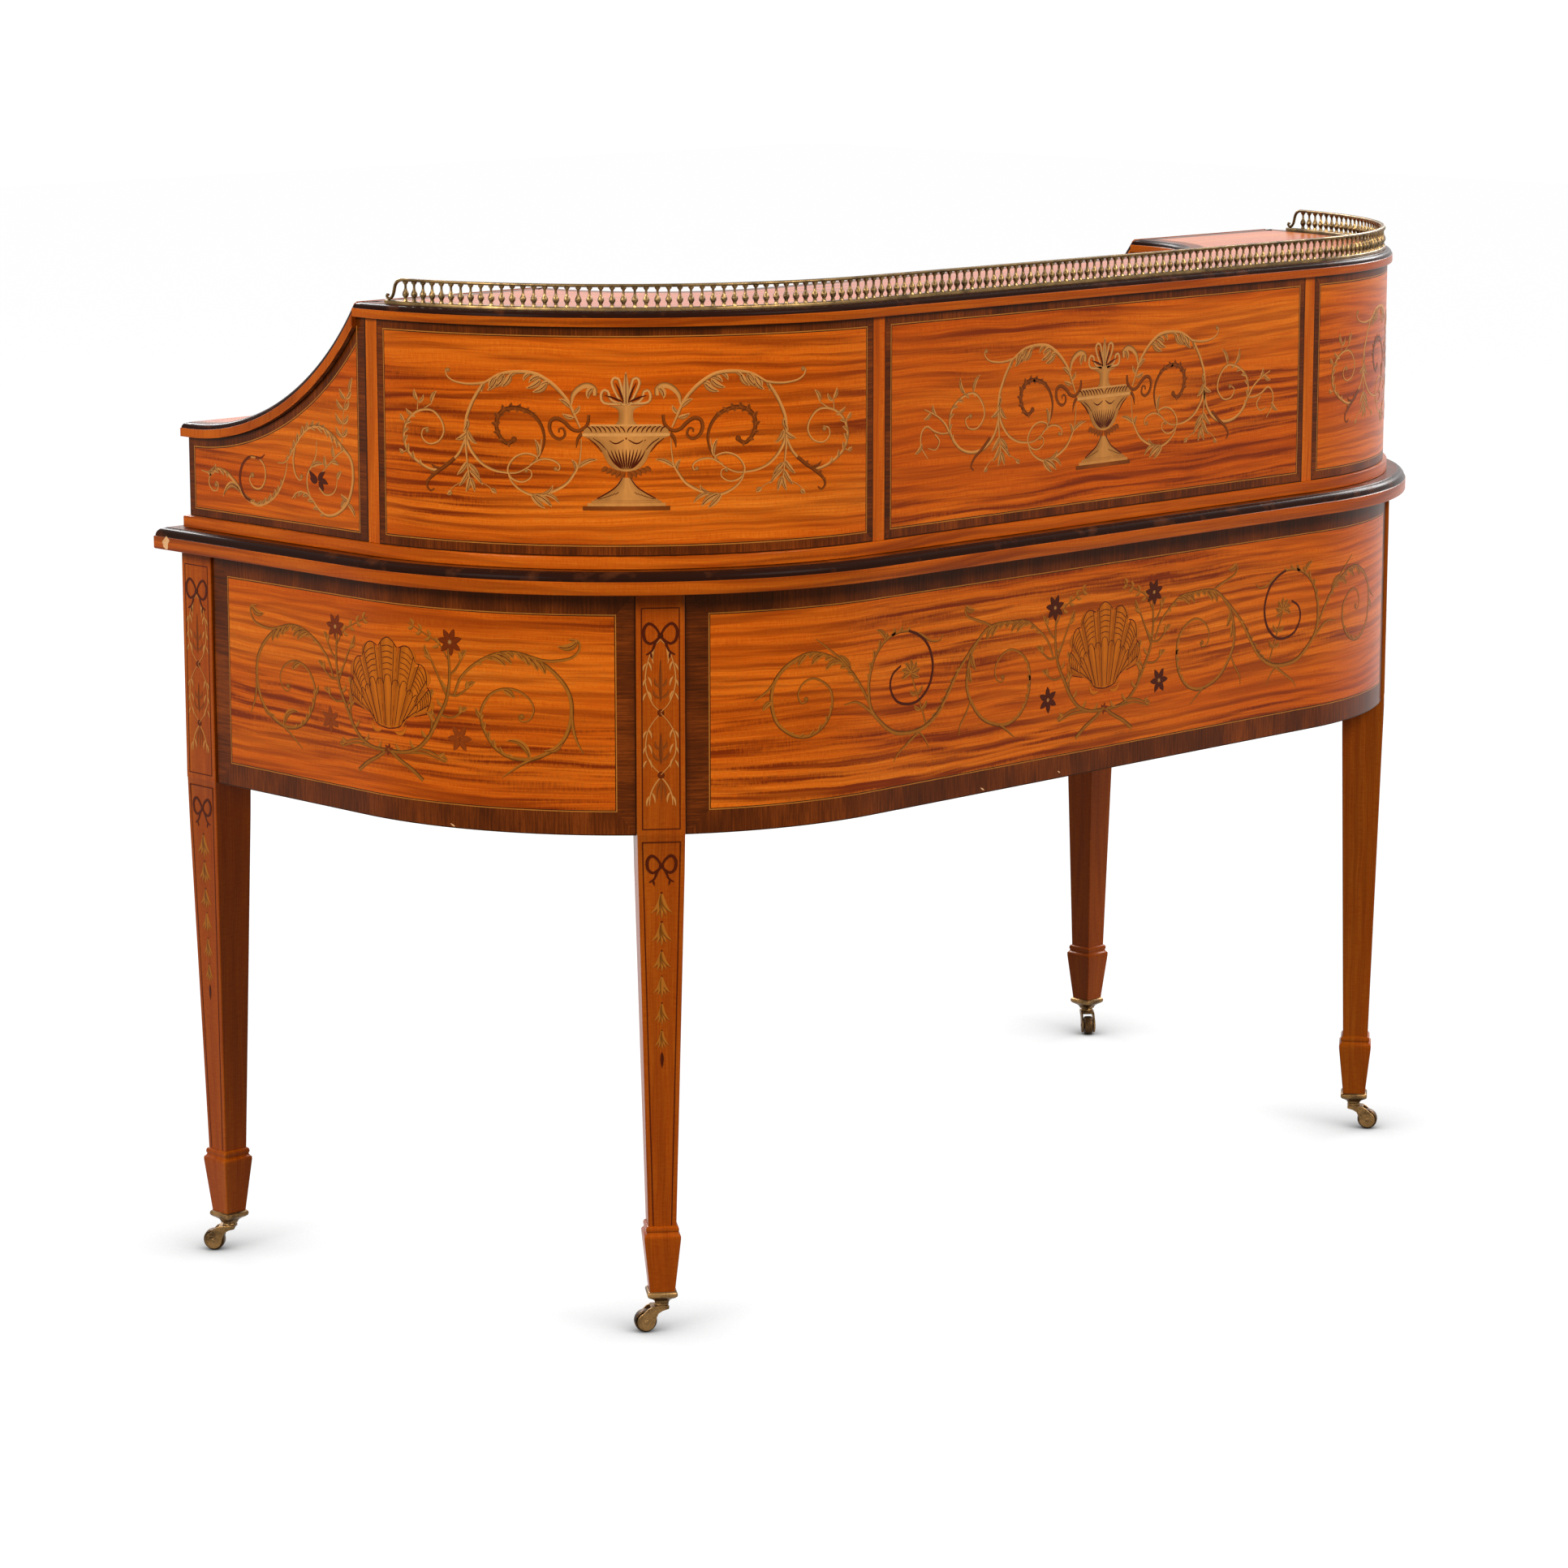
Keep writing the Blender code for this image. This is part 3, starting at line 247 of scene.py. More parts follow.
def satinwood(name, figure, on_body=False, tone=1.0, gloss=0.1, sheen=VARNISH):
    """Polished satinwood: ragged dark streaks along the grain, a mottle across it, fine pores."""
    f = Finish(name)
    u, v = f.grain_map(on_body)
    sway = (f.noise(u, v, 2.2, 5.0) - 0.5) * 0.026 + (f.noise(u, v, 9.0, 20.0) - 0.5) * 0.006
    w = v + sway
    ticks = f.noise(u, v, 620.0, 120.0)
    drift = f.noise(u, w, 1.1, 14.0)
    wave = w * STREAKS + f.noise(u, w, 1.5, 15.0) * 4.0
    ragged = (f.noise(u, w, 5.5, 150.0) - 0.5) * 2.2
    streak = 1 - abs(wave - wave.floor() - 0.5) * 2.0 + ragged + (ticks - 0.5) * 0.7
    thin = (1 - abs(f.noise(u, w, 3.0, 60.0) - 0.5) * 20.0).clamp()
    fibre = f.noise(u, w, 16.0, 950.0)
    strength = ((f.noise(u, v, 2.4, 8.0) - 0.30) * 3.4).clamp(0.55, 1.0)
    dark = ((streak - 0.36) * 1.7).clamp()
    lines = ((f.noise(u, w, 3.2, 310.0) - 0.48) * 7.0).clamp()
    pores = ((f.noise(u, v, 210.0, 2400.0) - 0.60) * 8.0).clamp()
    light = drift * 0.5 + fibre * 0.3 + ticks * 0.2
    shade = lambda *tint: toned(colour(*tint), tone)
    body = f.ramp(light, (0.32, shade(184, 72, 3)), (0.46, shade(206, 90, 9)),
                  (0.58, shade(220, 107, 18)), (0.72, shade(234, 129, 36)))
    figured = (dark * 0.78 + thin * 0.26 + lines * 0.32).clamp() * strength * figure
    grain = f.mix(pores * 0.24, f.mix(figured, body, shade(122, 40, 1)), shade(96, 32, 0))
    height = streak * 0.1 + fibre * 0.3 - pores * 0.5
    return f.finished(Base_Color=grain, Roughness=0.26 - 0.2 * gloss + 0.12 * fibre + 0.08 * pores,
                      Specular_IOR_Level=gloss, Specular_Tint=sheen,
                      Normal=f.bump(height, 0.05, 0.0004),
                      Coat_Weight=0.4 * gloss, Coat_Roughness=0.09)


def crossband_wood():
    """Dark mahogany laid across the edge in short lengths that differ in tone."""
    f = Finish("mahogany_crossband")
    u, v = f.grain_map(False)
    length = (v * 13.0 + f.noise(u, v, 30.0, 6.0) * 0.12).floor()
    tone = f.add("ShaderNodeTexWhiteNoise", {"noise_dimensions": "1D"}, {"W": length}, "Value")
    streak = f.noise(u, v, 26.0, 520.0, 3.0, 0.6)
    cloud = f.noise(u, v, 14.0, 34.0)
    pores = ((f.noise(u, v, 170.0, 2600.0) - 0.58) * 9.0).clamp()
    light = streak * 0.5 + cloud * 0.34 + tone * 0.16
    body = f.ramp(light, (0.30, colour(50, 17, 1)), (0.48, colour(82, 32, 3)),
                  (0.70, colour(122, 54, 10)))
    grain = f.mix(pores * 0.45, body, colour(46, 14, 1))
    return f.finished(Base_Color=grain, Roughness=0.28 + 0.14 * streak,
                      Specular_IOR_Level=0.1, Specular_Tint=VARNISH,
                      Normal=f.bump(streak * 0.4 - pores * 0.5, 0.06, 0.0004),
                      Coat_Weight=0.05, Coat_Roughness=0.1)


def inlay_wood(name, fresh, scorched):
    """A marquetry wood, browned in hot sand where the leaf was dipped."""
    f = Finish(name)
    fresh, scorched = colour(*fresh), colour(*scorched)
    u, v = f.grain_map(False)
    scorch = f.add("ShaderNodeAttribute", {"attribute_name": "scorch"}, None, "Fac")
    grain = f.noise(u, v, 40.0, 900.0, 2.0)
    patch = f.solid_noise(160.0)
    body = f.mix((grain * 0.7 + patch * 0.3 - 0.22).clamp(), toned(fresh, 0.72), toned(fresh, 1.22))
    burnt = (scorch * 1.15 + (patch - 0.5) * 0.35).clamp()
    return f.finished(Base_Color=f.mix(burnt, body, scorched), Roughness=0.3 + 0.1 * grain,
                      Specular_IOR_Level=0.1, Specular_Tint=VARNISH,
                      Coat_Weight=0.03, Coat_Roughness=0.1)


def plain_wood(name, dark, mid, light, on_body=True):
    """Straight-grained wood, as inside the drawers, under the tops and where veneer is chipped."""
    f = Finish(name)
    dark, mid, light = (colour(*tint) for tint in (dark, mid, light))
    u, v = f.grain_map(on_body)
    w = v + (f.noise(u, v, 2.0, 6.0) - 0.5) * 0.02
    streak = f.noise(u, w, 5.0, 190.0, 3.0, 0.6)
    cloud = f.noise(u, v, 4.0, 16.0)
    pores = ((f.noise(u, v, 150.0, 2200.0) - 0.6) * 8.0).clamp()
    body = f.ramp(streak * 0.65 + cloud * 0.35, (0.3, dark), (0.5, mid), (0.72, light))
    return f.finished(Base_Color=f.mix(pores * 0.4, body, toned(dark, 0.4)),
                      Roughness=0.45 + 0.12 * streak, Specular_IOR_Level=0.2,
                      Normal=f.bump(streak - pores, 0.08, 0.0004))


def ebonised_wood():
    """Blackened moulding, rubbed brown here and there."""
    f = Finish("ebonised_moulding")
    rub = ((f.solid_noise(46.0, 4.0) - 0.56) * 5.0).clamp()
    fine = f.solid_noise(900.0, 2.0)
    body = f.mix(rub * 0.7, colour(34, 15, 8), colour(84, 42, 20))
    return f.finished(Base_Color=body, Roughness=0.18 + 0.16 * fine + 0.12 * rub,
                      Specular_IOR_Level=0.05, Specular_Tint=(0.24, 0.23, 0.23),
                      Normal=f.bump(fine, 0.05, 0.0003))


def old_brass(name, bright, dull, shine):
    """Lacquered brass gone brown in patches."""
    f = Finish(name)
    patch = f.solid_noise(70.0, 4.0)
    fine = f.solid_noise(650.0, 3.0)
    dirt = ((patch * 0.65 + fine * 0.35 - 0.40) * 3.6).clamp()
    return f.finished(Base_Color=f.mix(dirt, colour(*bright), colour(*dull)), Metallic=1.0,
                      Roughness=shine + 0.2 * dirt + 0.08 * fine,
                      Normal=f.bump(fine, 0.06, 0.0003))


def desk_leather():
    """Green skiver with a fine pebble and paler wear."""
    f = Finish("green_leather")
    place = f.add("ShaderNodeTexCoord", out="Object")
    pebble = f.add("ShaderNodeTexVoronoi", {"feature": "DISTANCE_TO_EDGE"},
                   {"Vector": place, "Scale": 900.0}, "Distance")
    wear = ((f.solid_noise(9.0, 4.0) - 0.5) * 2.6).clamp()
    cloud = f.solid_noise(60.0, 3.0)
    body = f.mix(cloud, colour(22, 46, 30), colour(40, 70, 44))
    return f.finished(Base_Color=f.mix(wear * 0.5, body, colour(84, 92, 56)),
                      Roughness=0.46 + 0.14 * cloud,
                      Normal=f.bump((pebble * 3.0).clamp(), 0.25, 0.0003))


FIGURED = satinwood("figured_satinwood", 1.0, tone=0.84)
# The tops' satinwood is toned darker than the panels' as painted shade, taking back the stronger
# overhead light and sheen that the tops get.
POLISHED = satinwood("polished_top_satinwood", 0.8, tone=0.72, gloss=0.2, sheen=TOP_POLISH)
PLAIN = satinwood("plain_satinwood", 0.45, tone=0.74)
EDGING = satinwood("edge_satinwood", 0.7, tone=0.66)
# The legs' satinwood is toned darker than the panels', partly as painted shade of their place under the
# desk; the block at the top is toned a little less dark.
SHADE_DARKENED_LEG_WOOD = satinwood("leg_satinwood", 0.35, tone=0.48)
BLOCK_WOOD = satinwood("leg_block_satinwood", 0.35, tone=0.55)
CARCASE = satinwood("carcase_satinwood", 0.5, on_body=True, tone=0.7)
CROSSBAND = crossband_wood()
PALE_STRING = inlay_wood("box_stringing", (176, 108, 40), (120, 70, 24))
DARK_LINE = inlay_wood("dark_stringing", (50, 20, 4), (30, 12, 2))
BOXWOOD = inlay_wood("sand_shaded_box", (200, 132, 64), (66, 32, 8))
HOLLY = inlay_wood("pale_holly", (206, 142, 76), (78, 42, 12))
OLIVE = inlay_wood("olive_tan_inlay", (174, 102, 30), (66, 34, 6))
AMBER = inlay_wood("amber_inlay", (200, 104, 18), (96, 42, 4))
TULIP = inlay_wood("brown_inlay", (118, 44, 8), (56, 18, 2))
WALNUT = inlay_wood("walnut_inlay", (138, 66, 18), (64, 26, 4))
FADED = inlay_wood("faded_flower_inlay", (140, 60, 14), (96, 38, 6))
DARK = inlay_wood("dark_inlay", (74, 22, 6), (38, 13, 3))
EBONY = ebonised_wood()
BRASS = old_brass("gallery_brass", (126, 100, 62), (54, 41, 27), 0.26)
CASTER_BRASS = old_brass("caster_brass", (140, 106, 64), (56, 42, 28), 0.30)
WHEEL_BRASS = old_brass("wheel_brass", (86, 62, 38), (30, 22, 15), 0.36)
LEATHER = desk_leather()
GILT = old_brass("gilt_tooling", (220, 178, 92), (150, 112, 56), 0.3)
DRAWER_LINING = plain_wood("drawer_lining", (150, 92, 46), (178, 116, 64), (200, 142, 88))
BARE_WOOD = plain_wood("bare_chipped_wood", (170, 112, 62), (206, 152, 100), (226, 182, 134), False)
UNDERSIDE = plain_wood("underside_wood", (92, 46, 20), (120, 64, 30), (146, 86, 44))


# Pieces

WOOD_CREASE, INLAY_CREASE, BRASS_CREASE = 32, 40, 50  # degrees from which an edge is sharp


def laid(u0, u1, v0, v1, finish):
    """The corners of a strip on its veneer's map. A crossband's grain runs across its strip."""
    spots = [(u0, v0), (u1, v0), (u1, v1), (u0, v1)]
    return [(v, u) for u, v in spots] if finish == CROSSBAND else spots


def facing(place, axis="X"):
    """A place for a turned piece that lies along Y, or along X where the axis is Y."""
    return Matrix.Translation(place) @ Matrix.Rotation(pi / 2, 4, axis)


class Piece:
    """A piece in the making. Each face has a finish and a map of its veneer in metres."""

    def __init__(self, name):
        self.name = name
        self.mesh = bmesh.new()
        self.map = self.mesh.loops.layers.uv.new("veneer")
        self.scorch = self.mesh.verts.layers.float.new("scorch")
        self.finishes, self.unmapped = [], []

    def point(self, place, scorch=0.0):
        vert = self.mesh.verts.new(place)
        vert[self.scorch] = scorch
        return vert

    def face(self, verts, finish, spots=None):
        face = self.mesh.faces.new(verts)
        if finish not in self.finishes:
            self.finishes.append(finish)
        face.material_index = self.finishes.index(finish)
        if spots is None:
            self.unmapped.append(face)
        else:
            for loop, spot in zip(face.loops, spots):
                loop[self.map].uv = spot
        return face

    def loft(self, rings, finishes, looped=True, caps=True, flow=False):
        """Faces between rings of points. finishes is one finish, or one for each step.

        With flow, the grain runs round the rings."""
        rows = [[self.point(p) for p in ring] for ring in rings]
        travel, rise = [0.0], [0.0]
        for a, b in zip(rings[0], list(rings[0][1:]) + [rings[0][0]]):
            travel.append(travel[-1] + (b - a).length)
        for low, high in zip(rings, rings[1:]):
            rise.append(rise[-1] + (high[0] - low[0]).length)
        for step, (low, high) in enumerate(zip(rows, rows[1:])):
            finish = finishes[step] if isinstance(finishes, list) else finishes
            for i in range(len(low) if looped else len(low) - 1):
                j = (i + 1) % len(low)
                spots = laid(travel[i], travel[i + 1], rise[step], rise[step + 1], finish)
                self.face([low[i], low[j], high[j], high[i]], finish, spots if flow else None)
        if caps:
            ends = finishes if isinstance(finishes, list) else [finishes]
            self.face(list(reversed(rows[0])), ends[0])
            self.face(rows[-1], ends[-1])
        return rows

    def turned(self, profile, finish, at=Matrix(), steps=24, looped=False):
        """A profile of (radius, height) in millimetres, turned about its own Z."""
        rows = []
        for radius, height in profile:
            turns = [2 * pi * i / steps for i in range(steps if radius > 0 else 1)]
            ring = [Vector((radius * cos(t), radius * sin(t), height)) * MM for t in turns]
            rows.append([self.point(at @ p) for p in ring])
        for low, high in zip(rows, rows[1:] + rows[:1] if looped else rows[1:]):
            for i in range(steps):
                j = (i + 1) % steps
                corners = [low[i % len(low)], low[j % len(low)],
                           high[j % len(high)], high[i % len(high)]]
                corners = list(dict.fromkeys(corners))
                if len(corners) > 2:
                    self.face(corners, finish)
        if not looped:
            for end in (rows[0], rows[-1]):
                if len(end) > 1:
                    self.face(end, finish)

    def rod(self, path, radius, finish, upright, sides=10):
        """A round rod along a path, with flat ends."""
        rings = []
        for i, place in enumerate(path):
            along = (path[min(i + 1, len(path) - 1)] - path[max(i - 1, 0)]).normalized()
            across = along.cross(upright).normalized()
            over = across.cross(along)
            turns = [2 * pi * k / sides for k in range(sides)]
            rings.append([place + radius * (cos(t) * across + sin(t) * over) for t in turns])
        self.loft(rings, finish)

    def block(self, low, high, finish, ease=0.0006):
        """A board with eased edges."""
        (x0, y0, z0), (x1, y1, z1) = low, high
        rings = []
        for inset, z in ((ease, z0), (0, z0 + ease), (0, z1 - ease), (ease, z1)):
            outline = ((x0 + inset, y0 + ease), (x0 + ease, y0 + inset),
                       (x1 - ease, y0 + inset), (x1 - inset, y0 + ease),
                       (x1 - inset, y1 - ease), (x1 - ease, y1 - inset),
                       (x0 + ease, y1 - inset), (x0 + inset, y1 - ease))
            rings.append([Vector((x, y, z)) for x, y in outline])
        self.loft(rings, finish)

    def map_by_faces(self, grain, shift):
        for face in self.unmapped:
            if not face.is_valid:
                continue
            face.normal_update()
            look = [abs(c) for c in face.normal]
            others = [axis for axis in range(3) if axis != grain]
            across = min(others, key=lambda axis: look[axis])
            along = grain if look[grain] < 0.75 else next(axis for axis in others if axis != across)
            for loop in face.loops:
                loop[self.map].uv = (loop.vert.co[along] + shift, loop.vert.co[across] + 0.41 * shift)

    def done(self, body, slot, *nodes, grain=0, at=None, crease=WOOD_CREASE, shift=0.0):
        bmesh.ops.remove_doubles(self.mesh, verts=self.mesh.verts, dist=2e-6)
        self.map_by_faces(grain, shift)
        if at is not None:
            self.mesh.transform(at)
        bmesh.ops.recalc_face_normals(self.mesh, faces=self.mesh.faces)
        data = bpy.data.meshes.new(self.name)
        self.mesh.to_mesh(data)
        self.mesh.free()
        for finish in self.finishes:
            data.materials.append(finish)
        data.shade_smooth()
        data.set_sharp_from_angle(angle=radians(crease))
        return settle(bpy.data.objects.new(self.name, data), body, slot, *nodes)


def settle(obj, body, slot, *nodes):
    if obj.name not in bpy.context.scene.collection.objects:
        bpy.context.scene.collection.objects.link(obj)
    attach(obj, body)
    if nodes:
        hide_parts(*nodes)
    return obj


# The outline of the desk

class Outline:
    """The D of the desk at one distance out.

    A run is measured from the middle of the back, positive to the right."""

    def __init__(self, radius):
        self.radius = radius
        self.bend = CORNER_X + radius * pi / 2

    def place(self, run, z, depth=0.0):
        side, far, reach = (1 if run >= 0 else -1), abs(run), self.radius - depth
        if far <= CORNER_X:
            return Vector((run, CORNER_Y + reach, z))
        turn = (far - CORNER_X) / self.radius
        if turn < pi / 2:
            return Vector((side * (CORNER_X + reach * sin(turn)), CORNER_Y + reach * cos(turn), z))
        return Vector((side * (CORNER_X + reach), CORNER_Y - (far - self.bend), z))

    def run_at(self, angle):
        return CORNER_X + self.radius * (pi / 2 - angle)

    def run_to(self, y):
        if y <= CORNER_Y:
            return self.bend + CORNER_Y - y
        return self.run_at(asin((y - CORNER_Y) / self.radius))


FRIEZE_LINE = Outline(CORNER_RADIUS)
PANEL_LINE = Outline(CORNER_RADIUS - PANEL_INSET)


def d_ring(offset, front, z, steps=44):
    """The D moved out by offset, from the left front corner round the back to the right."""
    line = Outline(CORNER_RADIUS + offset)
    half = [0.5 * CORNER_X] + [CORNER_X + line.radius * pi / 2 * i / steps for i in range(steps + 1)]
    half.append(line.run_to(front))
    return [line.place(run, z) for run in [-run for run in reversed(half)] + [0.0] + half]


def u_ring(offset, front, inner_radius, z, steps=20):
    """The D outside, and the wings, cupboards and bank inside."""
    turns = [pi / 2 * i / steps for i in range(steps + 1)]
    arc = [(DOOR_X + inner_radius * cos(t), DOOR_Y + inner_radius * sin(t)) for t in turns]
    inner = [(DOOR_X + inner_radius, front)] + arc
    inside = [Vector((x, y, z)) for x, y in inner] + [Vector((-x, y, z)) for x, y in reversed(inner)]
    return d_ring(offset, front, z) + inside


def edge_profile(bottom, top, steps=6):
    """A satinwood band below, then an ebonised ovolo set back above it, as (inset, height)."""
    band_top = bottom + EDGE_BAND * (top - bottom)
    ovolo = top - band_top
    curve = [(EDGE_STEP + (EDGE_DEPTH - EDGE_STEP) * 0.9 * (1 - cos(pi / 2 * i / steps)),
              band_top + ovolo * (0.05 + 0.88 * sin(pi / 2 * i / steps))) for i in range(steps + 1)]
    band = [(EDGE_STEP, bottom), (0.4 * EDGE_STEP, bottom + 0.3 * EDGE_STEP), (0.0, bottom + EDGE_STEP),
            (0.0, band_top - 0.0003), (0.0003, band_top)]
    return band + curve + [(0.93 * EDGE_DEPTH, top - 0.07 * ovolo), (EDGE_DEPTH, top)]


EDGE_FINISHES = [EDGING] * 4 + [EBONY] * 9


# Veneered boards

ORDER = ("stile", "joint", "band", "string", "line", "field")
VENEERS = {"stile": PLAIN, "joint": DARK_LINE, "band": CROSSBAND,
           "string": PALE_STRING, "line": DARK_LINE, "field": FIGURED}


def border(band, stile=0.0, joint=JOINT):
    """Strips from the edge of a panel inwards."""
    strips = [("joint", joint)] if joint else []
    if stile:
        strips = [("stile", stile)] + strips
    return strips + [("band", band), ("string", STRING), ("line", LINE)]


def strips(start, end, near, far, pitch):
    """Edges across a panel, and the kind of veneer between them."""
    edges, kinds = [start], []
    for kind, width in near:
        edges.append(edges[-1] + width)
        kinds.append(kind)
    ends = [end]
    for kind, width in far:
        ends.append(ends[-1] - width)
    count = max(1, ceil((ends[-1] - edges[-1]) / pitch))
    first = edges[-1]
    edges += [first + (ends[-1] - first) * (i + 1) / count for i in range(count)]
    kinds += ["field"] * count + [kind for kind, _ in reversed(far)]
    return edges + list(reversed(ends[:-1])), kinds


def veneered_board(name, place, columns, rows, thick, body, *nodes,
                   seed=0.0, inside=UNDERSIDE, slot="satinwood"):
    """A board faced with veneer.

    place(run, z, depth) is a point of it, and rows gives the heights at a run."""
    runs, across = columns
    heights, upwards = rows
    piece = Piece(name)
    levels = [heights(run) for run in runs]
    front = [[piece.point(place(run, z, 0.0)) for z in level] for run, level in zip(runs, levels)]
    back = [[piece.point(place(run, z, thick)) for z in (level[0], level[-1])]
            for run, level in zip(runs, levels)]

    def lay(corners, kind, upright):
        verts = [front[i][j] for i, j in corners]
        spots = []
        for i, j in corners:
            spot = (runs[i] + seed, levels[i][j] + 0.37 * seed)
            along_z = kind == "stile" or (kind == "band" and not upright)
            spots.append((spot[1], spot[0]) if along_z else spot)
        piece.face(verts, VENEERS[kind], spots)

    for i, column in enumerate(across):
        for j, row in enumerate(upwards):
            corners = [(i, j), (i + 1, j), (i + 1, j + 1), (i, j + 1)]
            if column == row == "band":
                low, left = j < len(upwards) / 2, i < len(across) / 2
                a, b, c, d = corners
                halves = ((a, b, c), (a, c, d)) if low == left else ((a, b, d), (b, c, d))
                for number, half in enumerate(halves):
                    lay(half, "band", (number == 0) != low)
            else:
                upright = ORDER.index(column) <= ORDER.index(row)
                lay(corners, column if upright else row, upright)
        piece.face([back[i][0], back[i][1], back[i + 1][1], back[i + 1][0]], inside)
        piece.face([front[i][0], back[i][0], back[i + 1][0], front[i + 1][0]], PLAIN)
        piece.face([front[i][-1], front[i + 1][-1], back[i + 1][1], back[i][1]], PLAIN)
    for column, rear, turn in ((front[0], back[0], 1), (front[-1], back[-1], -1)):
        piece.face((list(column) + [rear[1], rear[0]])[::turn], PLAIN)
    return piece.done(body, slot, *nodes)


def level_rows(bottom, top, near, far):
    edges, kinds = strips(bottom, top, near, far, 1.0)
    return (lambda run: edges), kinds


# Marquetry

def flowing(points, step):
    """A smooth line through points of any number of terms, with a place about every step along it."""
    points = [Vector(p) for p in points]
    ends = [points[0] * 2 - points[1]] + points + [points[-1] * 2 - points[-2]]
    line = []
    for before, start, end, after in zip(ends, ends[1:], ends[2:], ends[3:]):
        count = max(1, round((end - start).xy.length / step)) if len(start) > 1 else 1
        for i in range(count):
            t = i / count
            line.append(0.5 * (2 * start + (end - before) * t
                               + (2 * before - 5 * start + 4 * end - after) * t * t
                               + (3 * start - before - 3 * end + after) * t ** 3))
    return line + [points[-1]]


# Browning of a wood's left edge, middle and right edge
INK = (0.0, 0.0, 0.0)
SAND_SHADE, LEAF_SHADE, PETAL_SHADE = (0.75, 0.0, 0.0), (0.6, 0.0, 0.0), (0.4, 0.0, 0.2)
BROWNED, SCROLL_SHADE, GARLAND_SHADE = (0.9, 0.2, 0.5), (0.9, 0.15, 0.3), (0.6, 0.0, 0.2)
DISC_SCORCH = 0.2
UPPER_BOLD, WING_BOLD, FRIEZE_BOLD = 1.12, 1.2, 1.35  # how much wider a design is drawn
STROKE_STEP, LEAF_STEP, RIBBON_ROW, THINNEST, DISC_SIDES, RIBBED_WIDTH = 2.4, 2.0, 14, 0.06, 14, 2.8


class Marquetry:
    """Thin woods let into a face.

    A design is drawn in millimetres, and place(x, y, depth) is its point on the face."""

    def __init__(self, name, place):
        self.piece, self.place, self.laid, self.flip = Piece(name), place, 0, 1
        self.wood, self.edge, self.bold = BOXWOOD, SAND_SHADE, 1.0

    def lift(self, wood):
        """Each wood laid goes a hair over the last, and the dark engraved lines over them all."""
        self.laid += 1
        return -(INLAY_PROUD + INLAY_STEP * (self.laid % 24) + (INK_PROUD if wood == DARK else 0.0))

    def set(self, spot, depth, scorch):
        return self.piece.point(self.place(self.flip * spot.x * MM, spot.y * MM, depth), scorch)

    def ribbon(self, path, wood, scorch=(0.6, 0.0, 0.05)):
        """A flat wood along a path of (x, y, width)."""
        depth = self.lift(wood)
        half = max(1, ceil(max(spot.z for spot in path) / RIBBON_ROW))
        shares = [i / half - 1 for i in range(2 * half + 1)]
        burnt = [scorch[1] + abs(t) * (scorch[0 if t < 0 else 2] - scorch[1]) for t in shares]
        rows = []
        for i, spot in enumerate(path):
            along = (path[min(i + 1, len(path) - 1)] - path[max(i - 1, 0)]).xy
            if along.length < 1e-6:
                continue
            off = Vector((along.y, -along.x)).normalized() * max(THINNEST, spot.z / 2)
            row = [self.set(spot.xy + off * t, depth, s) for t, s in zip(shares, burnt)]
            rows.append(row + [self.set(spot.xy + off, INLAY_SUNK, scorch[2]),
                               self.set(spot.xy - off, INLAY_SUNK, scorch[0])])
        travel = 0.0
        for first, second in zip(rows, rows[1:]):
            length = (second[half].co - first[half].co).length
            for k in range(len(first)):
                m = (k + 1) % len(first)
                ahead = travel + length
                spots = [(travel, MM * k), (travel, MM * (k + 1)), (ahead, MM * (k + 1)),
                    (ahead, MM * k)]
                self.piece.face([first[k], first[m], second[m], second[k]], wood, spots)
            travel += length
        for end in (rows[0], rows[-1]):
            self.piece.face(end, wood, [(0, 0)] * len(end))

    def stroke(self, points, start, end, swell=0.0, wood=None, scorch=None):
        """A tapering line through the points, swelling in the middle."""
        line = flowing(points, STROKE_STEP)
        last = max(1, len(line) - 1)
        width = lambda t: self.bold * (start + (end - start) * t / last + swell * sin(pi * t / last))
        path = [Vector((p.x, p.y, width(i))) for i, p in enumerate(line)]
        self.ribbon(path, wood or self.wood, scorch or self.edge)

    def leaf(self, root, tip, width, bend=0.15, wood=None, scorch=LEAF_SHADE, rib=None):
        """A pointed leaf from root to tip. bend bows it to the left of its way."""
        root, tip = Vector(root), Vector(tip)
        way = tip - root
        off = Vector((-way.y, way.x)) * bend
        count = max(5, round(way.length / LEAF_STEP))
        path = []
        for i in range(count + 1):
            t = i / count
            spot = root + way * t + off * (4 * t * (1 - t))
            wide = self.bold * width * sin(pi * t ** 0.8) ** 0.8 if 0 < t < 1 else 0.2
            path.append(Vector((spot.x, spot.y, wide)))
        self.ribbon(path, wood or self.wood, scorch)
        if rib or (rib is None and width > RIBBED_WIDTH):
            self.ribbon([Vector((p.x, p.y, 0.12 * width)) for p in path[1:-1]], DARK, INK)

    def leaves(self, ends, width, bend=0.15, wood=None, rib=None):
        """Leaves alike, each from its root to its tip."""
        for root, tip in ends:
            self.leaf(root, tip, width, bend, wood, rib=rib)

    def acanthus(self, points, width, length, spacing, side, start, end, lean, wood=None):
        """Lobes along one side of a line, each bowed over it and shorter towards the ends."""
        line = flowing(points, 1.0)
        count = max(1, int((end - start) * len(line) / spacing))
        for i in range(count + 1):
            at = int((start + (end - start) * i / max(1, count)) * (len(line) - 2))
            along = (line[at + 1] - line[at]).normalized()
            out = Vector((-along.y, along.x)) * side
            grow = 0.55 + 0.45 * sin(pi * (i + 0.6) / (count + 1.2))
            tip = line[at] + (along * (1 - lean) * 1.6 + out * lean * 1.3) * length * grow
            self.leaf(line[at], tip, width * grow, -0.16 * side, wood)

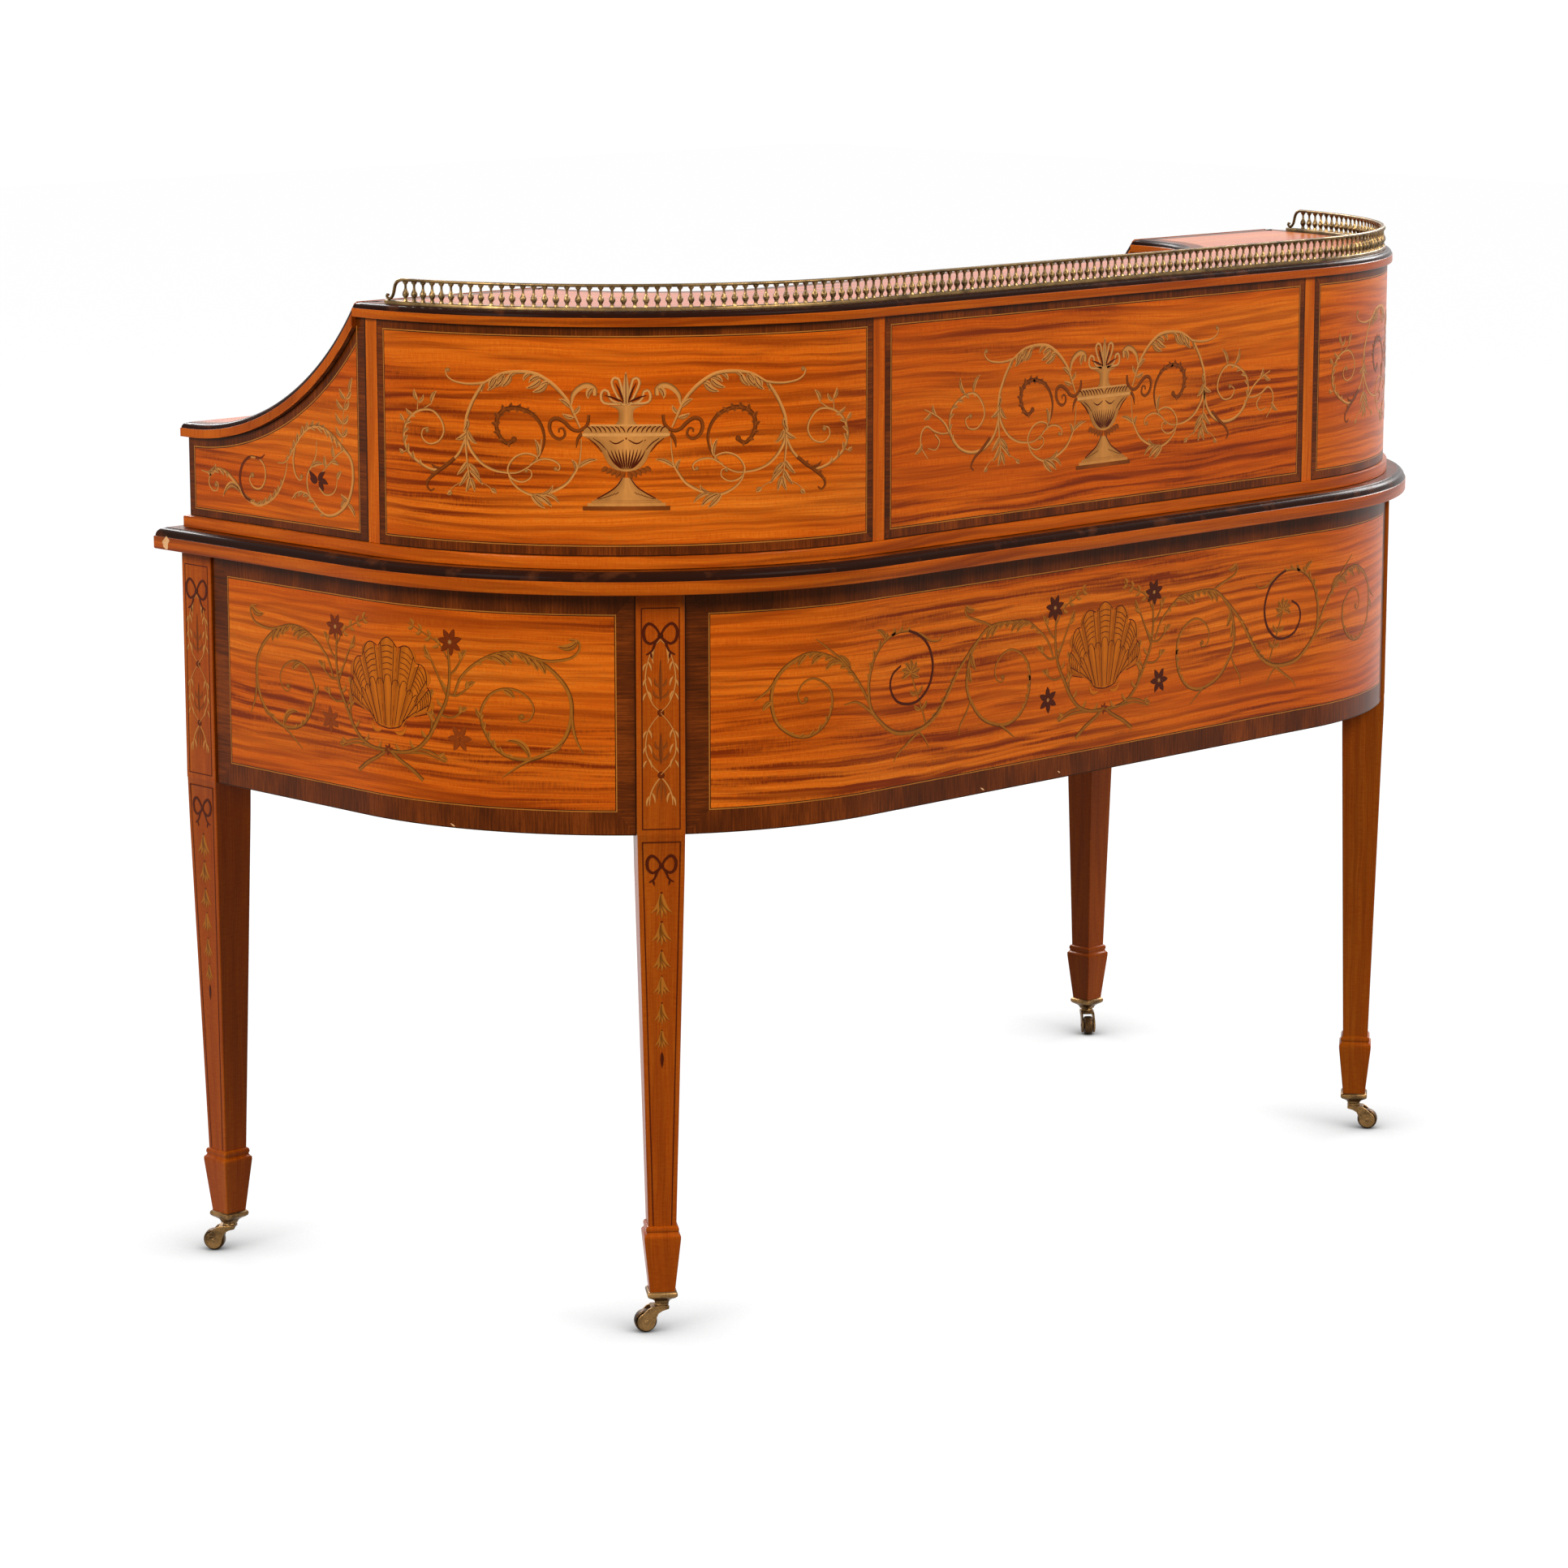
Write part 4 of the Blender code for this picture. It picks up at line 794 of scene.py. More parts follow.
    def disc(self, centre, radius, wood=None):
        wood = wood or self.wood
        depth = self.lift(wood)
        centre = Vector(centre)
        turns = [2 * pi * i / DISC_SIDES for i in range(DISC_SIDES)]
        ring = [centre + Vector((radius * cos(t), radius * sin(t))) for t in turns]
        top = [self.set(p, depth, DISC_SCORCH + 0.4) for p in ring]
        low = [self.set(p, INLAY_SUNK, DISC_SCORCH) for p in ring]
        hub = self.set(centre, depth, DISC_SCORCH)
        for i in range(DISC_SIDES):
            j = (i + 1) % DISC_SIDES
            self.piece.face([hub, top[i], top[j]], wood, [(0, 0)] * 3)
            self.piece.face([top[i], low[i], low[j], top[j]], wood, [(0, 0)] * 4)
        self.piece.face(list(reversed(low)), wood, [(0, 0)] * DISC_SIDES)

    def flower(self, centre, radius, petals, wood, eye, turn=0.3):
        centre = Vector(centre)
        for i in range(petals):
            angle = turn + 2 * pi * i / petals
            way = Vector((cos(angle), sin(angle)))
            self.leaf(centre + way * radius * 0.12, centre + way * radius, radius * 0.46,
                      0.0, wood, PETAL_SHADE, False)
        self.disc(centre, radius * 0.15, eye)

    def sides(self, draw):
        """Draws a half design, then its mirror."""
        for self.flip in (1, -1):
            draw(self)
        self.flip = 1

    def done(self, body="desk"):
        return self.piece.done(body, "satinwood", crease=INLAY_CREASE)


# Friezes and the panels of the raised back

# Widths of the crossbands, and of the dark joints outside them; on the wings the top joint is painted
# shade under the lid, and the rear one is painted shade of the gap at the stile
FRIEZE_BANDS = {"low": 0.0205, "high": 0.0182, "leg": 0.0161, "front": 0.0210, "back": 0.0207}
PANEL_BANDS = {"low": 0.0077, "high": 0.0067, "corner": 0.0070, "back": 0.0065}
CORNER_STILE = 0.0148
WING_BANDS = {"low": 0.0064, "high": 0.0072, "front": 0.0074, "rear": 0.0100}
WING_JOINTS_AND_SHADE = {"low": 0.0008, "high": 0.0008, "front": 0.0004, "rear": 0.0016}
TABLE_BAND, UPPER_BAND, LID_BAND = 0.024, 0.014, 0.011
DOOR_BAND, DOOR_JOINT = 0.012, 0.0004
DRAWER_BAND, SMALL_DRAWER_BAND, DRAWER_JOINT = 0.014, 0.007, 0.0005


def add_friezes():
    turn = asin((LEG_HALF + GAP) / CORNER_RADIUS)
    edge = {name: border(width) for name, width in FRIEZE_BANDS.items()}
    rows = level_rows(FRIEZE_BOTTOM, FRIEZE_TOP, edge["low"], edge["high"])
    rear = FRIEZE_LINE.run_at(REAR_LEG_ANGLE - turn)
    front = FRIEZE_LINE.run_to(FRIEZE_FRONT)
    spans = {"right": strips(rear, front, edge["leg"], edge["front"], CURVED_PITCH),
             "left": strips(-front, -rear, edge["front"], edge["leg"], CURVED_PITCH)}
    for side, hand in HANDS:
        veneered_board(f"{hand}_frieze_veneered", FRIEZE_LINE.place, spans[hand], rows, FRIEZE_THICK,
                       "desk", f"{hand}_frieze", seed=1.7 * side)
    half = FRIEZE_LINE.run_at(REAR_LEG_ANGLE + turn)
    columns = strips(-half, half, edge["back"], edge["back"], CURVED_PITCH)
    veneered_board("back_frieze_veneered", FRIEZE_LINE.place, columns, rows, FRIEZE_THICK,
                   "desk", "back_frieze", seed=4.1)


CORNER_START = BACK_PANEL_HALF + GAP
CORNER_END = PANEL_LINE.run_to(STILE_Y + GAP)
CORNER_MIDDLE = (CORNER_START + CORNER_END) / 2


def add_upper_panels():
    low, high, back = (border(PANEL_BANDS[name]) for name in ("low", "high", "back"))
    rows = level_rows(PANEL_BOTTOM, PANEL_TOP, low, high)
    edge = border(PANEL_BANDS["corner"], stile=CORNER_STILE)
    for side, hand in HANDS:
        ends = sorted((side * CORNER_START, side * CORNER_END))
        columns = strips(*ends, edge, edge, CURVED_PITCH)
        veneered_board(f"{hand}_corner_panel_veneered", PANEL_LINE.place, columns, rows, PANEL_THICK,
                       "desk", f"{hand}_corner_panel", seed=2.9 * side)
    columns = strips(-BACK_PANEL_HALF, BACK_PANEL_HALF, back, back, FLAT_PITCH)
    veneered_board("upper_back_panel_veneered", PANEL_LINE.place, columns, rows, PANEL_THICK,
                   "desk", "upper_back_panel", seed=6.3)


# The swept line of the wing lids
LID_THICK = 0.0135
LID_FRONT = LID_LOW_CORNER.y
LID_LOW = LID_LOW_CORNER.z + LID_THICK
LID_FLAT = 0.014
LID_START = LID_FRONT + LID_FLAT
LID_RUN = UPPER_LOW.y - GAP - LID_START
LID_RISE = UPPER_HIGH.z - LID_LOW
LID_RADIUS = (LID_RUN**2 + LID_RISE**2) / (2 * LID_RISE)


def lid_line(depth, steps=36):
    """The swept top of a wing as (y, z), from its front end, lowered by depth at right angles to it."""
    lowered = LID_RADIUS + depth
    sweep = pi / 2 - acos(LID_RUN / lowered)
    turns = [sweep * i / steps for i in range(steps + 1)]
    arc = [(LID_START + lowered * sin(t), LID_LOW + LID_RADIUS - lowered * cos(t)) for t in turns]
    return [(LID_FRONT, LID_LOW - depth)] + arc


def under_lid(y):
    """The height under the lid, and how much a strip along it is stretched upright by the slope."""
    depth = LID_THICK + GAP
    if y > UPPER_LOW.y:
        return PANEL_TOP, 1.0
    if y <= LID_START:
        return LID_LOW - depth, 1.0
    drop = sqrt((LID_RADIUS + depth) ** 2 - (y - LID_START) ** 2)
    return LID_LOW + LID_RADIUS - drop, (LID_RADIUS + depth) / drop


def add_wing_sides():
    # The dark strips along the wing's top and rear edges are painted shade, under the lid and in the
    # gap at the stile.
    near, far, front, rear = (border(WING_BANDS[name], joint=WING_JOINTS_AND_SHADE[name]) for name in WING_BANDS)

    def heights(y):
        top, stretch = under_lid(y)
        low, high = [PANEL_BOTTOM], [top]
        for _, width in near:
            low.append(low[-1] + width)
        for _, width in far:
            high.append(high[-1] - width * stretch)
        return low + list(reversed(high))

    kinds = [kind for kind, _ in near] + ["field"] + [kind for kind, _ in reversed(far)]
    columns = strips(WING_FRONT, STILE_Y, front, rear, WING_PITCH)
    for side, hand in HANDS:
        place = lambda y, z, depth: Vector((side * (PANEL_X - depth), y, z))
        veneered_board(f"{hand}_wing_side_veneered", place, columns, (heights, kinds), PANEL_THICK,
                       "desk", f"{hand}_wing_side", seed=7.7 * side)


add_friezes()
add_upper_panels()
add_wing_sides()


# Marquetry of the raised back: an urn between leafy scrolls

# The urn from its foot up: wood, browning, step of a curved part, and (height, half width)
URN = [(WALNUT, (0.5, 0.1, 0.5), None, [(-61, 39), (-57.2, 39)]),
       (BOXWOOD, (0.1, 0.0, 0.1), None, [(-57.2, 35), (-54.4, 35)]),
       (BOXWOOD, (0.3, 0.1, 0.3), None, [(-54.2, 31.5), (-52.2, 31)]),
       (BOXWOOD, (0.45, 0.0, 0.35), 2.0, [(-52.0, 29), (-50, 26), (-45.4, 18), (-40.8, 11), (-36, 7.2),
           (-31.6, 4.4)]),
       (BOXWOOD, (0.4, 0.0, 0.3), 2.0, [(-26, 3), (-24.6, 9), (-21, 14.2), (-16, 17.8), (-10, 20.6),
           (-4, 24), (0.5, 28.6), (3.4, 33.5), (5.4, 38.5)]),
       (HOLLY, INK, None, [(5.4, 39), (8.0, 39)]),
       (BOXWOOD, (0.3, 0.1, 0.3), None, [(8.0, 38.5), (11, 37.5), (14.6, 33)]),
       (HOLLY, (0.1, 0.0, 0.1), None, [(14.6, 32.5), (16.0, 31.5)]),
       (BOXWOOD, (0.5, 0.0, 0.3), 1.6, [(16, 10), (18.5, 7.4), (22, 6.4), (27, 6.6), (30, 8.4),
           (31.8, 12.5), (32.8, 16.5)])]


def draw_urn(m):
    for wood, scorch, step, rows in URN:
        path = [Vector((0, y, 2 * half)) for y, half in rows]
        m.ribbon(flowing(path, step) if step else path, wood, scorch)
    for i in range(11):
        t = (i - 5) / 5
        m.leaf((5.0 * t, -24.6 + 1.2 * t * t), (17.0 * t, -6.0 - 0.6 * t * t), 1.7, -0.07 * t, DARK,
            INK, False)
    for sign in (-1, 1):
        m.stroke([(sign * 2, 2.4), (sign * 7, -0.6), (sign * 11, -0.8), (sign * 15, 1.8)],
            0.7, 0.5, 0.7, DARK, INK)
        m.disc((sign * 16.5, 2.0), 1.0, WALNUT)
        for shift in (0.0, 4.0):
            m.stroke([(sign * (33.5 - shift), 3.6), (sign * (27 - shift), -2.0 + 0.3 * shift),
                (sign * (21.6 - shift), -8.6 + 0.5 * shift)], 0.5, 0.5, 0.5, DARK, INK)
        for i in range(5):
            m.leaf((sign * (1.0 + 3.8 * i), -26.5 + 1.0 * i), (sign * (4.5 + 4.4 * i), -33.5 + 1.8 * i),
                4.4, 0.1 * sign, WALNUT, rib=False)
        m.stroke([(sign * 26, -50.4), (sign * 17, -45.2), (sign * 10, -40.4), (sign * 6.2, -36),
            (sign * 3.6, -31.8)], 1.1, 0.8, 0.2, DARK, INK)
        for i in range(6):
            x = 9.5 + 2.9 * i
            m.stroke([(sign * (x - 2.4), -44.5 - 1.1 * i), (sign * (x + 0.4), -46.6 - 0.85 * i)],
                0.6, 0.5, wood=DARK, scorch=INK)
        for i in range(8):
            x = 3.4 + 4.2 * i
            m.stroke([(sign * (x - 2.4), 9.0), (sign * (x - 0.6), 12.6), (sign * (x + 2.0), 14.2)],
                0.6, 0.9, 0.5, DARK, INK)
        for reach, y, swing in ((9.5, 57.5, 5.4), (19, 46.5, 6.2)):
            x = sign * reach
            m.stroke([(sign * 1.2, 33), (x - sign * swing, y - 9), (x - sign * 3.0, y - 1.2), (x, y),
                (x + sign * 2.8, y - 3.5), (x + sign * 0.6, y - 11), (sign * 3.6, 34.2)],
                1.9, 1.9, 0.6, HOLLY, (0.7, 0.0, 0.1))
            m.leaf((sign * 2.0, 35.5), (x - sign * 0.4, y - 4.6), 1.9, 0.03 * sign, DARK, INK, False)
    m.leaf((0, 32.5), (0, 63), 5.6, 0.0, HOLLY, (0.3, 0.0, 0.3))
    m.disc((0, 3.4), 1.0, WALNUT)


def draw_urn_scroll(m):
    """The half of the design on the left of the urn."""
    top = [(-41, 13), (-46, 24), (-51, 35), (-58, 44), (-68, 53), (-81, 60), (-97, 61.5), (-114, 59),
        (-129, 51)]
    m.stroke([(-33, 24.5), (-34, 17), (-38, 12), (-43, 10), (-49, 12), (-54, 17), (-61, 21), (-67, 19),
        (-68.5, 12), (-65, 5), (-59, 2.5), (-54.5, 6), (-56, 12), (-60, 11.5), (-60, 8.5)],
        2.2, 1.4, 1.3, WALNUT, BROWNED)
    m.stroke([(-39, 8), (-43, 3), (-44.5, -5)], 3.2, 0.6, 0.6, WALNUT, BROWNED)
    m.stroke(top, 1.6, 2.0, 1.5)
    m.acanthus(top, 4.6, 13, 9, 1, 0.72, 1.0, 0.5)
    m.acanthus(top, 4.8, 13, 9, 1, 0.42, 0.60, 0.62)
    m.leaves((((-70, 53), (-84, 44)), ((-76, 56), (-90, 47.5)), ((-104, 60), (-113, 48)),
        ((-110, 59.5), (-120, 47)), ((-117, 57), (-127, 44))), 5.2, 0.12, rib=True)
    m.stroke([(-129, 51), (-140, 49.5), (-150, 49.5), (-161, 51.5), (-167.5, 56), (-168.5, 61),
        (-165.5, 62.5)], 2.4, 1.2)
    m.disc((-166, 61), 2.2)
    m.leaf((-49, 30), (-60, 38), 4.5, -0.12, rib=True)
    m.leaf((-46, 22), (-57, 25.5), 4.2, 0.12)
    m.leaf((-47, 25), (-41, 33), 3.6, -0.1)
    m.stroke([(-49, 33), (-47, 42), (-41, 48.5), (-33.5, 50.8), (-27.5, 47.5), (-27.5, 41.5)],
        1.6, 3.0, 2.2)
    m.leaf((-28, 49), (-33.5, 38.5), 5.2, -0.2, rib=True)
    ring = [(-131, 49), (-137.5, 40), (-143, 30), (-147.5, 18), (-148, 3), (-143, -10), (-133, -21),
        (-120.5, -27), (-107, -29)]
    m.stroke(ring, 2.8, 1.6, 0.6)
    m.leaf((-146, 8), (-137, -4), 4.4, -0.15, rib=True)
    m.leaf((-147, 6), (-159, -1), 4.4, 0.12, rib=True)
    m.leaf((-146, 18), (-151, 6), 4.4, 0.1)
    m.stroke([(-148, 16), (-148.5, -4), (-147, -20), (-145, -37)], 2.4, 1.2)
    for root, tip, width in (((-147, -20), (-158, -33), 4.4), ((-146.5, -22), (-135, -34), 4.4),
            ((-146, -28), (-156, -43), 4.0), ((-145.5, -28), (-132, -41), 4.0),
            ((-145, -34), (-149, -48), 4.2), ((-145, -34), (-140, -48), 4.0)):
        m.leaf(root, tip, width, 0.06, rib=True)
    for root, tip in (((-155, -40), (-168.5, -51)), ((-135, -38), (-119, -48))):
        m.stroke([root, ((root[0] + tip[0]) / 2, (root[1] + tip[1]) / 2 + 1.5), tip], 0.7, 0.7)
        m.leaf(((root[0] + 2 * tip[0]) / 3, (root[1] + 2 * tip[1]) / 3), tip, 4.4)
    small = [(-107, -29), (-98, -28), (-87, -22), (-80, -14), (-77, -6), (-76, 2)]
    m.stroke(small, 1.6, 0.8)
    m.leaf((-79, -14), (-82.5, 2), 3.8, -0.12)
    m.stroke([(-86, -21), (-80, -14.5), (-90, -11), (-101, -15), (-107.5, -25), (-104, -33.5),
        (-94, -36.5), (-86, -32), (-86.5, -26), (-91, -25.5)], 1.4, 0.9, 0.5)
    m.disc((-90.5, -26.5), 1.7)
    m.stroke([(-87, -21), (-76, -15.5), (-65.5, -16.5), (-59.5, -21), (-60.5, -25.5), (-64, -25.5)],
        1.4, 1.0, 0.5)
    m.disc((-63.2, -24.2), 1.9)
    low = [(-107.5, -26), (-105, -35), (-97, -43), (-84, -48), (-68, -45), (-54, -37.5), (-46, -27),
        (-42, -19.5)]
    m.stroke(low, 1.2, 1.8, 0.9)
    m.leaf((-84, -47.5), (-67, -58.5), 5.6, 0.1, rib=True)
    m.leaf((-86, -47), (-73, -60), 4.6, -0.05)
    m.leaf((-74, -47), (-60, -55.5), 3.4)
    m.leaf((-78, -47.5), (-66, -38.5), 3.8, -0.2)
    m.leaf((-45, -26), (-49, -15.5), 3.4, -0.15, rib=True)
    m.leaf((-43, -23), (-25.5, -15.5), 3.8, 0.12, rib=True)
    m.stroke([(-42, -19.5), (-40.5, -8), (-40, 3)], 1.4, 0.7)
    dark = [(-101, 1), (-108, -2.5), (-114.5, 3), (-118, 12), (-116.5, 21), (-110, 27.5), (-99, 29.5),
        (-86, 25.5), (-77.5, 17), (-73.5, 6), (-74.5, -5), (-79, -15)]
    m.stroke(dark, 3.0, 1.0, 1.4, WALNUT, (0.9, 0.3, 0.6))
    m.acanthus(dark, 3.4, 6.5, 7, 1, 0.05, 0.62, 0.6, WALNUT)
    m.acanthus(dark, 3.0, 5.5, 8, -1, 0.1, 0.62, 0.6, WALNUT)
    m.disc((-101.5, 1.5), 2.6, WALNUT)


def draw_outer_loop(m):
    """The loop that ends the corner design."""
    loop = [(-148, 1), (-156, -14), (-169, -25), (-182, -30), (-198, -24.5), (-211, -15), (-216, -2),
        (-212, 12), (-200, 22), (-184, 24), (-174, 16), (-171, 5.5), (-177, -4), (-188, -6.5),
        (-195, -1), (-194, 6), (-188, 8)]
    m.stroke(loop, 2.4, 1.2, 0.5)
    m.disc((-189, 5.5), 2.2)
    m.acanthus(loop, 3.6, 8.5, 9, -1, 0.30, 0.56, 0.55)
    for root, mid, tip in (((-200, 22), (-199, 32), (-203, 42)), ((-194, 24), (-184, 30), (-178, 41.5)),
            ((-214, 7), (-215, 13), (-219.5, 19)), ((-212, -14), (-216, -16), (-221, -13))):
        m.stroke([root, mid], 1.2, 1.0)
        m.leaf(mid, tip, 4.0, rib=True)
    m.leaf((-199, 30), (-192.5, 37.5), 3.2, -0.15)
    m.leaf((-205, 19), (-213, 24), 3.2)
    m.stroke([(-160, -18), (-169, -25), (-179, -31.5), (-188, -39), (-190, -45), (-186, -49),
        (-182, -46.5)], 3.0, 1.2, 0.8, WALNUT, BROWNED)
    m.acanthus([(-166, -22), (-180, -32), (-189, -42)], 3.0, 6, 7, -1, 0.1, 0.9, 0.6, WALNUT)
    m.leaf((-172, -27), (-186, -23), 3.2, 0.2, WALNUT)


def draw_long_end(m):
    """The wider end of the middle panel's design."""
    m.stroke([(-147, 2), (-153, -16), (-165, -28), (-183, -32), (-201, -27), (-214, -13), (-222, -2),
        (-233, 6), (-249, 13)], 2.4, 1.0, 1.0)
    spiral = [(-203, -26), (-211, -18), (-215.5, -4), (-212.5, 10), (-200, 20), (-183, 23.5),
        (-171.5, 14), (-168, 1), (-177, -9.5), (-189, -9), (-194, -1), (-186, 4)]
    m.stroke(spiral, 2.0, 1.2, 0.5)
    m.disc((-187, 2.2), 2.2)
    m.acanthus(spiral, 3.4, 8, 9, -1, 0.08, 0.5, 0.55)
    m.leaves((((-194, 23), (-201, 39)), ((-183, 24), (-174, 40)), ((-233, 6), (-238, 17)),
        ((-240, 10), (-250, 4))), 4.0, rib=True)
    m.stroke([(-216, -11), (-226, -11), (-236, -8), (-246, -3), (-253, -9), (-253, -21), (-244, -33)],
        1.4, 0.8, 0.7)
    m.stroke([(-244, -23), (-234, -25), (-229, -18), (-235, -11)], 0.8, 1.4, 0.4)
    m.leaf((-252, -18), (-262, -27), 4.0, rib=True)
    m.stroke([(-160, -20), (-170, -29), (-181, -37), (-186, -45), (-182, -49)],
        2.6, 1.2, 0.8, WALNUT, BROWNED)


def add_upper_marquetry():
    middle_z = (PANEL_BOTTOM + PANEL_TOP) / 2
    for name, centre, ending in (("right_corner_urn", CORNER_MIDDLE, draw_outer_loop),
                                 ("left_corner_urn", -CORNER_MIDDLE, draw_outer_loop),
                                 ("back_panel_urn", 0.0, draw_long_end)):
        m = Marquetry(name, lambda x, y, depth: PANEL_LINE.place(centre - x, middle_z + y, depth))
        m.bold = UPPER_BOLD
        m.sides(draw_urn_scroll)
        m.sides(ending)
        m.bold = 1.0
        draw_urn(m)
        m.done()


def draw_wing_scroll(m):
    """Drawn in the wing's own y and z."""
    first = [(-272, 769), (-261, 768), (-248.5, 772.5), (-235, 770.5), (-221, 762), (-211, 753),
        (-200, 747), (-187, 744), (-173, 748), (-160, 756), (-151, 767), (-146, 777), (-143, 787)]
    m.stroke(first, 1.0, 1.0, 2.4)
    m.acanthus(first, 4.2, 9, 8, -1, 0.06, 0.24, 0.5)
    m.acanthus(first, 4.4, 10, 8, 1, 0.52, 0.85, 0.45)
    m.leaf((-262, 768), (-250, 777), 5.0, -0.2, rib=True)
    m.stroke([(-252, 771), (-259, 765), (-260.5, 757), (-255, 751.5), (-248.5, 752.5), (-247, 758),
        (-250.5, 760)], 1.4, 1.0, 0.4)
    m.disc((-250.3, 757), 2.6)
    ring = [(-197, 746), (-207, 750), (-213, 760), (-213.5, 770), (-208, 781.5), (-197, 788),
        (-184, 787), (-176, 779), (-176.5, 767), (-184, 759), (-194, 759.5), (-199.5, 766), (-196, 773)]
    m.stroke(ring[:7], 2.2, 1.8, 0.6, TULIP, (0.9, 0.3, 0.5))
    m.stroke(ring[5:], 1.6, 1.4, 0.3)
    m.disc((-195, 771), 2.8)
    m.stroke([(-190, 788), (-182, 788), (-176, 792)], 2.4, 0.6, 0.4, TULIP)
    m.leaf((-211, 752), (-240, 746), 5.0, -0.35, rib=True)
    m.leaf((-214, 754), (-231, 759), 3.4, -0.2)
    second = [(-157, 786), (-147, 787), (-139, 794), (-131, 804), (-122, 814), (-110.5, 822),
        (-97.5, 824.5), (-85, 822), (-72, 815), (-60, 806), (-51.5, 799), (-48, 789), (-48.5, 776),
        (-54, 761), (-62, 752), (-74, 745), (-87, 743), (-97.5, 747), (-108, 756), (-118, 761),
        (-129, 760.5), (-137, 754)]
    m.stroke(second, 1.0, 1.0, 2.0)
    m.acanthus(second, 4.6, 10, 8, 1, 0.05, 0.30, 0.45)
    m.acanthus(second, 4.4, 11, 8, -1, 0.24, 0.42, 0.5)
    m.acanthus(second, 4.2, 9, 8, 1, 0.80, 0.97, 0.5)
    m.stroke([(-109, 756), (-114, 766), (-114, 778), (-107, 788), (-101, 798), (-99.5, 811)],
        1.6, 0.8, 0.8)
    m.leaf((-108, 786), (-90, 790), 4.2, 0.12)
    m.stroke([(-131, 802), (-134, 790), (-131.5, 778), (-125.5, 772.5), (-121.5, 774.5)], 2.2, 1.2, 0.4)
    m.disc((-122.5, 776), 2.4)
    m.stroke([(-63, 812), (-61.5, 826), (-60, 840), (-56, 853), (-49, 864)], 1.2, 0.6)
    for y, z, reach in ((-62.5, 818, 9), (-61.5, 830, 10), (-60, 843, 10), (-56.5, 853, 9)):
        m.leaf((y, z), (y - reach, z + 9), 4.0, rib=True)
        m.leaf((y, z), (y + 0.8 * reach, z + 9), 4.0, -0.15, rib=True)
    m.leaf((-51, 860), (-46.5, 873), 4.0, 0.1, rib=True)
    m.leaves((((-99, 775), (-111, 783)), ((-98, 774), (-88, 783)), ((-97, 774), (-84, 772)),
        ((-98, 773), (-91, 765)), ((-99, 774), (-110, 776))), 4.6, 0.1, DARK)
    m.stroke([(-97, 768), (-89, 762.5), (-79, 763.5), (-73, 769), (-71, 777)], 1.4, 0.9, 0.4)
    m.stroke([(-92, 783), (-80, 792.5), (-69, 801), (-60, 806)], 1.0, 1.0, 0.6)
    m.leaves((((-86, 787), (-88, 799)), ((-79, 793), (-68, 791)), ((-74, 797), (-76, 809)),
        ((-71, 777), (-64, 786)), ((-66, 752), (-57, 760)), ((-57, 757), (-46, 745)),
        ((-55, 760), (-66, 765))), 4.0, 0.12, rib=True)


def add_wing_marquetry():
    for side, hand in HANDS:
        place = lambda y, z, depth: Vector((side * (PANEL_X - depth), y, z))
        m = Marquetry(f"{hand}_wing_scroll", place)
        m.bold = WING_BOLD
        draw_wing_scroll(m)
        m.done()


# Marquetry of the friezes: a shell among sprigs, with scrolls

def draw_shell(m, half, low, high):
    """A scallop from a hinge at low to a rim at high.

    It has hatched lobes, ribs between them, and flutes over the hinge."""
    middle, base = 0.26 * high - 7, 0.36 * half
    lobes, flutes, spread = 7, 11, radians(106)

    def at(turn, share):
        angle = turn * spread
        rim = Vector((half * sin(angle), middle + (high - middle) * cos(angle)))
        foot = Vector((base * sin(angle), low + 0.5 * base * (1 - cos(angle * 0.9))))
        return foot + (rim - foot) * share

    step = 1 / lobes
    for i in range(lobes):
        turn = (2 * i + 1) * step - 1
        path = []
        for share, wide in ((0.0, 0.9), (0.2, 0.98), (0.4, 0.98), (0.6, 0.98), (0.8, 0.98),
                (0.91, 0.94), (0.97, 0.74), (1.02, 0.34)):
            spot = at(turn, share)
            path.append(Vector((spot.x, spot.y, wide * (at(turn + step, share) - at(turn - step,
                share)).length)))
        m.ribbon(path, AMBER, (0.5, 0.1, 0.3))
        for k in range(5):
            share = 0.66 + 0.066 * k
            m.stroke([at(turn - 0.56 * step, share), at(turn, share + 0.012),
                at(turn + 0.56 * step, share)], 0.7, 0.7, wood=DARK, scorch=INK)
        m.stroke([at(turn - 0.92 * step, 0.94), at(turn - 0.45 * step, 1.0), at(turn, 1.025),
            at(turn + 0.45 * step, 1.0), at(turn + 0.92 * step, 0.94)], 0.7, 0.7, 0.2, DARK, INK)
    for i in range(lobes + 1):
        turn = max(-0.98, min(0.98, 2 * i * step - 1))
        for off in (-0.34, 0.34):
            m.stroke([at(turn + off * step, 0.5), at(turn + off * step, 0.75),
                at(turn + off * step, 0.965)], 0.5, 0.8, 0.1, DARK, INK)
    for i in range(flutes + 1):
        turn = 0.9 * (2 * i / flutes - 1)
        m.stroke([at(turn, 0.03), at(turn, 0.28), at(turn, 0.5)], 0.6, 0.7, 0.1, DARK, INK)
        if i < flutes:
            ahead = 1.8 / flutes
            top = 0.56 + 0.04 * (i % 2)
            m.stroke([at(turn, 0.5), at(turn + 0.25 * ahead, top), at(turn + 0.75 * ahead, top),
                at(turn + ahead, 0.5)], 0.6, 0.6, 0.1, DARK, INK)
    m.stroke([at(-0.9, 0.02), at(-0.5, 0.0), at(0.0, 0.0), at(0.5, 0.0), at(0.9, 0.02)],
        0.7, 0.7, 0.3, DARK, INK)
    for sign in (-1, 1):
        m.leaf((sign * 8, low - 2), (sign * 22, low + 5), 4.0, 0.3 * -sign, AMBER, rib=False)


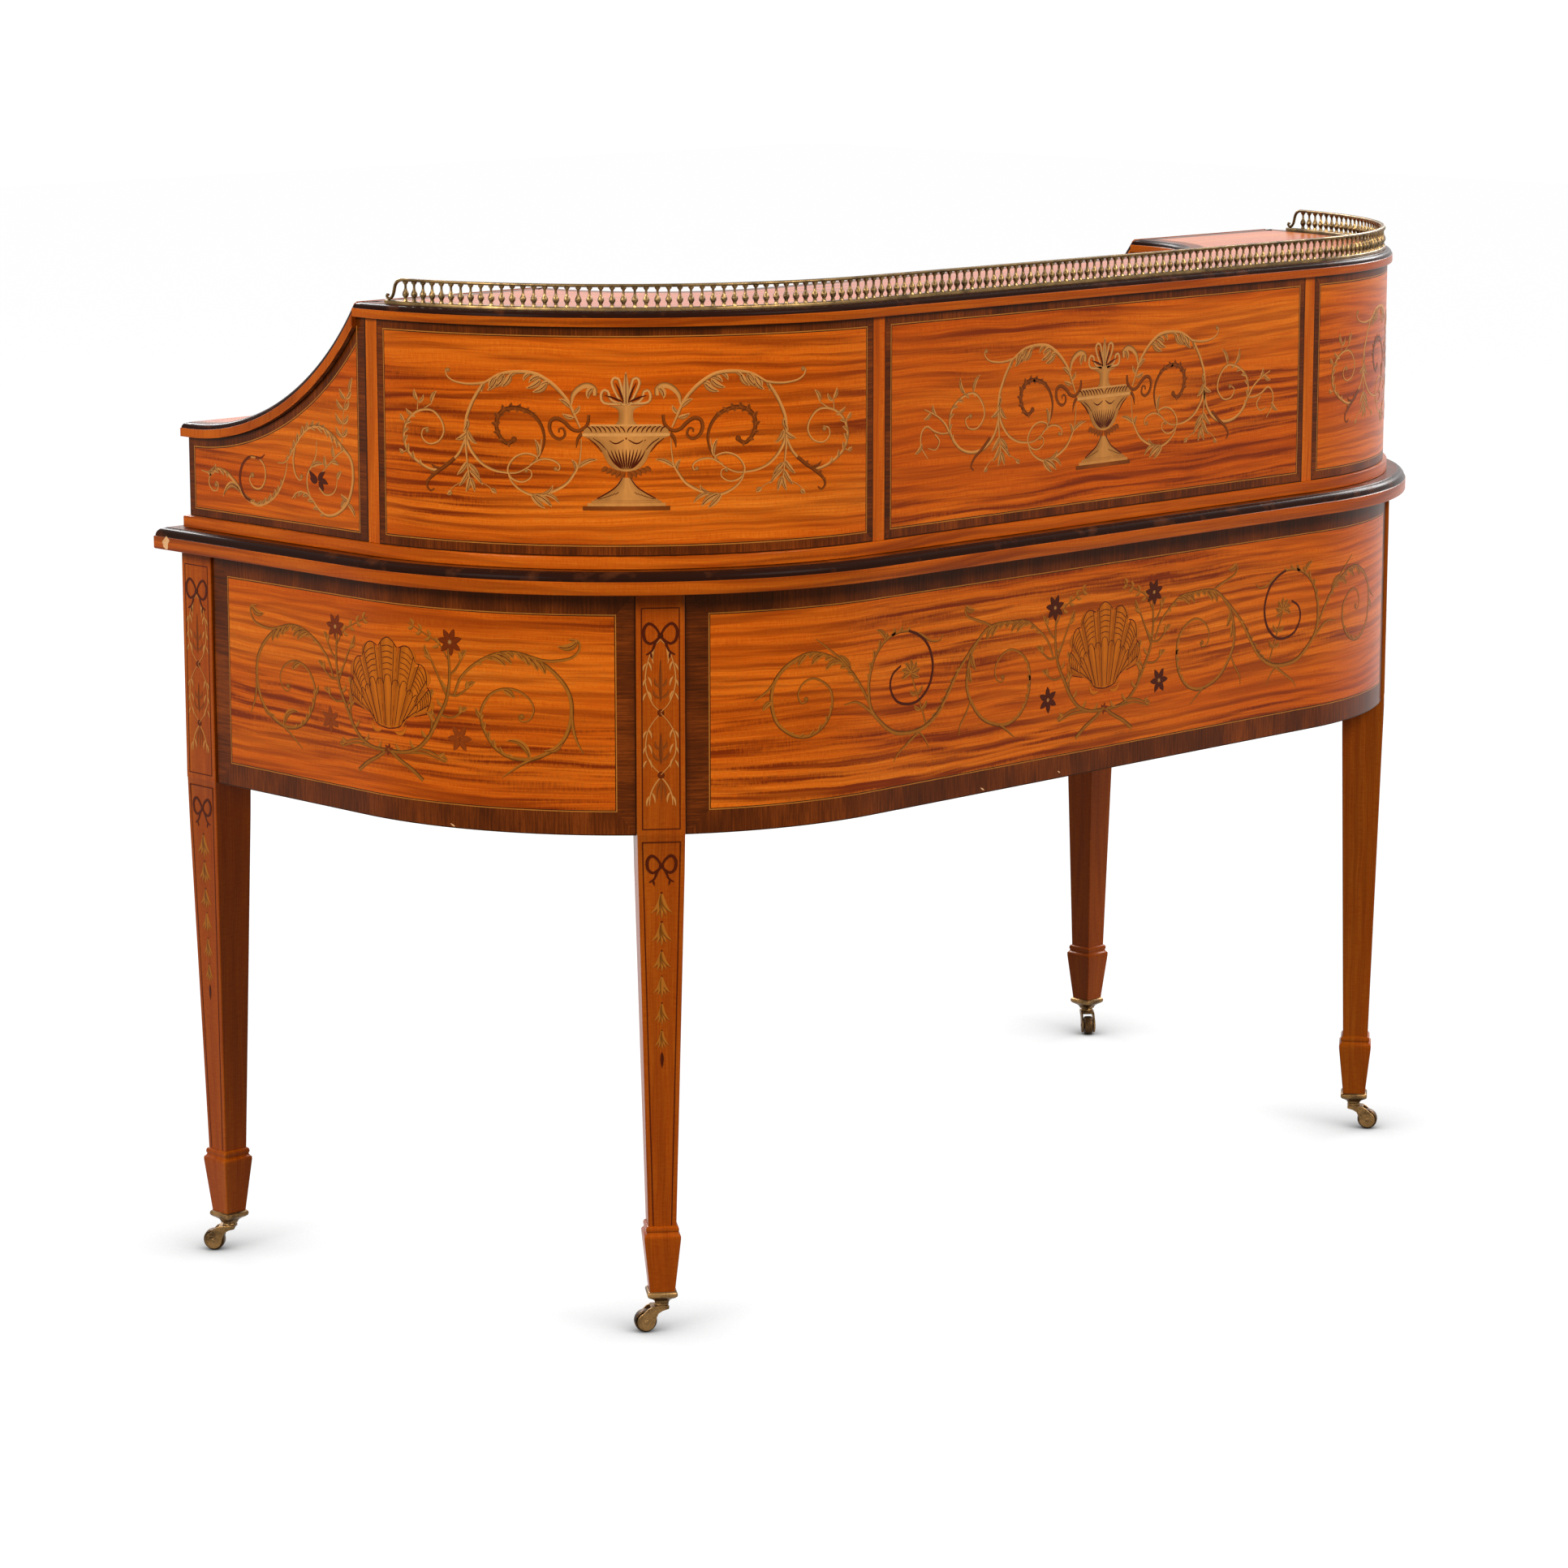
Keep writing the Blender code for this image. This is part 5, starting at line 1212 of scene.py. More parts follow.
def draw_sprigs(m):
    """Half of the flowering sprigs tied below the shell, on its right."""
    m.wood, m.edge = OLIVE, BROWNED
    stem = [(4, -47), (20, -46), (35, -41), (48, -29), (58, -12), (67, 5), (71, 24), (71, 40), (70, 54)]
    m.stroke(stem, 2.4, 1.4, 0.8)
    for root, bend, tip in (((48, -29), (51, -20), (52, -4)), ((62, -8), (74, -9), (88, 0)),
            ((71, 30), (78, 36), (88, 52)), ((68, 10), (58, 30), (46, 53)),
            ((69, 12), (80, 12), (96, 24)), ((36, -41), (50, -43), (66, -49)),
            ((58, -14), (50, 0), (53, 14))):
        m.stroke([root, bend, tip], 1.5, 0.9, 0.3)
        way = Vector(tip) - Vector(bend)
        m.leaf(Vector(tip) - way * 0.35, Vector(tip) + way * 0.12, 3.6, 0.12)
        side = Vector((-way.y, way.x)).normalized()
        m.leaf(Vector(tip) - way * 0.5, Vector(tip) - way * 0.2 + side * 6, 2.8, -0.1)
    m.stroke([(70, 44), (60, 58), (44, 66), (26, 74)], 1.2, 0.7, 0.2)
    for x, y in ((60, 57), (51, 63), (41, 68), (32, 72)):
        m.leaf((x, y), (x - 7, y - 3), 2.8)
        m.leaf((x, y), (x - 4, y + 6), 2.8, -0.15)
    m.stroke([(0, -45), (14, -54), (28, -61), (41, -70)], 2.2, 2.8, 0.3)
    m.stroke([(2, -46), (24, -46), (44, -45), (66, -51)], 1.8, 1.0, 0.4)
    for i in range(6):
        root = flowing(stem, 2.0)[6 + 9 * i]
        m.leaf(root.xy, (root.x - 7, root.y + 8), 2.6)


def draw_side_scroll(m):
    """The right half of the scroll on a side frieze."""
    m.wood, m.edge = OLIVE, SCROLL_SHADE
    main = [(76, 12), (83, 28), (98, 42), (117, 51.5), (135, 54), (155, 49), (172, 38), (185, 22),
        (189, 5), (186, -14), (178, -28), (163.5, -38), (149, -43), (132, -42), (117, -34), (106, -18),
        (103, -2), (111, 13), (123, 20), (137.5, 20), (150, 12), (154, 2), (149, -7.5), (141, -8),
        (140, -3)]
    m.stroke(main, 1.8, 1.0, 1.4)
    m.acanthus(main, 4.2, 10, 9, -1, 0.10, 0.26, 0.5)
    m.acanthus(main, 3.4, 8, 9, -1, 0.62, 0.74, 0.5)
    m.leaves((((112, 50), (128, 41)), ((118, 52), (134, 43)), ((148, 51), (158, 38)),
        ((155, 49), (165, 35)), ((142, 53), (150, 42)), ((124, 20), (136, 12))), 4.6, 0.12, rib=True)
    m.disc((142.5, -4), 2.6)
    m.stroke([(152, 51), (163, 48), (176, 48), (189, 51), (196, 58), (195.5, 66), (187, 67.5)],
        1.8, 1.2, 0.5)
    m.leaf((195, 67), (176, 61.5), 5.0, 0.2, rib=True)
    m.stroke([(189, 2), (190, -12), (193, -24), (199, -36)], 2.0, 0.6, 0.6)
    m.stroke([(160, -40), (149, -44), (137, -51), (123, -61)], 1.4, 0.6, 0.8)
    m.leaf((150, -43), (127, -27), 4.2, -0.25, rib=True)
    m.leaf((180, -25), (163, -34), 3.6, 0.2)
    m.leaf((104, -8), (98, 2), 3.2, 0.1)


def draw_back_scrolls(m):
    """The right half of the three scrolls on the back frieze."""
    m.wood, m.edge = OLIVE, SCROLL_SHADE
    first = [(74, 8), (82, 24), (95, 36), (111, 46), (130, 48), (150, 48.5), (165, 46), (177, 38),
        (188, 25), (194, 8), (194, -10), (185, -27), (172, -40), (154, -47.5), (138, -49), (122, -42.5),
        (111, -29), (107, -13), (109, 4), (119, 16), (134, 22), (148, 17), (156, 6), (153, -5),
        (145, -7), (143, -2)]
    m.stroke(first, 1.6, 1.0, 1.4)
    m.disc((145.5, -3), 2.4)
    m.acanthus(first, 4.2, 10, 9, -1, 0.08, 0.26, 0.5)
    m.acanthus(first, 3.2, 7, 9, -1, 0.66, 0.80, 0.5)
    m.leaves((((112, 46), (126, 37)), ((120, 47.5), (134, 38)), ((150, 48), (161, 36)),
        ((158, 47), (168, 34)), ((188, 24), (182, 8)), ((191, 12), (188, -4))), 4.4, 0.12, rib=True)
    m.stroke([(160, 47), (172, 52), (184, 56), (194, 60), (198, 66), (194, 71)], 1.8, 1.0, 0.4)
    m.leaf((197, 71), (184, 66), 4.6, 0.2, rib=True)
    m.stroke([(190, -22), (196, -32), (204, -43), (205, -52)], 1.4, 0.6, 0.6)
    m.stroke([(150, -48), (140, -54), (128, -63)], 1.4, 0.6, 0.6)
    link = [(180, 36), (193, 24), (208.5, 8), (221, -10), (234, -26), (252, -37), (272.5, -40),
        (293, -37), (310, -26), (323, -12), (326.5, 5), (325, 20), (318, 37), (305, 49.5), (288, 55.5),
        (270, 55)]
    m.stroke(link, 2.4, 1.6, 1.0)
    m.acanthus(link, 4.0, 9, 9, 1, 0.12, 0.36, 0.45)
    m.acanthus(link, 4.0, 9, 9, -1, 0.74, 0.98, 0.5)
    m.stroke([(274, 55.5), (262, 51), (250, 42), (243, 29), (241.5, 15), (247, 0), (260, -11),
        (275, -13), (290, -8), (298, 5), (295, 17), (284, 24)], 1.8, 1.4, 0.4, DARK, (0.3, 0, 0.3))
    m.stroke([(270, 54), (257, 50), (244.5, 43), (233, 42), (227, 47)], 1.8, 0.8, 0.6)
    m.leaf((304, 50), (317, 61), 3.8, rib=True)
    m.stroke([(250, -36), (255, -22), (262, -6), (270, 14)], 1.2, 1.0, 0.4)
    for angle in range(7):
        turn = radians(-25 + 38 * angle)
        m.leaf((271, 16), (271 + 13 * cos(turn), 16 + 13 * sin(turn)), 4.0, 0.1, rib=True)
    for x, y in ((257, -20), (263, -5)):
        m.leaf((x, y), (x - 8, y + 8), 3.2)
        m.leaf((x, y), (x + 9, y + 5), 3.2, -0.15)
    m.stroke([(240, -32), (258, -40), (275, -50), (288, -58.5), (293, -65)], 1.8, 0.8, 0.8)
    m.stroke([(262, -39), (252, -48), (246, -58)], 1.4, 0.6, 0.4)
    m.stroke([(312, -24), (328, -11), (342, -3), (357, -4)], 1.8, 0.8, 0.8)
    third = [(322, -12), (335, 9), (349, 26.5), (365, 38), (382, 45.5), (398, 47), (414, 41), (426, 32),
        (433.5, 20), (435, 4), (430, -13), (418, -24), (404, -29), (390, -27), (377.5, -18), (371, -4),
        (372, 10), (380, 19), (392, 24), (403, 20), (408, 10), (404, 2), (398, 4)]
    m.stroke(third, 2.0, 1.0, 1.1)
    m.disc((399.5, 5.5), 2.4)
    m.acanthus(third, 4.0, 9, 9, -1, 0.10, 0.34, 0.5)
    m.acanthus(third, 3.2, 7, 9, -1, 0.60, 0.76, 0.5)
    m.stroke([(428, 30), (438, 17), (452, 8)], 1.8, 0.6, 0.6)
    m.leaf((349, 27), (364, 43), 3.6, 0.12, rib=True)
    m.stroke([(345, 22), (358, 36), (374, 49), (389, 60)], 1.4, 0.6, 0.6)
    m.leaves((((366, 38), (378, 30)), ((382, 45), (394, 36)), ((398, 47), (408, 36)),
        ((434, 6), (444, -2))), 4.2, 0.12, rib=True)


SHELL_HEIGHT, SHELL_SHIFT = 0.582, 0.008


def add_frieze_marquetry():
    rear, front = FRIEZE_LINE.run_at(REAR_LEG_ANGLE), FRIEZE_LINE.run_to(FRIEZE_FRONT)
    side_middle = (rear + front) / 2 + SHELL_SHIFT
    for name, centre, scrolls, drop, flowers, low_flowers, low_eye in (
            ("right_frieze_shell", side_middle, draw_side_scroll, 0, TULIP, FADED, FADED),
            ("left_frieze_shell", -side_middle, draw_side_scroll, 0, TULIP, FADED, FADED),
            ("back_frieze_shell", 0.0, draw_back_scrolls, -5, DARK, DARK, HOLLY)):
        m = Marquetry(name, lambda x, y, depth: FRIEZE_LINE.place(centre - x, SHELL_HEIGHT + y, depth))
        m.bold = FRIEZE_BOLD
        m.sides(scrolls)
        plain = m.place
        m.place = lambda x, y, depth: plain(x, y + drop * MM, depth)
        m.sides(draw_sprigs)
        m.bold = 1.0
        draw_shell(m, 50, -26, 56)
        for x in (72, -72):
            m.flower((x, 60), 13, 7, flowers, HOLLY, 0.3 + 0.1 * x)
        for x in (81, -81):
            m.flower((x, -28), 13, 6, low_flowers, low_eye, 0.3 + 0.1 * x)
        m.flower((0, -46), 6, 6, TULIP, OLIVE)
        m.done()


add_upper_marquetry()
add_wing_marquetry()
add_frieze_marquetry()


# Knocks that show bare wood, as (along, up, width) in millimetres

EDGE_CHIP = [(-300.2, 1.6, 4.0), (-299.6, 2.8, 8.0), (-299.0, 4.6, 7.0),
             (-299.9, 6.8, 9.0), (-298.6, 9.0, 11.5), (-300.6, 11.2, 7.5)]
FRIEZE_NICKS = [(172, 4.0, 3.6), (64, 6.0, 2.6), (735, 2.6, 3.2)]


def add_knocks():
    on_edge = lambda y, z, depth: Vector((TABLE_HIGH.x - depth, y, TABLE_LOW.z + z))
    m = Marquetry("edge_and_frieze_knocks", on_edge)
    m.ribbon([Vector(spot) for spot in EDGE_CHIP], BARE_WOOD, INK)
    m.place = lambda x, y, depth: FRIEZE_LINE.place(x, FRIEZE_BOTTOM + y, depth)
    for run, up, size in FRIEZE_NICKS:
        across, rise = 0.7 * size, 0.4 * size
        nick = [(run - across, up - rise, 0.3), (run, up, 0.5 * size), (run + across, up + rise, 0.4)]
        m.ribbon([Vector(spot) for spot in nick], BARE_WOOD, INK)
    m.done()


add_knocks()


# Legs

ANKLE_HALF, ANKLE_HEIGHT = 0.0130, 0.103
SPADE_TOP, SPADE_TOP_HALF, SPADE_FOOT_HALF = 0.0912, 0.0169, 0.0113
COLLAR = [(0.0132, 0.1034), (0.0141, 0.1030), (0.0150, 0.1018), (0.0153, 0.1002), (0.0152, 0.0988),
          (0.0146, 0.0978), (0.0147, 0.0968), (0.0153, 0.0958), (0.0163, 0.0948),
          (SPADE_TOP_HALF, 0.0938), (SPADE_TOP_HALF, SPADE_TOP)]
TAPER_STEPS, SPADE_STEPS = 10, 4
LEGS = [(end, hand, side) for side, hand in HANDS for end in ("front", "back")]


def leg_half(z):
    """Half the width of a leg at a height of its block or taper."""
    return LEG_HALF - (LEG_HALF - ANKLE_HALF) * max(0.0,
        FRIEZE_BOTTOM - z) / (FRIEZE_BOTTOM - ANKLE_HEIGHT)


def square_ring(half, z, ease=0.0006):
    near = half - ease
    return [Vector((x, y, z)) for x, y in ((half, -near), (half, near), (near, half), (-near, half),
                                           (-half, near), (-half, -near), (-near, -half),
                                           (near, -half))]


def leg_stance(end, hand, side):
    low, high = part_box(f"leg_{end}_{hand}")
    turn = side * (REAR_LEG_ANGLE - pi / 2) if end == "back" else 0.0
    return Matrix.Translation(((low.x + high.x) / 2, (low.y + high.y) / 2, 0)) @ Matrix.Rotation(turn,
        4, "Z")


BOW_LOOP = [(0, 0), (0.3, 0.5), (0.7, 0.74), (1.0, 0.36), (0.93, -0.25), (0.6, -0.48), (0.28, -0.3),
    (0, 0)]
BOW_TAIL = [(0, 0), (0.3, -0.42), (0.5, -0.9), (0.86, -1.15)]


def draw_bow(m, z, size):
    for sign in (-1, 1):
        for line, start, end, swell in ((BOW_LOOP, 1.7, 1.7, 1.0), (BOW_TAIL, 1.8, 1.2, 0.6)):
            m.stroke([(sign * x * size, z + y * size) for x, y in line],
                start, end, swell, DARK, (0.1, 0, 0.1))
        m.leaf((sign * 0.6 * size, z - 0.96 * size), (sign * 0.5 * size, z - 1.4 * size), 1.9, 0.0,
            DARK, INK)
    m.disc((0, z), 0.17 * size, DARK)


def draw_oval(m, top, low):
    """Two pale strings that part and meet again, with buds on them and a brown spray inside."""
    middle = 0.45 * top + 0.55 * low
    for sign in (-1, 1):
        m.stroke([(0, top), (sign * 7, top - 8), (sign * 12.4, middle + 12), (sign * 13.4, middle - 4),
            (sign * 8, low + 9), (0, low)], 0.7, 0.7, 0.5, BOXWOOD, GARLAND_SHADE)
        for z in (middle + 15, middle + 1, middle - 12):
            m.leaf((sign * 12.6, z), (sign * 15.8, z - 7), 1.9, 0.1 * sign, BOXWOOD)
            m.leaf((sign * 11.6, z + 2), (sign * 8.4, z - 7), 2.1, -0.1 * sign, BOXWOOD)
        for z, reach in ((low + 13, 7.0), (low + 23, 5.2)):
            m.leaf((0, z), (sign * reach, z + 8), 2.6, -0.2 * sign, WALNUT)
    m.leaf((0, low + 9), (0, top - 17), 3.4, 0.0, WALNUT)


def draw_husk(m, top, low, reach):
    """A fan of five leaves."""
    for k in range(-2, 3):
        tip = (0.5 * k * reach, low + 0.11 * (top - low) * abs(k))
        m.leaf((0.3 * k, top), tip, 0.46 * reach, -0.07 * k, OLIVE,
            (0.8, 0.0, 0.0) if k < 0 else (0.0, 0.0, 0.8), False)
    m.disc((0, top), 0.12 * reach, TULIP)


def draw_leg_face(m):
    """Bows, ovals and a chain of husks, in the leg's own width and height."""
    lines = [[(-17, 477), (-17, 678.5)], [(17, 477), (17, 678.5)], [(-17.4, 477), (17.4, 477)],
        [(-17.4, 678.5), (17.4, 678.5)]]
    taper = lambda z: leg_half(z * MM) / MM - 4.6
    lines += [[(sign * taper(465), 465), (sign * taper(104), 104)] for sign in (-1, 1)]
    lines.append([(-taper(465) - 0.4, 465), (taper(465) + 0.4, 465)])
    for start, end in lines:
        m.ribbon([Vector((*start, 0.9)), Vector((*end, 0.9))], DARK, INK)
    draw_oval(m, 650, 584)
    draw_oval(m, 583, 527)
    for sign in (-1, 1):
        m.leaf((sign * 5, 643), (sign * 6.5, 628), 2.4, 0.1 * sign, BOXWOOD)
        m.stroke([(0, 525), (sign * 5.5, 518), (sign * 9.5, 509), (sign * 10.6, 499)],
            1.2, 0.8, 0.5, BOXWOOD, GARLAND_SHADE)
        m.leaf((sign * 10, 508), (sign * 13, 498), 2.2, 0.1 * sign, BOXWOOD)
        m.leaf((sign * 8.4, 511), (sign * 5.6, 501), 2.2, -0.1 * sign, BOXWOOD)
        m.leaf((0, 522), (sign * 3.4, 505), 2.0, 0.1 * sign, WALNUT)
    m.leaf((0, 523), (0, 502), 2.4, 0.0, WALNUT)
    for z in (583.5, 526.5):
        m.disc((0, z), 3.2, TULIP)
    draw_bow(m, 653.6, 15)
    draw_bow(m, 443, 13)
    for number, (top, low) in enumerate(((418, 394), (391, 368.5), (364, 344), (340, 320.5), (315, 294),
            (289.5, 271))):
        draw_husk(m, top, low, 9.6 - 0.62 * number)
    m.leaf((0, 269), (0, 254), 3.0, 0.0, DARK)


def add_legs():
    for number, (end, hand, side) in enumerate(LEGS):
        at = leg_stance(end, hand, side)
        piece = Piece(f"leg_{end}_{hand}_tapered")
        shaft = [(LEG_HALF, LEG_TOP), (LEG_HALF, FRIEZE_BOTTOM + 0.0008),
                 (LEG_HALF - 0.0003, FRIEZE_BOTTOM)]
        for i in range(1, TAPER_STEPS + 1):
            z = FRIEZE_BOTTOM + (ANKLE_HEIGHT - FRIEZE_BOTTOM) * i / TAPER_STEPS
            shaft.append((leg_half(z), z))
        foot = [(SPADE_TOP_HALF + (SPADE_FOOT_HALF - SPADE_TOP_HALF) * i / SPADE_STEPS,
                 SPADE_TOP + (LEG_BOTTOM - SPADE_TOP) * i / SPADE_STEPS)
                for i in range(1, SPADE_STEPS + 1)]
        # Taper and foot take the leg wood toned dark as painted shade, and the block takes the less
        # dark wood.
        finishes = [SHADE_DARKENED_LEG_WOOD] * (len(shaft) + len(COLLAR) - 1 + len(foot))
        finishes[0] = BLOCK_WOOD
        piece.loft([square_ring(half, z) for half, z in shaft + COLLAR + foot], finishes)
        piece.done("desk", "satinwood", f"leg_{end}_{hand}", grain=2, at=at, shift=0.83 * number)
        looks = [pi / 2] if end == "back" else [0.0 if side > 0 else pi, -pi / 2]
        for face, look in enumerate(looks):
            turned = at @ Matrix.Rotation(look, 4, "Z")
            place = lambda x, z, depth: turned @ Vector((leg_half(z) - depth, x, z))
            m = Marquetry(f"leg_{end}_{hand}_husks_{face + 1}", place)
            draw_leg_face(m)
            m.done()


add_legs()


# Tops, plinth and lids

POCKET_EDGE, POCKET_DEPTH = 0.0003, 0.0015
UPPER_INNER_RADIUS = DOOR_RADIUS - 0.005
PLINTH_INSET, PLINTH_INNER_RADIUS = 0.001, DOOR_RADIUS - 0.004


def moulded_top(name, ring, bottom, top, edge, band):
    """The underside, moulding and border of a top. Returns the piece and its last ring of points."""
    piece, inset = Piece(name), edge * EDGE_DEPTH
    rings = [ring(edge * step, z) for step, z in edge_profile(bottom, top)]
    finishes = list(EDGE_FINISHES)
    for kind, width in border(band, joint=0.0):
        inset += width
        rings.append(ring(inset, top))
        finishes.append(VENEERS[kind])
    rows = piece.loft(rings, finishes, caps=False, flow=True)
    piece.face(list(reversed(rows[0])), UNDERSIDE)
    return piece, rows[-1]


def add_table_top():
    top = TABLE_HIGH.z
    ring = lambda inset, z: d_ring(OVERHANG - inset, TABLE_LOW.y + inset, z)
    piece, rim = moulded_top("table_top_moulded", ring, TABLE_LOW.z, top, 1.0, TABLE_BAND)
    low = LEATHER_LOW - Vector((POCKET_EDGE, POCKET_EDGE, 0))
    high = LEATHER_HIGH + Vector((POCKET_EDGE, POCKET_EDGE, 0))
    centre = Vector(((low.x + high.x) / 2, (low.y + high.y) / 2, top))
    inner = []
    for vert in rim:
        way = vert.co - centre
        reach = min((high[k] - centre[k]) / max(abs(way[k]), 1e-6) for k in (0, 1))
        inner.append(centre + way * reach)
    for corner in (Vector((x, y, top)) for x in (low.x, high.x) for y in (low.y, high.y)):
        nearest = min(range(len(inner)), key=lambda i: (inner[i] - corner).length)
        inner[nearest] = corner
    pocket = [piece.point(p) for p in inner]
    bed = [piece.point(p - Vector((0, 0, POCKET_DEPTH))) for p in inner]
    for i in range(len(rim)):
        j = (i + 1) % len(rim)
        corners = [rim[i], rim[j], pocket[j], pocket[i]]
        piece.face(corners, POLISHED, [(abs(v.co.x) + 3.1, v.co.y) for v in corners])
        piece.face([pocket[i], pocket[j], bed[j], bed[i]], PLAIN)
    piece.face(bed, UNDERSIDE)
    piece.done("desk", "satinwood", "table_top")


def add_upper_top():
    ring = lambda inset, z: u_ring(-inset, UPPER_LOW.y + inset, UPPER_INNER_RADIUS + inset, z)
    piece, rim = moulded_top("upper_top_moulded", ring, UPPER_LOW.z, UPPER_HIGH.z, UPPER_EDGE,
        UPPER_BAND)
    piece.face(rim, POLISHED, [(v.co.x + 5.3, v.co.y) for v in rim])
    piece.done("desk", "satinwood", "upper_top")


def add_plinth():
    piece = Piece("upper_plinth_veneered")
    low, high = PLINTH_LOW.z, PLINTH_HIGH.z
    section = ((0.0004, low), (0.0, low + 0.0005), (0.0, high - 0.0012),
               (0.0004, high - 0.0003), (0.0011, high))
    rings = [u_ring(-PLINTH_INSET - inset, PLINTH_FRONT + inset, PLINTH_INNER_RADIUS + inset, z)
             for inset, z in section]
    piece.loft(rings, EDGING, flow=True)
    piece.done("desk", "satinwood", "upper_plinth", "right_wing_plinth", "left_wing_plinth")


def add_lids():
    profile = [(UPPER_EDGE * inset, -z) for inset, z in edge_profile(-LID_THICK, 0.0)[2:]]
    veneer = [(width, kind) for kind, width in border(LID_BAND, joint=0.0)]
    for side, hand in HANDS:
        piece = Piece(f"{hand}_lid_swept")
        inner_x, outer_x = sorted((abs(LID_LOW_CORNER.x), abs(LID_HIGH_CORNER.x)))
        stations, kinds = [], []
        for number, (inset, _) in enumerate(profile):
            stations.append((inset, number))
            kinds.append(EDGING if number < 3 else EBONY)
        for width, kind in veneer:
            stations.append((stations[-1][0] + width, len(profile) - 1))
            kinds.append(VENEERS[kind])
        across = [(inner_x + inset, level) for inset, level in stations]
        across += [(outer_x - inset, level) for inset, level in reversed(stations)]
        finishes = kinds[1:] + [POLISHED] + list(reversed(kinds[1:]))
        under = lid_line(LID_THICK)
        rings = []
        for x, level in across:
            steps = [profile[min(k, level)] for k in range(len(profile))]
            top = [(LID_FRONT + inset, LID_LOW - depth) for inset, depth in steps]
            top += lid_line(profile[level][1])[1:]
            rings.append([Vector((side * x, y, z)) for y, z in top + list(reversed(under))])
        rows = [[piece.point(p) for p in ring] for ring in rings]
        edge = len(profile)
        last = edge + len(under) - 1
        for step, (low, high) in enumerate(zip(rows, rows[1:])):
            travel = 0.0
            for i in range(len(low)):
                j = (i + 1) % len(low)
                length = (rings[step][j] - rings[step][i]).length
                if i < edge - 1:
                    finish = EBONY if i > 1 else EDGING
                elif i < last - 1:
                    finish = finishes[step]
                else:
                    finish = UNDERSIDE if i > last - 1 and j else EDGING
                spots = laid(travel, travel + length, across[step][0], across[step + 1][0], finish)
                travel += length
                if max(length, (rings[step + 1][i] - rings[step + 1][j]).length) > 1e-6:
                    piece.face([low[i], low[j], high[j], high[i]], finish, spots)
        for row in (rows[0], rows[-1]):
            piece.face(row, EDGING, [(v.co.y, v.co.z) for v in row])
        piece.done(f"{hand}_lid", "satinwood", f"{hand}_wing_lid", grain=1)


add_table_top()
add_upper_top()
add_plinth()
add_lids()


# Cupboard doors, drawer fronts and the writing leather

DOOR_END = DOOR_RADIUS * (pi / 2 - asin(0.002 / DOOR_RADIUS))
FACING_THICK, FACING_PROUD = 0.0014, 0.0002
LARGE_DRAWERS = ("centre_drawer", "right_drawer", "left_drawer")
SMALL_DRAWERS = ("small_drawer_1", "small_drawer_2", "small_drawer_3")


def add_doors():
    edge = border(DOOR_BAND, joint=DOOR_JOINT)
    for side, hand in HANDS:
        low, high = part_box(f"{hand}_cupboard_door")

        def place(run, z, depth):
            turn, reach = run / DOOR_RADIUS, DOOR_RADIUS + depth
            return Vector((side * (DOOR_X + reach * cos(turn)), DOOR_Y + reach * sin(turn), z))

        veneered_board(f"{hand}_door_veneered", place, strips(GAP, DOOR_END, edge, edge, CURVED_PITCH),
                       level_rows(low.z, high.z, edge, edge), DOOR_THICK,
                       f"{hand}_door", f"{hand}_cupboard_door", seed=9.1 * side)
        middle_run, middle_z = (GAP + DOOR_END) / 2, (low.z + high.z) / 2
        on_door = lambda x, y, depth: place(middle_run + x, middle_z + y, depth)
        m = Marquetry(f"{hand}_door_urn", on_door)
        draw_urn(m)
        m.done(f"{hand}_door")


def face_drawer(name, band, seed):
    """A veneered facing on a drawer's front."""
    low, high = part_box(name)
    edge = border(band, joint=DRAWER_JOINT)
    veneered_board(f"{name}_facing", lambda x, z, depth: Vector((x, low.y - FACING_PROUD + depth, z)),
                   strips(low.x, high.x, edge, edge, DRAWER_PITCH),
                   level_rows(low.z, high.z, edge, edge),
                   FACING_THICK, name, seed=seed, inside=PLAIN, slot="drawer_wood")


def add_drawer_fronts():
    for number, name in enumerate(LARGE_DRAWERS):
        face_drawer(name, DRAWER_BAND, 11.3 + 1.9 * number)
    for number, name in enumerate(SMALL_DRAWERS):
        face_drawer(name, SMALL_DRAWER_BAND, 17.0 + 1.3 * number)


def pattern_on_path(name, corners, build, body, slot, closed=False):
    """Runs a node tree along a line and keeps the result as a plain mesh."""
    line = bpy.data.meshes.new(name + "_line")
    count = len(corners)
    edges = [(i, (i + 1) % count) for i in range(count if closed else count - 1)]
    line.from_pydata([tuple(p) for p in corners], edges, [])
    carrier = bpy.data.objects.new(name + "_line", line)
    bpy.context.scene.collection.objects.link(carrier)
    group = bpy.data.node_groups.new(name, "GeometryNodeTree")
    for way in ("INPUT", "OUTPUT"):
        group.interface.new_socket("Geometry", in_out=way, socket_type="NodeSocketGeometry")
    values = build(Tree(group))
    modifier = carrier.modifiers.new(name, "NODES")
    modifier.node_group = group
    for item in group.interface.items_tree:
        if item.in_out == "INPUT" and item.name in values:
            modifier[item.identifier] = values[item.name]
    ready = carrier.evaluated_get(bpy.context.evaluated_depsgraph_get())
    data = bpy.data.meshes.new_from_object(ready)
    carrier.modifiers.clear()
    bpy.data.objects.remove(carrier)
    data.name = name
    data.shade_smooth()
    data.set_sharp_from_angle(angle=radians(INLAY_CREASE))
    return settle(bpy.data.objects.new(name, data), body, slot)


def sized_inputs(tree, values):
    """Named sizes on a node tree. Returns a wire for each, and one for the line's geometry."""
    for name in values:
        tree.nodes.interface.new_socket(name, in_out="INPUT", socket_type="NodeSocketFloat")
    names = ("Geometry", *values)
    return dict(zip(names, tree.add("NodeGroupInput", out=names)))


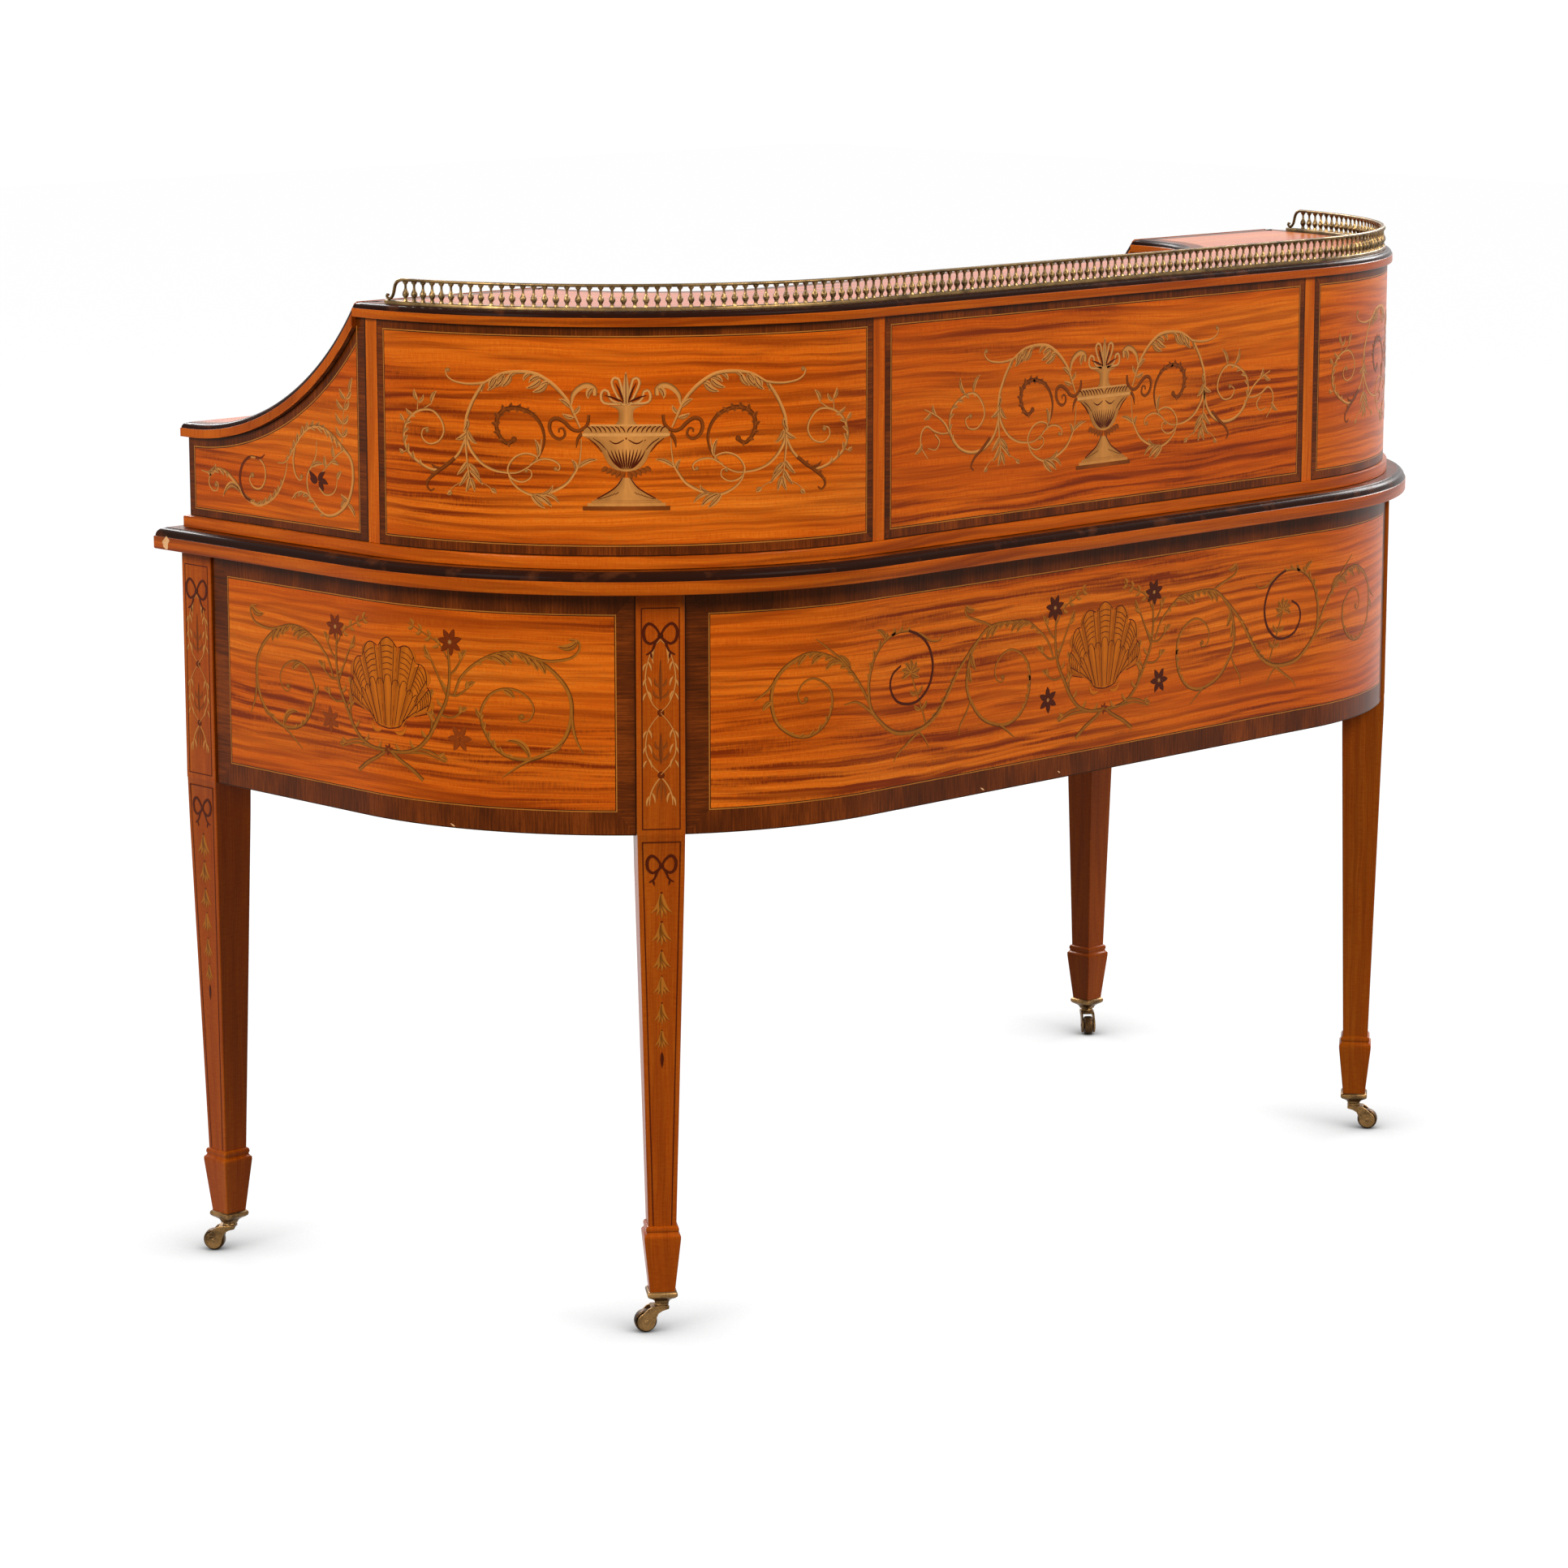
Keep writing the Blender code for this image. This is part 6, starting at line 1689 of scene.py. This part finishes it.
def end_tree(tree, geometry, finish):
    whole = tree.add("GeometryNodeRealizeInstances", None, {"Geometry": geometry})
    dressed = tree.add("GeometryNodeSetMaterial", None, {"Geometry": whole, "Material": finish})
    tree.add("NodeGroupOutput", None, {"Geometry": dressed})


STAMP_SPACING, STAMP_SIZE, STAMP_PROUD, STAMP_SLIMNESS = 0.0105, 0.0031, 0.0001, 0.36


def stamp_tree(tree):
    """A four-pointed gilt stamp at each step along the line."""
    values = {"Spacing": STAMP_SPACING, "Size": STAMP_SIZE, "Proud": STAMP_PROUD}
    at = sized_inputs(tree, values)
    path = tree.add("GeometryNodeMeshToCurve", None, {"Mesh": at["Geometry"]})
    points, turn = tree.add("GeometryNodeCurveToPoints", {"mode": "LENGTH"},
                            {"Curve": path, "Length": at["Spacing"]}, ("Points", "Rotation"))
    petal = tree.add("GeometryNodeMeshCircle", {"fill_type": "NGON"},
        {"Vertices": 4, "Radius": at["Size"]})
    slim = tree.add("GeometryNodeTransform", None, {"Geometry": petal,
        "Scale": (1.0, STAMP_SLIMNESS, 1.0)})
    turned = tree.add("GeometryNodeTransform", None, {"Geometry": slim, "Rotation": (0.0, 0.0, pi / 2)})
    both = tree.add("GeometryNodeJoinGeometry", None, {0: [slim, turned]})
    thick = tree.add("GeometryNodeExtrudeMesh", None,
                     {"Mesh": both, "Offset Scale": at["Proud"], "Individual": False})
    under = tree.add("GeometryNodeFlipFaces", None, {"Mesh": both})
    closed = tree.add("GeometryNodeJoinGeometry", None, {0: [thick, under]})
    solid = tree.add("GeometryNodeMergeByDistance", None, {"Geometry": closed, "Distance": 0.00001})
    stamps = tree.add("GeometryNodeInstanceOnPoints", None,
                      {"Points": points, "Instance": solid, "Rotation": turn})
    flat = tree.add("GeometryNodeRotateInstances", None,
        {"Instances": stamps, "Rotation": (0.0, pi / 2, 0.0)})
    end_tree(tree, flat, GILT)
    return values


LEATHER_EASE, GILT_SUNK = 0.0004, 0.00002
GILT_LINES = [(9, 0.8), (24, 0.8), (26.5, 0.4)]  # inset and width in millimetres
STAMP_INSET = 16.5


def leather_corners(inset):
    """The corners of a line set in from the leather's edge, in millimetres."""
    x0, x1 = LEATHER_LOW.x / MM + inset, LEATHER_HIGH.x / MM - inset
    y0, y1 = LEATHER_LOW.y / MM + inset, LEATHER_HIGH.y / MM - inset
    return [(x0, y0), (x1, y0), (x1, y1), (x0, y1)]


def add_leather():
    top = LEATHER_HIGH.z
    piece = Piece("writing_leather_sheet")
    piece.block(LEATHER_LOW, LEATHER_HIGH, LEATHER, ease=LEATHER_EASE)
    piece.done("desk", "leather", "writing_leather")
    on_leather = lambda x, y, depth: Vector((x, y, top - 0.3 * depth - GILT_SUNK))
    tooling = Marquetry("leather_gilt_lines", on_leather)
    for inset, width in GILT_LINES:
        corners = leather_corners(inset)
        for a, b in zip(corners, corners[1:] + corners[:1]):
            tooling.ribbon([Vector((*a, width)), Vector((*b, width))], GILT)
    tooling.piece.done("desk", "leather")
    corners = [Vector((x * MM, y * MM, top)) for x, y in leather_corners(STAMP_INSET)]
    pattern_on_path("leather_gilt_stamps", corners, stamp_tree, "desk", "leather", closed=True)


add_doors()
add_drawer_fronts()
add_leather()


# Brass gallery

GALLERY_LINE = Outline(CORNER_RADIUS - 0.0105)
GALLERY_END = GALLERY_LINE.run_at(radians(8))
STRIP_END = GALLERY_END + 0.0185
STRIP_TOP, RAIL_BOTTOM, RAIL_TOP = 0.946, 0.9635, GALLERY_HIGH.z
RAIL_MIDDLE = (RAIL_BOTTOM + RAIL_TOP) / 2
STRIP_HALF, RAIL_HALF, RAIL_SIDES = 0.003, 0.002, 10
BAND_STEP, BALUSTER_LINE_STEP = 0.008, 0.004
BALUSTER_PITCH, BALUSTER_BELLY, BALUSTER_SUNK = 0.010, 0.0030, 0.0004
BALUSTER = [(0.0, 0.82), (0.05, 0.84), (0.10, 0.48), (0.18, 0.52), (0.34, 1.0), (0.46, 0.86),
            (0.62, 0.42), (0.76, 0.36), (0.86, 0.46), (0.91, 0.80), (1.0, 0.90)]
# The scrolled end as (millimetres past the rail's end, share of the drop to the strip)
SCROLL = [(-3.0, 0.0), (1.2, 0.02), (5.0, 0.12), (7.4, 0.30), (8.6, 0.52), (9.8, 0.74), (12.2, 0.92),
          (15.2, 0.98), (17.6, 0.90), (17.4, 0.78), (15.8, 0.80)]
SCROLL_STEP, SCROLL_SIDES, SCROLL_THICK, SCROLL_TIP = 0.0012, 8, 0.0017, 0.0012


def gallery_runs(end, step):
    count = ceil(2 * end / step)
    return [-end + 2 * end * i / count for i in range(count + 1)]


def gallery_band(piece, end, section):
    """A bar along the gallery with a section of (out, height)."""
    rings = [[GALLERY_LINE.place(run, z, -out) for out, z in section] for run in gallery_runs(end,
        BAND_STEP)]
    piece.loft(rings, BRASS)


def gallery_scroll(piece, side):
    """The end of the rail: over a shoulder, down in a curve, and out to a small curled tip."""
    drop = RAIL_MIDDLE - STRIP_TOP - 0.0008
    line = flowing([(past * MM, RAIL_MIDDLE - share * drop) for past, share in SCROLL], SCROLL_STEP)
    rings = []
    for i, (s, z) in enumerate(line):
        along = (line[min(i + 1, len(line) - 1)] - line[max(i - 1, 0)]).normalized()
        thick = SCROLL_THICK + (SCROLL_TIP - SCROLL_THICK) * i / len(line)
        wide = RAIL_HALF * (1 - 0.25 * i / len(line))
        ring = []
        for k in range(SCROLL_SIDES):
            turn = 2 * pi * (k + 0.5) / SCROLL_SIDES
            out, over = wide * cos(turn), thick * sin(turn)
            run = GALLERY_END + s - along.y * over
            ring.append(GALLERY_LINE.place(side * run, z + along.x * over, -out))
        rings.append(ring)
    piece.loft(rings, BRASS)


def baluster_tree(tree):
    """A turned baluster at each step along the line."""
    values = {"Spacing": BALUSTER_PITCH, "Height": RAIL_BOTTOM - STRIP_TOP + 2 * BALUSTER_SUNK,
              "Belly": BALUSTER_BELLY}
    at = sized_inputs(tree, values)
    path = tree.add("GeometryNodeMeshToCurve", None, {"Mesh": at["Geometry"]})
    points = tree.add("GeometryNodeResampleCurve", {"mode": "LENGTH"},
        {"Curve": path, "Length": at["Spacing"]})
    top = tree.add("ShaderNodeCombineXYZ", None, {"Z": at["Height"]})
    stem = tree.add("GeometryNodeCurvePrimitiveLine", None, {"End": top})
    stem = tree.add("GeometryNodeResampleCurve", {"mode": "COUNT"}, {"Curve": stem, "Count": 14})
    share = tree.add("GeometryNodeSplineParameter", out="Factor")
    swell = tree.add("ShaderNodeFloatCurve", {"curve": BALUSTER}, {"Value": share})
    stem = tree.add("GeometryNodeSetCurveRadius", None, {"Curve": stem, "Radius": swell})
    ring = tree.add("GeometryNodeCurvePrimitiveCircle", None, {"Resolution": 8, "Radius": at["Belly"]})
    body = tree.add("GeometryNodeCurveToMesh", None,
                    {"Curve": stem, "Profile Curve": ring, "Scale": swell, "Fill Caps": True})
    posts = tree.add("GeometryNodeInstanceOnPoints", None, {"Points": points, "Instance": body})
    end_tree(tree, posts, BRASS)
    return values


def add_gallery():
    piece = Piece("gallery_rail_and_strip")
    half_strip = [(STRIP_HALF, GALLERY_LOW.z), (STRIP_HALF, STRIP_TOP - 0.0012),
                  (STRIP_HALF - 0.0005, STRIP_TOP - 0.0004), (STRIP_HALF - 0.0011, STRIP_TOP)]
    gallery_band(piece, STRIP_END, half_strip + [(-out, z) for out, z in reversed(half_strip)])
    turns = [2 * pi * (k + 0.5) / RAIL_SIDES for k in range(RAIL_SIDES)]
    rail = [(1.06 * RAIL_HALF * cos(t),
        RAIL_MIDDLE + 1.02 * (RAIL_TOP - RAIL_MIDDLE) * sin(t)) for t in turns]
    gallery_band(piece, GALLERY_END, rail)
    for side, _ in HANDS:
        gallery_scroll(piece, side)
    piece.done("desk", "brass", "gallery", crease=BRASS_CREASE)
    runs = gallery_runs(GALLERY_END - 0.5 * BALUSTER_PITCH, BALUSTER_LINE_STEP)
    path = [GALLERY_LINE.place(run, STRIP_TOP - BALUSTER_SUNK) for run in runs]
    pattern_on_path("gallery_balusters", path, baluster_tree, "desk", "brass")


add_gallery()


# Casters, in millimetres

TRAIL, WHEEL_RADIUS, CHEEK = 15.0, 10.5, 8.4
CASTER_TURNS = {"front_right": -50, "back_right": -35, "back_left": 125, "front_left": 48}
CUP = [(6.2, 27.8), (6.6, 29.2), (7.6, 31.0), (9.8, 32.6), (12.0, 33.8), (13.4, 35.0), (14.0, 36.4),
       (14.0, 37.8), (13.5, 39.0), (12.6, 39.7), (12.2, 40.1), (11.9, 40.1), (11.8, 37.4)]
CUP_EASE = 0.0012
HORN = [(-6.2, 25.2), (4.0, 25.2), (9.2, 24.6), (13.4, 22.6)]
HORN += [(TRAIL + CHEEK * cos(radians(a)), WHEEL_RADIUS + CHEEK * sin(radians(a))) for a in range(72,
    -164, -21)]
HORN += [(5.4, 14.6), (3.6, 18.4), (-0.8, 21.1), (-6.2, 22.6)]
HORN_CHEEKS = [(5.6, 0.97), (5.9, 1.0), (7.4, 1.0), (7.8, 0.95)]  # distance out and size
HORN_BRIDGE = Vector((-6.0, -7.6, 22.2)) * MM, Vector((10.5, 7.6, 24.9)) * MM
BRIDGE_EASE = 0.0008
PINTLE = [(0, 23.8), (6.4, 23.8), (6.8, 25.2), (6.6, 26.6), (6.0, 27.4), (2.6, 27.5), (2.5, 34.0),
    (0, 34.5)]
HALF_AXLE = [(0, 8.5), (1.6, 8.4), (2.2, 8.0), (2.2, 7.6), (1.8, 7.5)]
HALF_WHEEL = [(2.3, 4.8), (3.6, 4.8), (4.0, 4.4), (4.8, 4.0), (7.4, 4.0), (8.2, 4.5), (9.2, 4.7),
              (10.1, 4.0), (10.5, 2.6), (10.55, 1.0)]


def mirrored(half):
    """A turned profile with its own reflection after it."""
    return half + [(radius, -height) for radius, height in reversed(half) if height]


def add_casters():
    outline = [Vector(p) * MM for p in HORN]
    middle = sum(outline, Vector((0, 0))) / len(outline)
    axle = facing((TRAIL * MM, 0, WHEEL_RADIUS * MM))
    for end, hand, side in LEGS:
        label = f"{end}_{hand}"
        at = leg_stance(end, hand, side)
        cup = Piece(f"caster_cup_{label}_flared")
        cup.loft([square_ring(half * MM, z * MM, CUP_EASE) for half, z in CUP], CASTER_BRASS)
        cup.done("desk", "brass", f"caster_cup_{label}", at=at)
        trail = Matrix.Translation(at.translation) @ Matrix.Rotation(radians(CASTER_TURNS[label]), 4,
            "Z")
        horn = Piece(f"caster_horn_{label}_cast")
        for sign in (-1, 1):
            rings = []
            for y, size in HORN_CHEEKS:
                cheek = [middle + (p - middle) * size for p in outline]
                rings.append([Vector((p.x, sign * y * MM, p.y)) for p in cheek])
            horn.loft(rings, CASTER_BRASS)
        horn.block(*HORN_BRIDGE, CASTER_BRASS, ease=BRIDGE_EASE)
        horn.turned(PINTLE, CASTER_BRASS, steps=20)
        horn.turned(mirrored(HALF_AXLE), CASTER_BRASS, axle, 14)
        horn.done(f"caster_{label}", "brass", f"caster_horn_{label}", at=trail)
        wheel = Piece(f"caster_wheel_{label}_turned")
        wheel.turned(mirrored(HALF_WHEEL), WHEEL_BRASS, axle, 28, looped=True)
        wheel.done(f"wheel_{label}", "brass", f"caster_wheel_{label}", at=trail)


add_casters()


# Handles and knobs

PLATE_HALF_WIDTH, PLATE_HALF_HEIGHT, PLATE_SIDES = 0.039, 0.023, 48
PLATE = [(0.995, 0.0), (1.0, 0.4), (0.985, 0.9), (0.955, 1.1), (0.93, 0.8), (0.90, 0.8), (0.86, 1.3),
         (0.80, 1.4), (0.45, 1.3), (0.22, 1.8), (0.10, 2.0)]  # share of the oval, and millimetres out
BEADS, BEAD_RING, BEAD_FOOT = 40, 0.915, 0.0007
BEAD = [(1.1, 0), (0.9, 0.6), (0, 0.9)]
POST_X, POST_FOOT = 0.030, 0.0006
POST = [(0, 0), (5.2, 0), (5.2, 1.4), (4.2, 2.2), (3.0, 3.4), (2.9, 5.4), (3.8, 6.6), (4.2, 8.8),
        (3.8, 10.6), (2.4, 11.7), (0, 12.0)]
BAIL_OUT, BAIL_DROP, BAIL_ROD, BAIL_STEP = 0.0097, 0.0235, 0.0013, 0.0016
ARM = POST_X - 0.0057
HALF_BAIL = [(POST_X, 0.0), (ARM + 0.0004, 0.0), (ARM - 0.0026, -0.0030), (ARM - 0.0034, -0.0085),
             (ARM - 0.0022, -0.0130), (0.78 * ARM, -0.0190), (0.46 * ARM, -0.0226),
             (0.14 * ARM, -BAIL_DROP)]
HALF_GRIP = [(0, 4.2), (1.4, 4.2), (1.8, 3.4), (1.6, 2.6), (2.1, 1.2), (2.2, 0.0)]
KNOB = [(0, 12.5), (1.6, 12.4), (3.4, 12.0), (4.8, 11.0), (5.5, 9.7), (5.5, 8.8), (4.8, 7.6),
    (3.6, 6.5),
        (2.7, 5.4), (2.4, 4.4), (2.5, 3.0), (2.7, 2.1), (3.4, 1.8), (4.2, 1.2), (4.3, 0.4), (4.3, 0),
        (0, 0)]


def add_handle(label, drawer):
    low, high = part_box(f"handle_plate_{label}")
    x, z, back = (low.x + high.x) / 2, (low.z + high.z) / 2, high.y

    def oval(share, sides, out):
        turns = [2 * pi * i / sides for i in range(sides)]
        return [Vector((x + PLATE_HALF_WIDTH * share * cos(t), back - out,
                        z + PLATE_HALF_HEIGHT * share * sin(t))) for t in turns]

    plate = Piece(f"handle_plate_{label}_stamped")
    plate.loft([oval(share, PLATE_SIDES, out * MM) for share, out in PLATE], BRASS)
    for place in oval(BEAD_RING, BEADS, BEAD_FOOT):
        plate.turned(BEAD, BRASS, facing(place), 6)
    for sign in (-1, 1):
        plate.turned(POST, BRASS, facing((x + sign * POST_X, back - POST_FOOT, z)), 18)
    plate.done(drawer, "brass", f"handle_plate_{label}")
    axis_y = back - BAIL_OUT
    line = flowing(HALF_BAIL + [(-a, b) for a, b in reversed(HALF_BAIL)], BAIL_STEP)
    bail = Piece(f"handle_bail_{label}_drawn")
    bail.rod([Vector((x + p.x, axis_y, z + p.y)) for p in line], BAIL_ROD, BRASS, Vector((0, 1, 0)))
    bail.turned(mirrored(HALF_GRIP), BRASS, facing((x, axis_y, z - BAIL_DROP), "Y"), 14)
    bail.done(f"bail_{label}", "brass", f"handle_bail_{label}")


def add_knob(name, at, body):
    knob = Piece(f"{name}_turned")
    knob.turned(KNOB, BRASS, at)
    knob.done(body, "brass", name, crease=BRASS_CREASE)


def add_knobs():
    for number in (1, 2, 3):
        low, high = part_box(f"small_knob_{number}")
        add_knob(f"small_knob_{number}", facing(((low.x + high.x) / 2, high.y, (low.z + high.z) / 2)),
                 f"small_drawer_{number}")
    for side, hand in HANDS:
        low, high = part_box(f"{hand}_door_knob")
        middle = (low + high) / 2
        way = Vector((abs(middle.x) - DOOR_X, middle.y - DOOR_Y)).normalized()
        reach = DOOR_RADIUS - GAP
        base = Vector((side * (DOOR_X + reach * way.x), DOOR_Y + reach * way.y, middle.z))
        aim = Vector((-side * way.x, -way.y, 0)).to_track_quat("Z", "Y").to_matrix().to_4x4()
        add_knob(f"{hand}_door_knob", Matrix.Translation(base) @ aim, f"{hand}_door")


for label, drawer in (("centre_left", "centre_drawer"), ("centre_right", "centre_drawer"),
                      ("right", "right_drawer"), ("left", "left_drawer")):
    add_handle(label, drawer)
add_knobs()


# Boards of the frame that show as they are

CARCASE_BOARDS = ("right_bay_frame", "left_bay_frame", "kneehole_board", "right_wing_case",
                  "left_wing_case", "pigeonhole_frame")
for names, finish in ((CARCASE_BOARDS, CARCASE), (LARGE_DRAWERS + SMALL_DRAWERS, DRAWER_LINING)):
    for name in names:
        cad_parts[name].data.materials.clear()
        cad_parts[name].data.materials.append(finish)


# Stage, light and camera

FLOOR_HALF, FLOOR_GREY = 14.0, 0.16
# How far, and towards which lamps, the floor's painted shadow looks for occlusion
SHADOW_REACH = 0.15
SHADOW_WAYS = ((0.0, 0.0, 1.0), (0.92, 0.06, 0.38), (-0.14, 0.92, 0.38))
FLOOR_WHITE, WORLD_WHITE, WORLD_LIGHT = 1.08, 1.06, 0.2
WHITE = (1.0, 1.0, 1.0, 1.0)
LAMP_SIZE = 2.2
LAMPS = (("key_softbox", (-0.6, 4.0, 3.7), 0.5, 235), ("fill_softbox", (4.6, 0.3, 3.2), 0.5, 235),
         ("front_softbox", (-1.2, -4.4, 3.4), 0.6, 230), ("far_softbox", (-4.8, -0.6, 3.2), 0.5, 190))
CAMERA_PLACE, CAMERA_AZIMUTH, CAMERA_PITCH = (3.36935, 3.24777,
    1.31384), radians(45.155), radians(10.864)
CAMERA_LENS, CAMERA_SENSOR = 107.694, 36.0


def add_floor():
    """A pale floor that the camera sees as white. Its shadow is mostly painted: occlusion looked for
    towards the lamps darkens the white, and a tenth of real diffuse shadow is mixed in.
    """
    f = Finish("pale_floor_painted_shadow")
    f.finished(Base_Color=(FLOOR_GREY, FLOOR_GREY, FLOOR_GREY), Roughness=0.9, Specular_IOR_Level=0.1)
    near = None
    # Painted shadow: occlusion towards each lamp darkens the white that the camera sees
    for toward in SHADOW_WAYS:
        way = f.add("ShaderNodeCombineXYZ", None, dict(zip("XYZ", toward)))
        open_to = f.add("ShaderNodeAmbientOcclusion", {"samples": 8},
                        {"Distance": SHADOW_REACH, "Normal": way}, "AO")
        near = open_to if near is None else near * open_to
    pale = f.add("ShaderNodeBsdfDiffuse", None, {"Color": (0.95, 0.95, 0.95, 1)})
    painted_shadow_white = f.mix(near, (0.0, 0.0, 0.0), (1.0, 1.0, 1.0))
    white = f.add("ShaderNodeEmission", None, {"Color": painted_shadow_white, "Strength": FLOOR_WHITE})
    soft = f.add("ShaderNodeMixShader", None, {0: 0.9, 1: pale, 2: white})
    plain = Wire(f, f.shader.outputs[0])
    both = f.add("ShaderNodeMixShader", None, {0: f.looked_at(), 1: plain, 2: soft})
    f.join(f.nodes.nodes["Material Output"].inputs["Surface"], both)
    piece = Piece("studio_floor")
    corners = ((-1, -1), (1, -1), (1, 1), (-1, 1))
    piece.face([piece.point((x * FLOOR_HALF, y * FLOOR_HALF, 0)) for x, y in corners], f.material)
    data = bpy.data.meshes.new("studio_floor")
    piece.mesh.to_mesh(data)
    data.materials.append(f.material)
    floor = bpy.data.objects.new("studio_floor", data)
    bpy.context.scene.collection.objects.link(floor)


def add_world():
    world = bpy.data.worlds.new("white_studio")
    bpy.context.scene.world = world
    world.use_nodes = True
    t = Tree(world.node_tree)
    white = t.add("ShaderNodeBackground", None, {"Color": WHITE, "Strength": WORLD_WHITE})
    soft = t.add("ShaderNodeBackground", None, {"Color": WHITE, "Strength": WORLD_LIGHT})
    both = t.add("ShaderNodeMixShader", None, {0: t.looked_at(), 1: soft, 2: white})
    t.join(world.node_tree.nodes["World Output"].inputs["Surface"], both)


def placed(name, data, place, way):
    """A lamp or camera at a place, looking along a way."""
    holder = bpy.data.objects.new(name, data)
    bpy.context.scene.collection.objects.link(holder)
    holder.location = place
    holder.rotation_euler = way.to_track_quat("-Z", "Y").to_euler()
    return holder


def add_lamps():
    for name, place, aim_height, power in LAMPS:
        lamp = bpy.data.lights.new(name, "AREA")
        lamp.shape, lamp.size, lamp.energy = "DISK", LAMP_SIZE, power
        placed(name, lamp, place, Vector((0, 0, aim_height)) - Vector(place))


def add_camera():
    camera = bpy.data.cameras.new("photo_camera")
    camera.sensor_width, camera.lens = CAMERA_SENSOR, CAMERA_LENS
    level = cos(CAMERA_PITCH)
    way = Vector((-cos(CAMERA_AZIMUTH) * level, -sin(CAMERA_AZIMUTH) * level, -sin(CAMERA_PITCH)))
    bpy.context.scene.camera = placed("photo_camera", camera, CAMERA_PLACE, way)


add_floor()
add_world()
add_lamps()
add_camera()
bpy.context.scene.view_settings.view_transform = "Standard"
